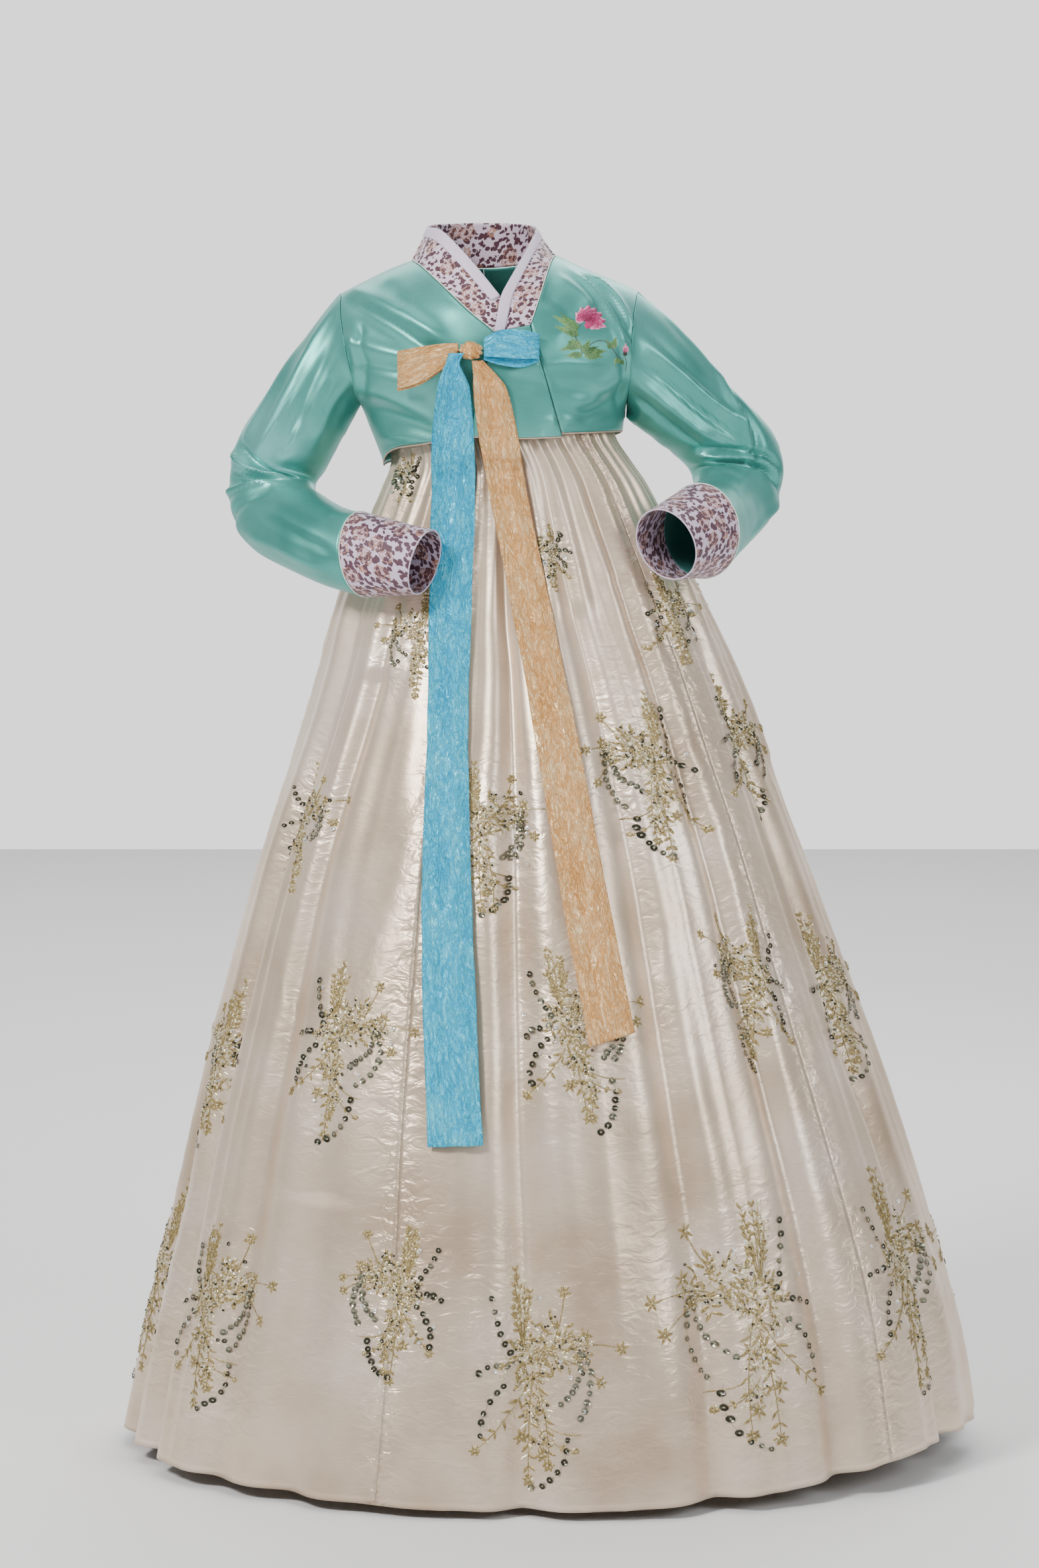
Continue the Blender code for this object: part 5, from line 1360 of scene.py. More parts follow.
@dataclass
class SkirtForm:
    """The form of the gathered skirt, at angles round it and heights above the floor."""
    knee_height: float = 0.62
    sharpness: float = 1.12
    fine_gathers: float = 0.0021
    fine_fade: tuple[float, float] = (1.16, 0.97)
    sag: float = 0.0058
    shallow: float = 0.0040
    full: float = 0.0130
    least_share: float = 0.08
    shallow_from: float = 1.13
    letting_go: float = 0.30
    broad_share: float = 0.38
    broad_angle: float = 8.0
    closing_angle: float = 14.0

    def __post_init__(self) -> None:
        """Sets out the valleys all round and the softness of the cloth."""
        self.valleys = [valley for width in SKIRT_WIDTHS.values() for valley in width]
        first = self.valleys[0]
        turned = first._replace(waist_angle=first.waist_angle + 360, hem_angle=first.hem_angle + 360)
        self.valleys.append(turned)
        self.noise = SoftNoise(5)

    def valley_lines(self, height: Array) -> tuple[Array, Array]:
        """The angle and the depth of every valley at heights."""
        top = SKIRT[0].height
        down = smooth_step((top - height) / (top - self.knee_height))
        keys = [0.0, self.knee_height, top]
        angles = [one.waist_angle + (one.hem_angle - one.waist_angle) * down for one in self.valleys]
        depths = [track(keys, [one.hem_depth, one.knee_depth, one.waist_depth], height)
                  for one in self.valleys]
        deep = np.stack(depths, axis=-1)
        kept = np.clip((deep - self.shallow) / (self.full - self.shallow), self.least_share, 1.0)
        low = self.low_share(height)[..., None]
        return np.stack(angles, axis=-1), deep * (1 - low + low * kept)

    def low_share(self, height: Array) -> Array:
        """0 near the band and 1 where the small gathers have let go."""
        return smooth_step((self.shallow_from - height) / self.letting_go)

    def broad_hollows(self, turned: Array, height: Array) -> Array:
        """How far the wide flanks of the deep folds draw the cloth in.

        Args:
            turned: angles round the skirt, from the first valley's on.
            height: heights up it.

        Returns:
            The depth in metres.
        """
        angles, depths = self.valley_lines(height)
        off = (turned[..., None] - angles[..., :-1] + 180) % 360 - 180
        deep = np.where(depths[..., :-1] > self.full * 0.8, depths[..., :-1], 0.0)
        flanks = np.sum(deep * np.exp(-(off / self.broad_angle) ** 2), axis=-1)
        return self.broad_share * self.low_share(height) * flanks

    def points(self, angle: Array, height: Array) -> Array:
        """Points of the skirt's outer face."""
        angle, height = np.broadcast_arrays(np.asarray(angle, float), np.asarray(height, float))
        angles, depths = self.valley_lines(height)
        turned = (angle - angles[..., 0]) % 360.0 + angles[..., 0]
        index = np.clip(np.sum(angles <= turned[..., None], axis=-1) - 1, 0, len(self.valleys) - 2)
        low, high, near, far = (np.take_along_axis(values, index[..., None] + step, -1)[..., 0]
                                for values in (angles, depths) for step in (0, 1))
        share = (turned - low) / (high - low)
        hollow = (0.5 + 0.5 * np.cos(2 * np.pi * share)) ** self.sharpness
        depth = (near + (far - near) * share) * hollow
        start, end = self.fine_fade
        fade = smooth_step((height - end) / (start - end))
        turn = np.radians(turned)
        round_share = (turned - angles[..., 0]) / self.closing_angle
        closing = smooth_step(round_share) * smooth_step(360.0 / self.closing_angle - round_share)
        uneven = closing * self.noise.at(turn * 0.3 + 1.0, 0.2 * height, 0.075, 0.30)
        fine = (self.fine_gathers * fade * (1 - hollow) * (1.0 + 0.8 * uneven)
                * (0.5 + 0.5 * np.cos(4 * np.pi * share + index * 1.7 + 2.5 * uneven)))
        broad = self.noise.at(turn * 0.4, height + 0.35 * turn, 0.085, 0.190)
        small = self.noise.at(turn * 0.4 + 2.0, height - 0.20 * turn, 0.048, 0.110)
        soft = closing * self.sag * (0.75 * broad + 0.35 * small) * (1 - fade) * (1 - 0.5 * hollow)
        depth = depth * (1 - 0.5 * self.broad_share) + fine - soft + self.broad_hollows(turned, height)
        centre, half_width, front, back = at_height(
            SKIRT, height, "centre", "half_width", "front_depth", "back_depth")
        reach = np.where(np.cos(turn) > 0, front, back)
        wrapped = (turned + 180) % 360 - 180
        lift = by_key(SKIRT_HEM_LIFT, "angle", "height", wrapped)
        lift = lift * smooth_step(1.0 - height / self.knee_height)
        x = centre + (half_width - depth) * np.sin(turn)
        y = -(reach - depth) * np.cos(turn)
        return np.stack([x, y, height + lift], axis=-1)


class SkirtCloth:
    """The finished outer face of the skirt as one grid all round, on which threads and sequins are laid."""

    def __init__(self, form: SkirtForm, columns_per_gather: int, rows: int, pucker_rise: float,
                 pucker_reach: float, seam_reach: float) -> None:
        """Works out the grid, its puckers and its outward directions.

        Args:
            form: the skirt's form.
            columns_per_gather: columns of the grid between two valleys.
            rows: rows of the grid from the band to the hem.
            pucker_rise: how far the puckers rise.
            pucker_reach: how far they reach round a spray, as a share of its size.
            seam_reach: how far they reach beside a seam.
        """
        self.form = form
        self.per_gather = columns_per_gather
        self.rows = rows
        self.height = (SKIRT[0].height * (1 - np.arange(rows + 1) / rows))[:, None]
        angles, _ = form.valley_lines(self.height[:, 0])
        step = np.arange(columns_per_gather) / columns_per_gather
        spans = angles[:, :-1, None] + (angles[:, 1:, None] - angles[:, :-1, None]) * step
        self.angle = np.concatenate([spans.reshape(rows + 1, -1), angles[:, -1:]], axis=1)
        self.angle[:, -1] -= 1e-6
        self.first = angles[:, 0]
        grid = form.points(self.angle, self.height)
        self.seams = np.cumsum([0] + [len(width) * columns_per_gather for width in SKIRT_WIDTHS.values()])
        self.pucker = self.puckers(grid, pucker_reach, seam_reach)
        normals = self.outward(grid)
        turn = np.radians(self.angle)
        noise = SoftNoise(17)
        ripple = noise.at(turn * 0.4, self.height, 0.014, 0.012)
        ripple = ripple + 0.7 * noise.at(turn * 0.4, self.height, 0.026, 0.034)
        column = np.arange(self.angle.shape[1])
        apart = np.min(np.abs(column[:, None] - self.seams[None]), axis=1)
        held = smooth_step(apart / 3.0)[None]
        self.points = grid + normals * (pucker_rise * ripple * self.pucker * held)[..., None]
        self.normals = self.outward(self.points)

    def outward(self, grid: Array) -> Array:
        """Directions out of the skirt at a grid of its points."""
        normals = grid_normals(grid)
        away = (grid - np.array(SKIRT_INSIDE)) * np.array([1, 1, 0])
        facing = np.sum(normals * away, axis=-1, keepdims=True)
        return np.where(facing < 0, -normals, normals)

    def puckers(self, grid: Array, reach: float, seam_reach: float) -> Array:
        """How strongly the cloth is drawn up, by the sprays and along the seams."""
        total = np.zeros(self.angle.shape)
        for spray in SPRAYS:
            centre = self.form.points(np.array([spray.angle]), np.array([spray.height]))[0]
            off = grid - centre
            across = np.linalg.norm(off[..., :2], axis=-1) / (spray.size * reach)
            along = off[..., 2] / (spray.size * (reach + 0.15))
            total += np.exp(-(across ** 2 + along ** 2))
        for column in self.seams:
            distance = np.linalg.norm(grid - grid[:, column:column + 1], axis=-1)
            total += 1.7 * np.exp(-(distance / seam_reach) ** 2)
        return np.clip(total, 0.0, 1.8)

    def place(self, angle: Array, height: Array, lift: Array | float) -> Array:
        """Points just above the cloth.

        Args:
            angle: angles round the skirt, in degrees.
            height: heights up it, before the hem's own lift.
            lift: how far outside the cloth.

        Returns:
            Points on the grid's own facets, moved outward by the lift.
        """
        shape = np.shape(angle)
        angle = np.ravel(angle)
        height = np.clip(np.ravel(height), 0.002, SKIRT[0].height - 0.002)
        row = (1 - height / SKIRT[0].height) * self.rows
        low_row = np.clip(np.floor(row).astype(int), 0, self.rows - 1)
        t = (row - low_row)[:, None]
        line = self.angle[low_row] * (1 - t) + self.angle[low_row + 1] * t
        turned = (angle - line[:, 0]) % 360.0 + line[:, 0]
        column = np.clip(np.sum(line <= turned[:, None], axis=1) - 1, 0, line.shape[1] - 2)
        index = np.arange(len(column))
        low, high = line[index, column], line[index, column + 1]
        s = np.clip((turned - low) / (high - low), 0, 1)[:, None]

        def blend(grid: Array) -> Array:
            """A grid's values between its four nearest points."""
            upper = grid[low_row, column] * (1 - s) + grid[low_row, column + 1] * s
            lower = grid[low_row + 1, column] * (1 - s) + grid[low_row + 1, column + 1] * s
            return upper * (1 - t) + lower * t

        lifts = np.broadcast_to(np.asarray(lift, float), shape).reshape(-1, 1)
        return (blend(self.points) + unit(blend(self.normals)) * lifts).reshape(*shape, 3)

    def patch(self, angle: float, height: float) -> Callable[[Array, Array | float], Array]:
        """A flat patch of the skirt: a function from metres right and up, and a lift, to points."""
        near = self.form.points(np.array([angle - 2.0, angle + 2.0, angle, angle]),
                                np.array([height, height, height - 0.02, height + 0.02]))
        across = float(np.linalg.norm(near[1] - near[0])) / 4.0
        upward = float(np.linalg.norm(near[3] - near[2])) / 0.04

        def lay(flat: Array, lift: Array | float) -> Array:
            """Points of the cloth at places of the patch."""
            return self.place(angle + flat[..., 0] / across, height + flat[..., 1] / upward, lift)

        return lay


@dataclass
class Skirt:
    """The five flared widths of the skirt and the plain band that they hang from."""
    satin: bpy.types.Material
    cotton: bpy.types.Material
    form: SkirtForm = field(default_factory=SkirtForm)
    wall: float = 0.0009
    columns_per_gather: int = 14
    rows: int = 140
    seam_gap: float = 0.0003
    pucker_rise: float = 0.0007
    pucker_reach: float = 0.50
    seam_pucker_reach: float = 0.017
    band_heights: tuple[float, float, float] = (1.1693, 1.2, 1.25)
    band_half_widths: tuple[float, float, float] = (0.1300, 0.1335, 0.1340)
    band_chest_depths: tuple[float, float, float] = (0.1035, 0.1060, 0.1050)
    band_back_depths: tuple[float, float, float] = (0.0920, 0.0930, 0.0930)
    band_centre: float = 0.0070
    band_wall: float = 0.0013
    band_columns: int = 120
    band_rows: int = 16
    band_wave: float = 0.0006
    band_waves: int = 23

    def __post_init__(self) -> None:
        """Works out the cloth that the embroidery lies on."""
        self.cloth = SkirtCloth(self.form, self.columns_per_gather, self.rows, self.pucker_rise,
                                self.pucker_reach, self.seam_pucker_reach)

    def build(self) -> None:
        """Makes the widths and the band."""
        cloth = self.cloth
        for name, first, last in zip(SKIRT_WIDTHS, cloth.seams[:-1], cloth.seams[1:]):
            grid = cloth.points[:, first:last + 1].copy()
            inset = self.seam_gap / 2
            grid[:, 0] += unit(grid[:, 1] - grid[:, 0]) * inset
            grid[:, -1] += unit(grid[:, -2] - grid[:, -1]) * inset
            pucker = cloth.pucker[:, first:last + 1]
            shell = Shell(name + "_satin", grid, self.wall, SKIRT_INSIDE, pucker=pucker)
            shell.stand_for(name, self.satin, "champagne_satin", "gathered", ["chest_band_cotton"])
        self.build_band()

    def build_band(self) -> None:
        """Makes the plain band that the gathers are sewn to."""
        turn = turns(self.band_columns)[None]
        heights = np.linspace(self.band_heights[0], self.band_heights[-1], self.band_rows)[:, None]
        half_width, chest, back = (
            np.interp(heights, self.band_heights, sizes)
            for sizes in (self.band_half_widths, self.band_chest_depths, self.band_back_depths))
        depth = np.where(np.cos(turn) > 0, chest, back)
        wave = self.band_wave * np.sin(self.band_waves * turn)
        x = self.band_centre + (half_width + wave) * np.sin(turn)
        y = -(depth + wave) * np.cos(turn)
        grid = np.stack([x, y, np.broadcast_to(heights, x.shape)], axis=-1)
        inside = (self.band_centre, 0.0, float(np.mean(heights)))
        band = Shell("chest_band_cotton", grid, self.band_wall, inside, closed=True)
        band.stand_for("chest_band", self.cotton, "white_cotton", "stretched", ["skirt_front_satin"])


# ---------------------------------------------------------------- embroidery
class Stitches:
    """A batch of raised threads and sequins in one finish, laid on a cloth."""
    sink = 0.0003
    sequin_rise = 0.0007
    sequin_rings = np.array([0.30, 0.62, 1.0])
    sequin_cups = np.array([0.0, 0.05, 0.22])
    bead_sides = 6

    def __init__(self) -> None:
        """Starts an empty batch."""
        self.verts: list[Array] = []
        self.faces: list[Array] = []
        self.count = 0

    def add(self, verts: Array, faces: Array) -> None:
        """Adds points and the faces between them."""
        self.verts.append(verts.reshape(-1, 3))
        self.faces.append(faces + self.count)
        self.count += verts.reshape(-1, 3).shape[0]

    def thread(self, lay: Surface, line: Array, width: float | Array, rise: float) -> None:
        """A thread with a raised middle along a flat line.

        Args:
            lay: the function from the patch and a lift to points.
            line: places of the line on the patch.
            width: the thread's full width, or one for each place.
            rise: how far its middle stands above the cloth.
        """
        tangent = unit(np.gradient(line, axis=0))
        side = np.stack([-tangent[:, 1], tangent[:, 0]], axis=1) * np.reshape(np.asarray(width) / 2, (-1, 1))
        count = len(line)
        taper = np.sqrt(np.clip(1 - (2 * np.arange(count) / (count - 1) - 1) ** 2, 0.05, 1))
        places = np.stack([line - side, line, line + side], axis=1)
        foot = np.full(count, -self.sink)
        lifts = np.stack([foot, rise * taper, foot], axis=1)
        row = np.arange(count - 1)[:, None] * 3 + np.arange(2)[None]
        faces = np.stack([row, row + 1, row + 4, row + 3], axis=2).reshape(-1, 4)
        self.add(lay(places, lifts), faces)

    def disc(self, lay: Surface, centre: Array, radius: float, tilt: Array, sides: int = 12) -> None:
        """A cupped sequin with a hole, lying a little tilted.

        Args:
            lay: the function from the patch and a lift to points.
            centre: its place on the patch.
            radius: its radius.
            tilt: how far its face leans along the patch's two directions.
            sides: corners of its rim.
        """
        rings = self.sequin_rings
        places = centre + circle(sides)[None] * (rings * radius)[:, None, None]
        lean = circle(sides) @ tilt * radius
        lifts = self.sequin_rise + (self.sequin_cups * radius)[:, None] + rings[:, None] * lean[None]
        index = np.arange(sides)
        other = (index + 1) % sides
        faces = [np.stack([index + ring * sides, other + ring * sides, other + (ring + 1) * sides,
                           index + (ring + 1) * sides], axis=1) for ring in range(2)]
        self.add(lay(places, lifts), np.concatenate(faces))

    def bead(self, lay: Surface, centre: Array, radius: float, base: float) -> None:
        """A small round bead or knot.

        Args:
            lay: the function from the patch and a lift to points.
            centre: its place on the patch.
            radius: its radius.
            base: how far its foot stands above the cloth.
        """
        sides = self.bead_sides
        rings = np.array([1.0, 0.8]) * radius
        rim = centre + circle(sides)[None] * rings[:, None, None]
        places = np.concatenate([rim.reshape(-1, 2), centre[None]])
        lifts = np.concatenate([np.full(sides, base), np.full(sides, base + radius), [base + 1.5 * radius]])
        index = np.arange(sides)
        other = (index + 1) % sides
        wall = np.stack([index, other, other + sides, index + sides], axis=1)
        top = np.full(sides, 2 * sides)
        cap = np.stack([index + sides, other + sides, top, top], axis=1)
        self.add(lay(places, lifts), np.concatenate([wall, cap]))

    def make(self, name: str, material: bpy.types.Material, slot: str) -> None:
        """Turns the batch into a piece of the garment."""
        faces = [list(dict.fromkeys(face)) for face in np.concatenate(self.faces).tolist()]
        Piece(name, np.concatenate(self.verts), faces).dress(material, slot)


def bent_line(start: Array, angle: float, length: float, bend: float, count: int) -> Array:
    """A flat curve from a place, whose direction turns evenly.

    Args:
        start: its first place.
        angle: its first direction in degrees, from the patch's right.
        length: its length.
        bend: how far its direction turns, in degrees.
        count: the number of its places.

    Returns:
        The places.
    """
    share = np.arange(count) / (count - 1)
    direction = np.radians(angle + bend * share)
    step = np.stack([np.cos(direction), np.sin(direction)], axis=1) * length / (count - 1)
    return start + np.concatenate([np.zeros((1, 2)), np.cumsum((step[:-1] + step[1:]) / 2, axis=0)])


class Sprig(NamedTuple):
    """A stem, fern or row of sequins: its start and length as shares of the spray's size, and its turns."""
    x: float
    y: float
    angle: float
    length: float
    bend: float
    count: int = 0
    finish: str = "gold"


class Blossom(NamedTuple):
    """A cluster or star: its middle and radius as shares of the spray's size, and its numbers of stitches."""
    x: float
    y: float
    radius: float
    count: int = 0
    count_small: int = 0


SPRAY_CLUSTERS = table(
    Blossom,
    (-0.07, 0.12, 0.14, 44, 22), (0.08, 0.02, 0.13, 40, 20), (-0.24, 0.1, 0.07, 12, 6),
    (0.03, -0.22, 0.08, 16, 8), (-0.02, -0.38, 0.06, 10, 4),
)
SPRAY_STEMS = table(
    Sprig,
    (-0.04, 0.06, 150, 0.42, 35), (-0.04, 0.06, 172, 0.36, 50), (-0.04, 0.06, 128, 0.34, -18),
)
SPRAY_STARS = table(Blossom, (-0.26, 0.17, 0.045), (-0.22, 0.06, 0.038))
SPRAY_FERNS = table(
    Sprig,
    (0.04, -0.02, 250, 0.52, 26, 9), (0.04, -0.02, 274, 0.58, -10, 10), (0.04, -0.02, 292, 0.5, 24, 8),
)
SPRAY_LOW_STARS = table(Blossom, (0.10, -0.36, 0.045), (-0.02, -0.45, 0.040))
SPRAY_ARCS = table(
    Sprig,
    (-0.22, 0.12, 236, 0.4, 84, 8, "pale_sequin"), (-0.22, 0.12, 254, 0.34, 74, 8, "pale_sequin"),
    (0.14, 0.02, 52, 0.34, 24, 6, "dark_sequin"), (0.14, 0.0, 16, 0.22, -50, 4, "dark_sequin"),
    (0.15, -0.05, 330, 0.34, -68, 6, "dark_sequin"),
)
SPRAY_LOW_ARC = Sprig(-0.14, -0.30, 250, 0.40, 88, 7, "dark_sequin")


@dataclass(frozen=True)
class SprayThreads:
    """Sizes of the sprays' threads and sequins, in metres."""
    full_size: float = 0.13
    stem_width: float = 0.0018
    leaf_width: float = 0.0050
    rise: float = 0.0013
    sequin_large: float = 0.0041
    sequin_small: float = 0.0029


class SkirtEmbroidery:
    """Sprays of gold thread and sequins on the skirt."""

    def __init__(self, cloth: SkirtCloth, finishes: dict[str, bpy.types.Material]) -> None:
        """Keeps the cloth and the finishes."""
        self.cloth = cloth
        self.finishes = finishes
        self.sizes = SprayThreads()
        self.batches: dict[str, Stitches] = {}

    def build(self) -> None:
        """Stitches every spray, in a batch for each skirt width and finish."""
        for width, (low, high) in self.width_angles().items():
            self.batches = {name: Stitches() for name in self.finishes}
            for index, spray in enumerate(SPRAYS):
                if low <= (spray.angle - low) % 360 + low < high:
                    self.stitch(spray, index)
            for name, batch in self.batches.items():
                batch.make(f"{width}_{name}", self.finishes[name], "champagne_satin")

    def width_angles(self) -> dict[str, tuple[float, float]]:
        """The angles at mid height that each width covers."""
        starts = [width[0].hem_angle for width in SKIRT_WIDTHS.values()]
        ends = starts[1:] + [starts[0] + 360]
        return dict(zip(SKIRT_WIDTHS, zip(starts, ends)))

    def stitch(self, spray: Spray, index: int) -> None:
        """Stitches one spray.

        Args:
            spray: its place, size, lean and hand.
            index: its number, which sets how it differs from the others.
        """
        self.random = np.random.default_rng(100 + index)
        place = self.cloth.patch(spray.angle, spray.height)
        lean = math.radians(spray.lean)
        turn = np.array([[math.cos(lean), math.sin(lean)], [-math.sin(lean), math.cos(lean)]])

        def lay(flat: Array, lift: Array | float) -> Array:
            """Points at places of the spray, in metres from its centre."""
            return place((flat * np.array([spray.hand, 1.0])) @ turn, lift)

        size = spray.size
        full = size > self.sizes.full_size

        def spot(item: Blossom | Sprig) -> Array:
            """The place of a part of the spray."""
            return np.array([item.x, item.y]) * size

        self.plume(lay, np.array([0.10, 0.10]) * size, 86, 0.42 * size, 7 if full else 5)
        for blossom in SPRAY_CLUSTERS:
            count = blossom.count if full else blossom.count_small
            self.cluster(lay, spot(blossom), blossom.radius * size, count)
        for sprig in SPRAY_STEMS:
            tip = self.stem(lay, spot(sprig), sprig.angle, sprig.length * size, sprig.bend)
            self.star(lay, tip, 0.040 * size)
        for star in SPRAY_STARS:
            self.star(lay, spot(star), star.radius * size)
        for sprig in SPRAY_FERNS:
            self.fern(lay, spot(sprig), sprig.angle, sprig.length * size, sprig.bend, sprig.count)
        if full:
            self.fern(lay, np.array([0.02, -0.30]) * size, 232, 0.26 * size, -40, 4)
            self.stem(lay, np.array([-0.02, -0.28]) * size, 218, 0.22 * size, -40)
            for star in SPRAY_LOW_STARS:
                self.star(lay, spot(star), star.radius * size)
        for sprig in SPRAY_ARCS + [SPRAY_LOW_ARC] * full:
            self.arc(lay, spot(sprig), sprig, size, full)
        self.scatter(lay, np.array([0.0, -0.02]) * size, 0.36 * size, 18 if full else 12)

    def jitter(self, amount: float) -> float:
        """An uneven amount either way."""
        return float(self.random.uniform(-amount, amount))

    def stem(self, lay: Surface, start: Array, angle: float, length: float, bend: float) -> Array:
        """A thin couched stem; returns its tip."""
        line = bent_line(start, angle + self.jitter(6), length * (1 + self.jitter(0.12)),
                         bend + self.jitter(12), 9)
        self.batches["gold"].thread(lay, line, self.sizes.stem_width, self.sizes.rise)
        return line[-1]

    def leaf(self, lay: Surface, start: Array, angle: float, length: float, finish: str) -> None:
        """A short leaf or petal of a few laid threads."""
        line = bent_line(start, angle, length, self.jitter(22), 4)
        width = self.sizes.leaf_width * np.array([0.35, 1.0, 0.9, 0.25]) * (0.9 + self.jitter(0.2))
        self.batches[finish].thread(lay, line, width, self.sizes.rise * 1.15)

    def plume(self, lay: Surface, start: Array, angle: float, length: float, strands: int) -> None:
        """A feathery plume standing up from a place."""
        for index in range(strands):
            spread = (index / (strands - 1) - 0.5) * 34
            reach = length * (1 - 0.35 * abs(index / (strands - 1) - 0.5) * 2) * (0.9 + self.jitter(0.12))
            line = bent_line(start, angle + spread, reach, -spread * 0.7 + self.jitter(10), 9)
            self.batches["gold"].thread(lay, line, self.sizes.stem_width, self.sizes.rise)
            for place in range(3, 9):
                for side in (-1, 1):
                    finish = "pale_gold" if self.random.uniform() < 0.3 else "gold"
                    self.leaf(lay, line[place], angle + spread + side * (38 + self.jitter(14)),
                              length * 0.085, finish)

    def cluster(self, lay: Surface, centre: Array, radius: float, count: int) -> None:
        """A dense blossom of short stitches, beads and knots."""
        for index in range(count):
            turn = index * 2.39996 + self.jitter(0.4)
            reach = radius * math.sqrt((index + 0.5) / count)
            place = centre + np.array([math.cos(turn), math.sin(turn)]) * reach
            finish = "pale_gold" if index % 3 == 0 else "gold"
            for petal in range(2):
                angle = math.degrees(turn) + petal * 140 + self.jitter(35)
                self.leaf(lay, place, angle, radius * 0.36, finish)
            if index % 3 == 1:
                self.batches["pale_sequin" if index % 2 else "pale_gold"].bead(lay, place, 0.0014, 0.0006)
            grain = place + np.array([self.jitter(0.2), self.jitter(0.2)]) * radius
            self.batches["dark_sequin" if index % 4 == 0 else "pale_gold"].bead(lay, grain, 0.0013, 0.0008)

    def star(self, lay: Surface, centre: Array, radius: float) -> None:
        """A small star floret with a bead at its middle."""
        start = self.jitter(30)
        for petal in range(6):
            self.leaf(lay, centre, start + petal * 60, radius * (1 + self.jitter(0.15)), "gold")
        self.batches["pale_gold"].bead(lay, centre, 0.0014, 0.0010)

    def fern(self, lay: Surface, start: Array, angle: float, length: float, bend: float, leaves: int) -> None:
        """A drooping stem with paired leaves and a floret at its tip."""
        line = bent_line(start, angle + self.jitter(5), length * (1 + self.jitter(0.1)), bend, 3 * leaves + 1)
        self.batches["gold"].thread(lay, line, self.sizes.stem_width, self.sizes.rise)
        for leaf in range(1, leaves + 1):
            direction = angle + bend * leaf / leaves
            reach = length * 0.13 * (1.1 - 0.5 * leaf / leaves)
            for side in (-1, 1):
                finish = "pale_gold" if (leaf + side) % 3 == 0 else "gold"
                self.leaf(lay, line[3 * leaf - 1], direction + side * (46 + self.jitter(16)), reach, finish)
        self.star(lay, line[-1], length * 0.07)

    def scatter(self, lay: Surface, centre: Array, reach: float, count: int) -> None:
        """Single small sequins, some of them pearly, sewn round the blossoms."""
        for index in range(count):
            turn = self.random.uniform(0, 2 * math.pi)
            way = np.array([math.cos(turn), 1.15 * math.sin(turn)])
            place = centre + way * reach * self.random.uniform(0.35, 1.0)
            tilt = np.array([self.jitter(0.35), self.jitter(0.35)])
            chosen = "pearl_sequin" if index % 3 else "dark_sequin"
            self.batches[chosen].disc(lay, place, 0.0021 + self.jitter(0.0005), tilt, sides=8)

    def arc(self, lay: Surface, start: Array, sprig: Sprig, size: float, full: bool) -> None:
        """A curved row of sequins, each held by a bead, and a fine tendril under them."""
        count, finish = sprig.count, sprig.finish
        line = bent_line(start, sprig.angle + self.jitter(6), sprig.length * size * (1 + self.jitter(0.1)),
                         sprig.bend + self.jitter(12), 2 * count + 1)
        self.batches["gold"].thread(lay, line, 0.0007, 0.0005)
        radius = self.sizes.sequin_large if full else self.sizes.sequin_small
        for index in range(1, count + 1):
            pale = finish == "pale_sequin" or self.random.uniform() < 0.25
            chosen = "pale_sequin" if pale else "dark_sequin"
            place = line[2 * index] + np.array([self.jitter(0.0015), self.jitter(0.0015)])
            tilt = np.array([self.jitter(0.30), self.jitter(0.30)])
            self.batches[chosen].disc(lay, place, radius * (0.85 + self.jitter(0.15)), tilt)
            self.batches["pale_gold"].bead(lay, place, 0.0008, 0.0008)


# ---------------------------------------------------------------- bow
# Folds of a loop, in shares along it and across it
LOOP_FOLDS = table(Fold, (0.15, 0.30, 0.95, 0.62, 0.0012, 0.10), (0.10, 0.75, 0.80, 0.55, -0.0010, 0.09))


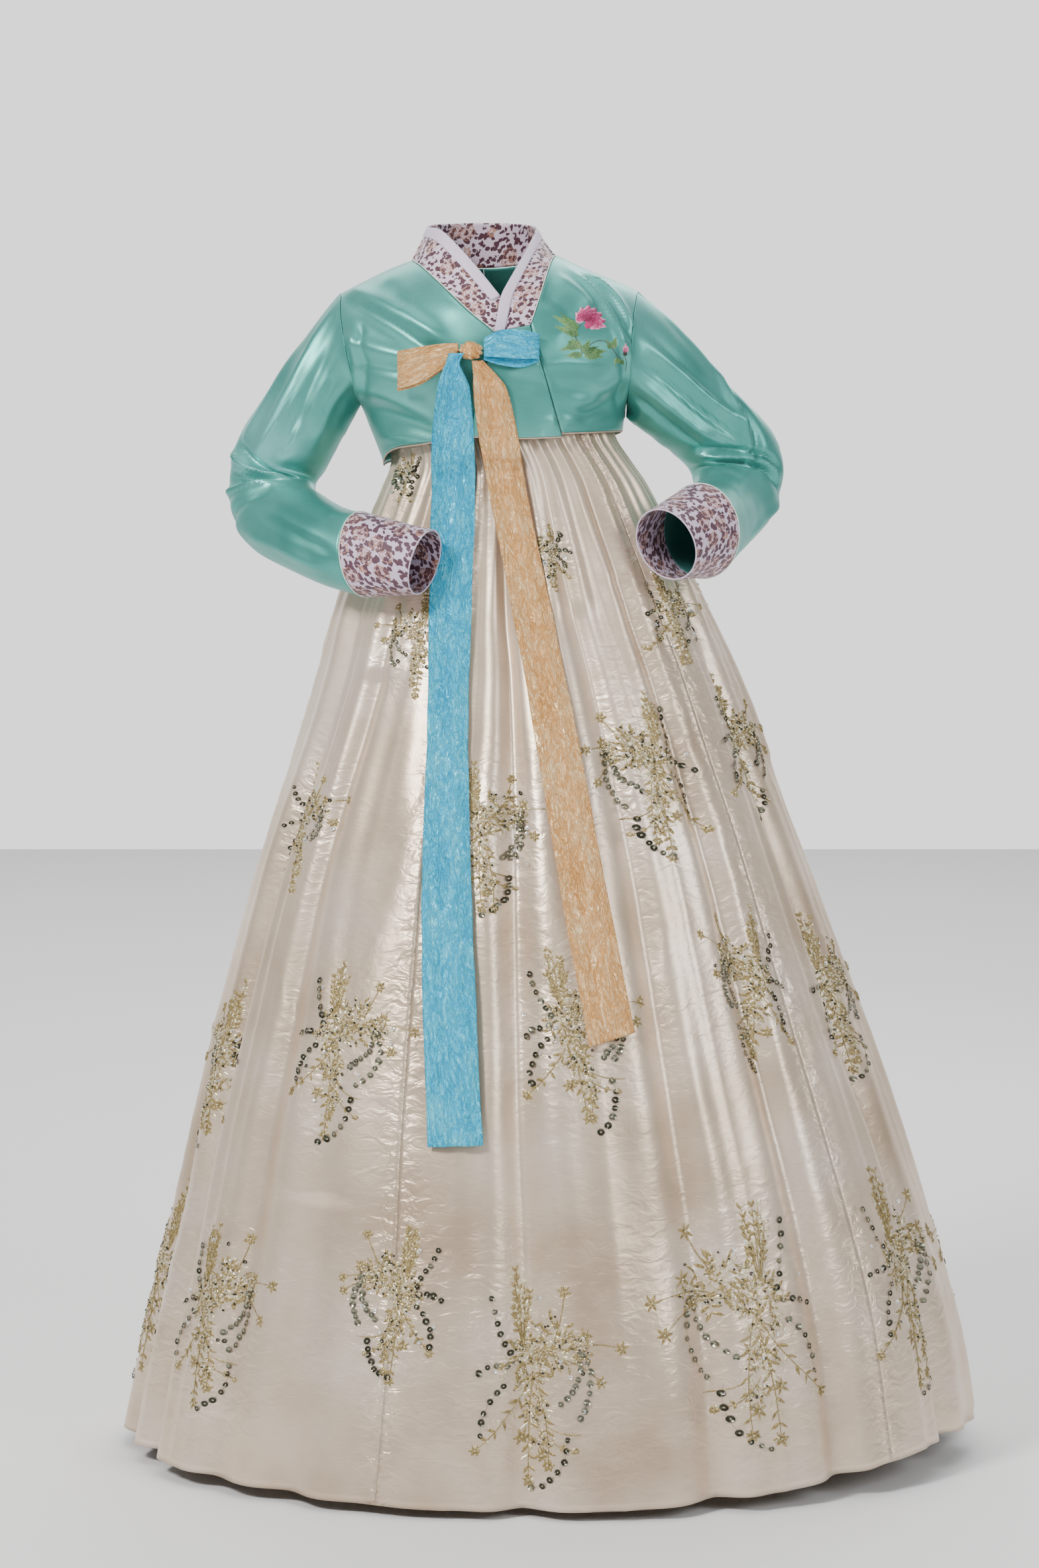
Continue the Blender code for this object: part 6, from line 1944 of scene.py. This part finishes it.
@dataclass
class Bow:
    """The bow: a wrapped knot, two loops and two long free ends."""
    blue: bpy.types.Material
    peach: bpy.types.Material
    form: JacketForm
    knot_x: float = -0.0245
    knot_height: float = 1.2470
    knot_half_width: float = 0.0140
    knot_half_depth: float = 0.0095
    knot_half_height: float = 0.0108
    loop_half_depth: float = 0.0075
    loop_flatness: float = 0.92
    loop_open_angle: float = 22.0
    loop_peach_length: float = 0.0715
    loop_blue_length: float = 0.0650
    lip_reach: float = 0.0060
    wall: float = 0.0010
    solid_wall: float = 0.0012
    clearance: float = 0.0006
    skirt_clearance: float = 0.0034
    ripple: float = 0.0015
    blue_start: float = 0.0165
    peach_start: float = 0.0060
    level_drop: float = 0.0150
    fall_drop: float = 0.0600
    below_hem: float = 0.0220
    fall_back: float = 0.5
    seam_gap: float = 0.0003
    knot_rings: int = 36
    knot_sides: int = 64
    loop_steps: int = 90
    ribbon_steps: int = 230
    columns: int = 26

    def build(self) -> None:
        """Makes the five pieces."""
        self.build_knot()
        self.build_loop("bow_loop_right", LOOP_PEACH, self.loop_peach_length, -1, self.peach,
                        "peach_gold_crepe")
        self.build_loop("bow_loop_left", LOOP_BLUE, self.loop_blue_length, 1, self.blue, "sky_blue_crepe")
        self.build_ribbon("ribbon_blue", RIBBON_BLUE, self.blue_start, self.blue, "sky_blue_crepe", 41)
        self.build_ribbon("ribbon_peach", RIBBON_PEACH, self.peach_start, self.peach, "peach_gold_crepe", 43)

    def jacket_front(self, x: Array, height: Array) -> Array:
        """How far forward the upper front layer lies."""
        return self.form.points(x, height, Layer.UPPER_FRONT)[..., 1]

    def build_knot(self) -> None:
        """Makes the knot, with the folds of its wrapped turn."""
        rings, sides = self.knot_rings, self.knot_sides
        polar = np.pi * np.arange(1, rings) / rings
        turn = turns(sides)
        x = np.sin(polar)[:, None] * np.cos(turn)[None]
        y = np.sin(polar)[:, None] * np.sin(turn)[None]
        z = np.broadcast_to(np.cos(polar)[:, None], x.shape)
        slant = z * 1.1 + x * 0.55
        pleats = 0.085 * np.sin(9.0 * slant) + 0.04 * np.sin(17.0 * slant + 2.0 * x)
        scale = 0.95 + pleats * np.clip(np.sin(polar)[:, None] * 1.5, 0, 1)
        beside = np.array(self.knot_x + self.knot_half_width)
        cover = float(self.jacket_front(beside, np.array(self.knot_height)))
        middle_y = cover - self.clearance - self.knot_half_depth
        size = np.array([self.knot_half_width, self.knot_half_depth, self.knot_half_height])
        centre = np.array([self.knot_x, middle_y, self.knot_height])
        body = np.stack([x, y, z], axis=-1) * scale[..., None] * size + centre
        poles = np.array([[0, 0, 0.95], [0, 0, -0.95]]) * size + centre
        verts = np.concatenate([body.reshape(-1, 3), poles])
        faces: list[tuple[int, ...]] = []
        top, bottom = (rings - 1) * sides, (rings - 1) * sides + 1
        for index in range(sides):
            other = (index + 1) % sides
            faces.append((top, index, other))
            for ring in range(rings - 2):
                here, below = ring * sides, (ring + 1) * sides
                faces.append((here + index, below + index, below + other, here + other))
            last = (rings - 2) * sides
            faces.append((last + index, bottom, last + other))
        knot = Piece("bow_knot_wrapped", verts, faces)
        layer = knot.mesh.uv_layers.new(name="cut")
        corner_verts = np.zeros(len(knot.mesh.loops), np.int32)
        knot.mesh.loops.foreach_get("vertex_index", corner_verts)
        flat = np.stack([verts[:, 0], verts[:, 2] + 0.5 * verts[:, 0]], axis=1)[corner_verts]
        layer.data.foreach_set("uv", flat.reshape(-1).astype(np.float32))
        knot.dress(self.peach, "peach_gold_crepe")
        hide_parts("bow_knot")

    def build_loop(self, name: str, rows: Sequence[LoopSection], length: float, side: int,
                   material: bpy.types.Material, slot: str) -> None:
        """Makes a flattened loop, gathered where it leaves the knot and open along its lower edge."""
        steps = self.loop_steps
        closed_angle = 360 - 2 * self.loop_open_angle
        turn = np.radians(self.loop_open_angle + closed_angle * np.arange(steps + 1) / steps)
        along = (1 - np.cos(turn)) / 2
        first = (1 - math.cos(math.radians(self.loop_open_angle))) / 2
        upper, lower, behind = (by_key(rows, "along", name, along)
                                for name in ("upper", "lower", "lower_behind"))
        lower = lower + (behind - lower) * smooth_step(0.5 + np.sin(turn))
        x = self.knot_x + side * (self.knot_half_width + self.seam_gap + length * (along - first))
        off = self.loop_half_depth * (1 - np.sin(turn) * self.loop_flatness)
        off = off + self.solid_wall + self.clearance
        body = self.jacket_front(x, (upper + behind) / 2)
        across = shares(self.columns)
        height = upper[:, None] + (lower - upper)[:, None] * across[None]
        pinch = 1.0 - smooth_step(along / 0.55)
        pleat = 0.0014 * np.cos(2 * np.pi * 2.5 * across)[None] * pinch[:, None]
        noise = SoftNoise(51 + side)
        run = np.concatenate([[0.0], np.cumsum(np.hypot(np.diff(x), np.diff(off)))])
        rough = 0.0005 * noise.at(across[None] * 0.045, run[:, None], 0.006, 0.011)
        fold = fold_height(LOOP_FOLDS, along[:, None], across[None])
        front = (np.sin(turn) < 0)[:, None]
        lip = self.lip_reach * smooth_step((across - 0.72) / 0.28)[None] * smooth_step(np.sin(turn))[:, None]
        rise = np.where(front, np.abs(pleat) + rough + fold, 0.3 * np.abs(pleat) + lip)
        y = body[:, None] - off[:, None] - rise
        grid = np.stack([np.broadcast_to(x[:, None], y.shape), y, height], axis=-1)
        middle_x = self.knot_x + side * (self.knot_half_width + length / 2)
        middle_height = (rows[1].upper + rows[1].lower) / 2
        cover = float(self.jacket_front(np.array(middle_x), np.array(middle_height)))
        middle_y = cover - self.loop_half_depth
        shell = Shell(name + "_crepe", grid, self.wall, (middle_x, middle_y, middle_height))
        shell.stand_for(name, material, slot, "folded", ["bow_knot_wrapped"])

    def front_y(self, x: Array, height: Array) -> Array:
        """The foremost surface of the jacket or of the skirt's gathers, seen from the front."""
        hem = JACKET_HEM_OVERLAP[1].height - self.below_hem
        jacket = self.jacket_front(x, np.maximum(height, hem))
        jacket = jacket + np.maximum(hem - height, 0.0) * self.fall_back
        centre, half_width, front = at_height(SKIRT, height, "centre", "half_width", "front_depth")
        crest = -front * np.sqrt(1.0 - np.clip(np.abs(x - centre) / half_width, 0, 0.99) ** 2)
        return np.where(height > SKIRT[0].height, jacket, np.minimum(jacket, crest))

    def build_ribbon(self, name: str, rows: Sequence[RibbonSection], start: float,
                     material: bpy.types.Material, slot: str, seed: int) -> None:
        """Makes a long end of the bow, crinkled and lightly waved, lying down the front."""
        top = rows[0].height
        length = top - rows[-1].height
        share = shares(self.ribbon_steps)
        level = top - length * (0.6 * share + 0.4 * share ** 1.6)
        across = shares(self.columns) - 0.5
        x0, width, slope = at_height(rows, level, "x", "width", "slope")
        noise = SoftNoise(seed)
        edge = 0.0010 * noise.at(level, np.zeros_like(level), 0.035, 1.0)
        x = x0[:, None] + (width + edge)[:, None] * across[None]
        height = level[:, None] + (slope * width)[:, None] * across[None]
        near = 1.0 - smooth_step((top - level - self.level_drop) / self.fall_drop)
        wave = self.ripple * np.cos(4 * np.pi * across)[None] * (1 - near)[:, None]
        gather = 0.0016 * np.cos(2 * np.pi * 2.5 * across)[None] * near[:, None]
        rough = 0.00055 * noise.at(x, height, 0.0045, 0.0130) + 0.0005 * noise.at(x, height, 0.012, 0.045)
        off = self.solid_wall + self.clearance + self.ripple + start * near
        off = off + self.skirt_clearance * smooth_step((SKIRT[1].height - level) / 0.10)
        y = self.front_y(x, height) - off[:, None] + wave - np.abs(gather) + rough * 0.8
        grid = np.stack([x, y, height], axis=-1)
        shell = Shell(name + "_crepe", grid, self.wall, RIBBON_INSIDE)
        shell.stand_for(name, material, slot, "hung", ["bow_knot_wrapped"])


class ClothPatch:
    """A part of a finished panel seen from the front, on which threads are laid."""

    def __init__(self, grid: Array, centre: Place) -> None:
        """Keeps the panel's points and its outward directions.

        Args:
            grid: the points of the panel's outer face.
            centre: the patch's own middle.
        """
        normals = grid_normals(grid)
        self.points = grid.reshape(-1, 3)
        self.normals = np.where(normals[..., 1:2] > 0, -normals, normals).reshape(-1, 3)
        self.centre = np.array([centre.x, centre.height])
        self.tree = KDTree(len(self.points))
        for index, point in enumerate(self.points):
            self.tree.insert((point[0], point[2], 0.0), index)
        self.tree.balance()

    def lay(self, flat: Array, lift: Array | float) -> Array:
        """Points just above the panel.

        Args:
            flat: places in metres right of the middle and above it.
            lift: how far outside the cloth.

        Returns:
            The points.
        """
        places = np.reshape(flat, (-1, 2)) + self.centre
        nearest = np.array([self.tree.find((x, height, 0.0))[1] for x, height in places])
        base, normal = self.points[nearest], self.normals[nearest]
        slope_x = -normal[:, 0] / normal[:, 1]
        slope_height = -normal[:, 2] / normal[:, 1]
        y = base[:, 1] + slope_x * (places[:, 0] - base[:, 0]) + slope_height * (places[:, 1] - base[:, 2])
        lifts = np.broadcast_to(np.asarray(lift, float), np.shape(flat)[:-1]).reshape(-1, 1)
        points = np.stack([places[:, 0], y, places[:, 1]], axis=1) + normal * lifts
        return points.reshape(*np.shape(flat)[:-1], 3)


class Petal(NamedTuple):
    """A petal or leaf of satin stitch, in millimetres from the flower's middle, and its finish."""
    base_x: float
    base_y: float
    tip_x: float
    tip_y: float
    half_width: float
    finish: str


class StemLine(NamedTuple):
    """A couched stem through places in millimetres from the flower's middle."""
    places: tuple[tuple[float, float], ...]
    width: float
    finish: str


PEONY_PETALS = table(
    Petal,
    (-9, -6, -17.2, 5, 5.9, "petal_pale"), (-8, -4, -11.6, 11.1, 6.6, "petal_pale"),
    (-6, -3, -3.3, 13.4, 7.4, "petal_pale"), (-4, -3, 6, 11.6, 7, "petal_pale"),
    (-2, -4, 12.6, 5.6, 7, "petal_pale"), (0, -5, 17.3, -3.1, 6.6, "petal_pale"),
    (2, -7, 18.4, -11.6, 5.7, "petal_pale"), (0, -8, 9.1, -13.5, 4.9, "petal_pale"),
    (-9, -5, -14.2, 5.5, 5.7, "petal_magenta"), (-8, -4, -9, 10.7, 6.8, "petal_magenta"),
    (-6, -4, -0.8, 12.3, 7.2, "petal_magenta"), (-4, -4, 7.5, 9.1, 6.8, "petal_magenta"),
    (-3, -5, 13.8, 2.9, 6.8, "petal_magenta"), (-1, -6, 17.4, -5, 6.3, "petal_magenta"),
    (0, -7, 15.7, -11.2, 5, "petal_magenta"), (-6, -7, 4.5, -11.2, 5, "petal_magenta"),
    (-9, -5, -4.3, 4.3, 3.2, "petal_deep"), (-6, -5, 3.3, 3.4, 3.2, "petal_deep"),
    (-4, -6, 8.1, -2.3, 3.2, "petal_deep"), (-3, -7, 8.2, -7.9, 2.7, "petal_deep"),
    (-14, -13, -43.7, 1.3, 5, "leaf_light"), (-15, -15, -34.8, 4.8, 3.5, "leaf_green"),
    (-15, -19, -41.4, -11.3, 4.6, "leaf_light"), (-14, -21, -32.7, -16.6, 3.3, "leaf_green"),
    (-12, -30, -36.2, -38.8, 4.4, "leaf_light"), (-13, -32, -27.3, -27.6, 3.9, "leaf_green"),
    (-11, -36, -24.2, -22.8, 3.9, "leaf_light"), (-9, -40, -0.2, -25.7, 3.9, "leaf_light"),
    (-8, -41, 9.6, -33.3, 3.5, "leaf_green"), (-7, -43, 15, -45.2, 4.4, "leaf_light"),
    (-10, -43, -29.8, -44.1, 3.5, "leaf_light"), (1, -40, 18.6, -38.9, 3.3, "leaf_light"),
    (25, -36, 29.4, -21.7, 3.3, "leaf_light"), (23, -36, 17.5, -25, 2.4, "leaf_green"),
    (32, -47, 26.5, -54.7, 2.8, "leaf_light"), (34, -49, 38.4, -54.5, 2.4, "leaf_green"),
    (40, -40, 40, -29.8, 3, "petal_pale"), (40, -41, 39.1, -33.6, 1.8, "petal_magenta"),
    (40, -44, 37.8, -37.4, 2, "leaf_dark"),
)
PEONY_STEMS = table(
    StemLine,
    (((-10, -8), (-17, -16), (-17, -24), (-12, -31), (-10, -45)), 1.5, "leaf_dark"),
    (((-11, -43), (-4, -36), (3, -29), (13, -27), (21, -31), (27, -39), (33, -47), (39, -45)), 1.3, "leaf_dark"),
    (((-16, -18), (-24, -11), (-33, -5)), 0.8, "leaf_dark"),
    (((-12, -32), (-20, -34), (-28, -37)), 0.8, "leaf_dark"),
    (((39, -44), (41, -52), (40, -62)), 1.2, "leaf_dark"),
)


@dataclass
class Peony:
    """A peony with its leaves and a bud, stitched in satin stitch on the left chest."""
    finishes: dict[str, bpy.types.Material]
    centre: Place = Place(0.1105, 1.2855)
    thread_width: float = 0.00115
    rise: float = 0.0007
    millimetre: float = 0.001

    def build(self, panel: Array) -> None:
        """Stitches the flower.

        Args:
            panel: the points of the panel that it lies on.
        """
        cloth = ClothPatch(panel, self.centre)
        batches = {name: Stitches() for name in self.finishes}
        for stem in PEONY_STEMS:
            places = np.array(stem.places) * self.millimetre
            share = np.arange(6 * len(places)) / (6 * len(places) - 1) * (len(places) - 1)
            line = np.stack([track(range(len(places)), places[:, axis], share) for axis in range(2)], axis=1)
            batches[stem.finish].thread(cloth.lay, line, stem.width * self.millimetre, self.rise)
        for order, petal in enumerate(PEONY_PETALS):
            self.fill(batches[petal.finish], cloth, petal, self.rise + 0.00004 * (order % 20))
        for name, batch in batches.items():
            batch.make("peony_" + name, self.finishes[name], "sea_green_silk")

    def fill(self, batch: Stitches, cloth: ClothPatch, petal: Petal, rise: float) -> None:
        """Fills one petal with threads from its base to its tip.

        Args:
            batch: the stitches of its finish.
            cloth: the cloth it lies on.
            petal: its base, tip and half width.
            rise: how far the threads' middles stand above the cloth.
        """
        base = np.array([petal.base_x, petal.base_y]) * self.millimetre
        tip = np.array([petal.tip_x, petal.tip_y]) * self.millimetre
        half = petal.half_width * self.millimetre
        along = unit(tip - base)
        side = np.array([-along[1], along[0]])
        count = max(3, int(round(2 * half / (self.thread_width * 0.75))))
        share = np.arange(6) / 5
        for index in range(count):
            across = (index / (count - 1) - 0.5) * 2
            reach = 1 - 0.30 * across ** 2 - 0.05 * ((index * 7) % 3)
            belly = np.sin(np.pi * np.clip(share * 0.9 + 0.08, 0, 1)) ** 0.7
            line = base + (tip - base) * (share * reach)[:, None] + side * (across * half * belly)[:, None]
            batch.thread(cloth.lay, line, self.thread_width, rise)


# ---------------------------------------------------------------- studio
class Lamp(NamedTuple):
    """A soft square light: its place, what it is aimed at, its size, its power and its colour."""
    name: str
    place: tuple[float, float, float]
    aim: tuple[float, float, float]
    size: float
    power: float
    colour: Colour


GARMENT_MIDDLE = (0.03, 0.0, -0.5)
LAMPS = table(
    Lamp,
    ("key", (-2.3, -3.0, 1.9), GARMENT_MIDDLE, 0.9, 190.0, (1.0, 0.985, 0.97)),
    ("fill", (2.6, -2.8, 0.8), GARMENT_MIDDLE, 1.6, 62.0, (0.97, 0.985, 1.0)),
    ("top", (0.2, -0.4, 2.6), GARMENT_MIDDLE, 2.0, 26.0, WHITE),
    ("rim", (1.4, 2.6, 1.2), GARMENT_MIDDLE, 1.8, 26.0, WHITE),
    ("floor wash", (0.0, 4.2, 3.2), (0.0, 4.2, 0.0), 5.0, 210.0, WHITE),
)


@dataclass
class Studio:
    """A plain pale floor, soft lights and a level camera."""
    floor_size: float = 14.0
    floor_grey: float = 0.86
    # The sky's strength rises from the first figure to the second towards the back
    sky_strength: tuple[float, float] = (0.32, 1.60)
    sky_reach: tuple[float, float] = (0.35, 0.85)

    def build(self) -> None:
        """Sets up the floor, the lights, the sky and the camera."""
        half = self.floor_size / 2
        corners = np.array([[-half, -half, 0], [half, -half, 0], [half, half, 0], [-half, half, 0]])
        floor = Piece("studio_floor", corners + np.array([0, 0, FLOOR_HEIGHT]), [(0, 1, 2, 3)])
        sketch = NodeSketch("pale_floor")
        sketch.shine(Roughness=0.9, Specular_IOR_Level=0.1)
        sketch.shader.inputs["Base Color"].default_value = (*[self.floor_grey] * 3, 1.0)
        floor.mesh.materials.append(sketch.material)
        for lamp in LAMPS:
            self.light(lamp)
        self.sky()
        self.camera()

    def sky(self) -> None:
        """A white room, brighter behind the garment than in front of it."""
        world = bpy.data.worlds.new("pale_room")
        bpy.context.scene.world = world
        world.use_nodes = True
        tree = world.node_tree
        background = tree.nodes["Background"]
        direction = tree.nodes.new("ShaderNodeTexCoord")
        parts = tree.nodes.new("ShaderNodeSeparateXYZ")
        tree.links.new(direction.outputs["Generated"], parts.inputs[0])
        ramp = tree.nodes.new("ShaderNodeMapRange")
        tree.links.new(parts.outputs["Y"], ramp.inputs["Value"])
        limits = self.sky_reach + self.sky_strength
        for name, value in zip(("From Min", "From Max", "To Min", "To Max"), limits):
            ramp.inputs[name].default_value = value
        tree.links.new(ramp.outputs["Result"], background.inputs["Strength"])
        background.inputs["Color"].default_value = (*WHITE, 1.0)

    def light(self, lamp: Lamp) -> None:
        """Hangs one of the lights."""
        data = bpy.data.lights.new(lamp.name, "AREA")
        data.shape = "SQUARE"
        data.size = lamp.size
        data.energy = lamp.power
        data.color = lamp.colour
        fitting = bpy.data.objects.new(lamp.name, data)
        fitting.location = lamp.place
        fitting.rotation_euler = self.look_along(np.array(lamp.aim) - np.array(lamp.place))
        bpy.context.scene.collection.objects.link(fitting)

    def look_along(self, direction: Array) -> tuple[float, float, float]:
        """The turn that points a light or a camera along a direction."""
        flat = math.hypot(direction[0], direction[1])
        return (math.pi / 2 + math.atan2(direction[2], flat), 0.0, math.atan2(-direction[0], direction[1]))

    def camera(self) -> None:
        """Places the camera at the photograph's viewing angle."""
        data = bpy.data.cameras.new("camera")
        data.sensor_fit = "AUTO"
        data.sensor_width = SENSOR_MM
        data.lens = FOCAL_PIXELS / max(PHOTO_SIZE) * SENSOR_MM
        data.clip_end = 100.0
        camera = bpy.data.objects.new("camera", data)
        x, y, height = CAMERA_PLACE
        camera.location = (x, y, height - SHOULDER_HEIGHT)
        camera.rotation_euler = self.look_along(np.array([0.0, -y, CAMERA_AIM_HEIGHT - height]))
        bpy.context.scene.collection.objects.link(camera)
        bpy.context.scene.camera = camera


# In the satins and the crepes, deep is a painted shade colour and light a painted highlight colour
FINISHES = {
    "silk": SatinFinish("sea_green_satin", (0.108, 0.415, 0.368), (0.062, 0.305, 0.268),
                        (0.185, 0.530, 0.505), 0.40, 0.45, 0.04, 0.64),
    "champagne": SatinFinish("champagne_satin", (0.725, 0.580, 0.440), (0.580, 0.440, 0.310),
                             (0.830, 0.705, 0.590), 0.36, 0.52, 0.00, 0.54, pucker=0.0019),
    "brocade": BrocadeFinish("rose_brocade", (0.76, 0.62, 0.74), (0.085, 0.030, 0.045),
                             (0.52, 0.26, 0.19), 0.90),
    "cuff_brocade": BrocadeFinish("rose_brocade_dense", (0.68, 0.55, 0.70), (0.095, 0.040, 0.060),
                                  (0.48, 0.24, 0.18), 0.98),
    "strip": SatinFinish("lavender_white_silk", (0.70, 0.60, 0.76), (0.64, 0.54, 0.70), (0.76, 0.68, 0.82),
                         0.55, 0.35, 0.2, 0.0),
    "blue": CrepeFinish("sky_blue_crepe", (0.020, 0.590, 0.920), (0.008, 0.370, 0.680),
                        (0.170, 0.800, 0.990)),
    "peach": CrepeFinish("peach_gold_crepe", (0.930, 0.500, 0.185), (0.660, 0.290, 0.070),
                         (0.990, 0.740, 0.420)),
    "cotton": SatinFinish("white_cotton", (0.80, 0.78, 0.74), (0.76, 0.74, 0.70), (0.84, 0.82, 0.79),
                          0.80, 0.25, 0.1, 0.0),
    "tan": ThreadFinish("tan_piping", (0.42, 0.27, 0.20), (0.60, 0.42, 0.33), 0.5),
    "pale": ThreadFinish("pale_green_edging", (0.62, 0.74, 0.66), (0.80, 0.86, 0.80), 0.5),
}
PEONY_FINISHES = {
    "petal_pale": ThreadFinish("pale_pink_thread", (0.70, 0.17, 0.35), (0.88, 0.46, 0.62), 0.4),
    "petal_magenta": ThreadFinish("magenta_thread", (0.36, 0.006, 0.100), (0.62, 0.020, 0.190), 0.4),
    "petal_deep": ThreadFinish("crimson_thread", (0.24, 0.005, 0.060), (0.40, 0.020, 0.110), 0.4),
    "leaf_light": ThreadFinish("light_green_thread", (0.085, 0.220, 0.055), (0.210, 0.390, 0.150), 0.4),
    "leaf_green": ThreadFinish("green_thread", (0.040, 0.130, 0.032), (0.095, 0.240, 0.075), 0.4),
    "leaf_dark": ThreadFinish("dark_stem_thread", (0.030, 0.055, 0.030), (0.080, 0.090, 0.060), 0.45),
}
SPRAY_FINISHES = {
    "gold": ThreadFinish("gold_thread", (0.140, 0.095, 0.028), (0.470, 0.360, 0.150), 0.38, 0.30),
    "pale_gold": ThreadFinish("pale_gold_thread", (0.430, 0.350, 0.200), (0.800, 0.720, 0.520), 0.30, 0.45),
    "dark_sequin": ThreadFinish("dark_sequin", (0.022, 0.022, 0.014), (0.060, 0.062, 0.040), 0.20, 0.65),
    "pale_sequin": ThreadFinish("pale_sequin", (0.110, 0.110, 0.075), (0.260, 0.265, 0.200), 0.18, 0.75),
    "pearl_sequin": ThreadFinish("pearl_sequin", (0.70, 0.72, 0.70), (0.92, 0.92, 0.90), 0.15, 0.55),
}


def made(finishes: dict[str, SatinFinish | CrepeFinish | BrocadeFinish | ThreadFinish]
         ) -> dict[str, bpy.types.Material]:
    """The materials of a table of finishes."""
    return {name: finish.build() for name, finish in finishes.items()}


def main() -> None:
    """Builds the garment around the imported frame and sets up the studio."""
    logging.basicConfig(level=logging.INFO, format="%(message)s")
    for leftover in list(bpy.data.objects):
        bpy.data.objects.remove(leftover, do_unlink=True)
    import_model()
    cloth = made(FINISHES)
    jacket = JacketBody(cloth["silk"], cloth["tan"])
    left_front = jacket.build()
    Peony(made(PEONY_FINISHES)).build(left_front)
    Collar(cloth["brocade"], cloth["strip"], cloth["pale"], jacket.collar).build()
    sleeve_cloth = (jacket.form, cloth["silk"], cloth["cuff_brocade"], cloth["pale"])
    Sleeve("sleeve_right", "cuff_right", SLEEVE_VIEWER_LEFT, ARMHOLE_VIEWER_LEFT, CREASES_VIEWER_LEFT,
           SLEEVE_LEFT_FOLDS, CUFF_END_VIEWER_LEFT, -1, *sleeve_cloth).build()
    Sleeve("sleeve_left", "cuff_left", SLEEVE_VIEWER_RIGHT, ARMHOLE_VIEWER_RIGHT, CREASES_VIEWER_RIGHT,
           SLEEVE_RIGHT_FOLDS, CUFF_END_VIEWER_RIGHT, 1, *sleeve_cloth).build()
    skirt = Skirt(cloth["champagne"], cloth["cotton"])
    skirt.build()
    SkirtEmbroidery(skirt.cloth, made(SPRAY_FINISHES)).build()
    Bow(cloth["blue"], cloth["peach"], jacket.form).build()
    Studio().build()


if __name__ == "__main__":
    main()
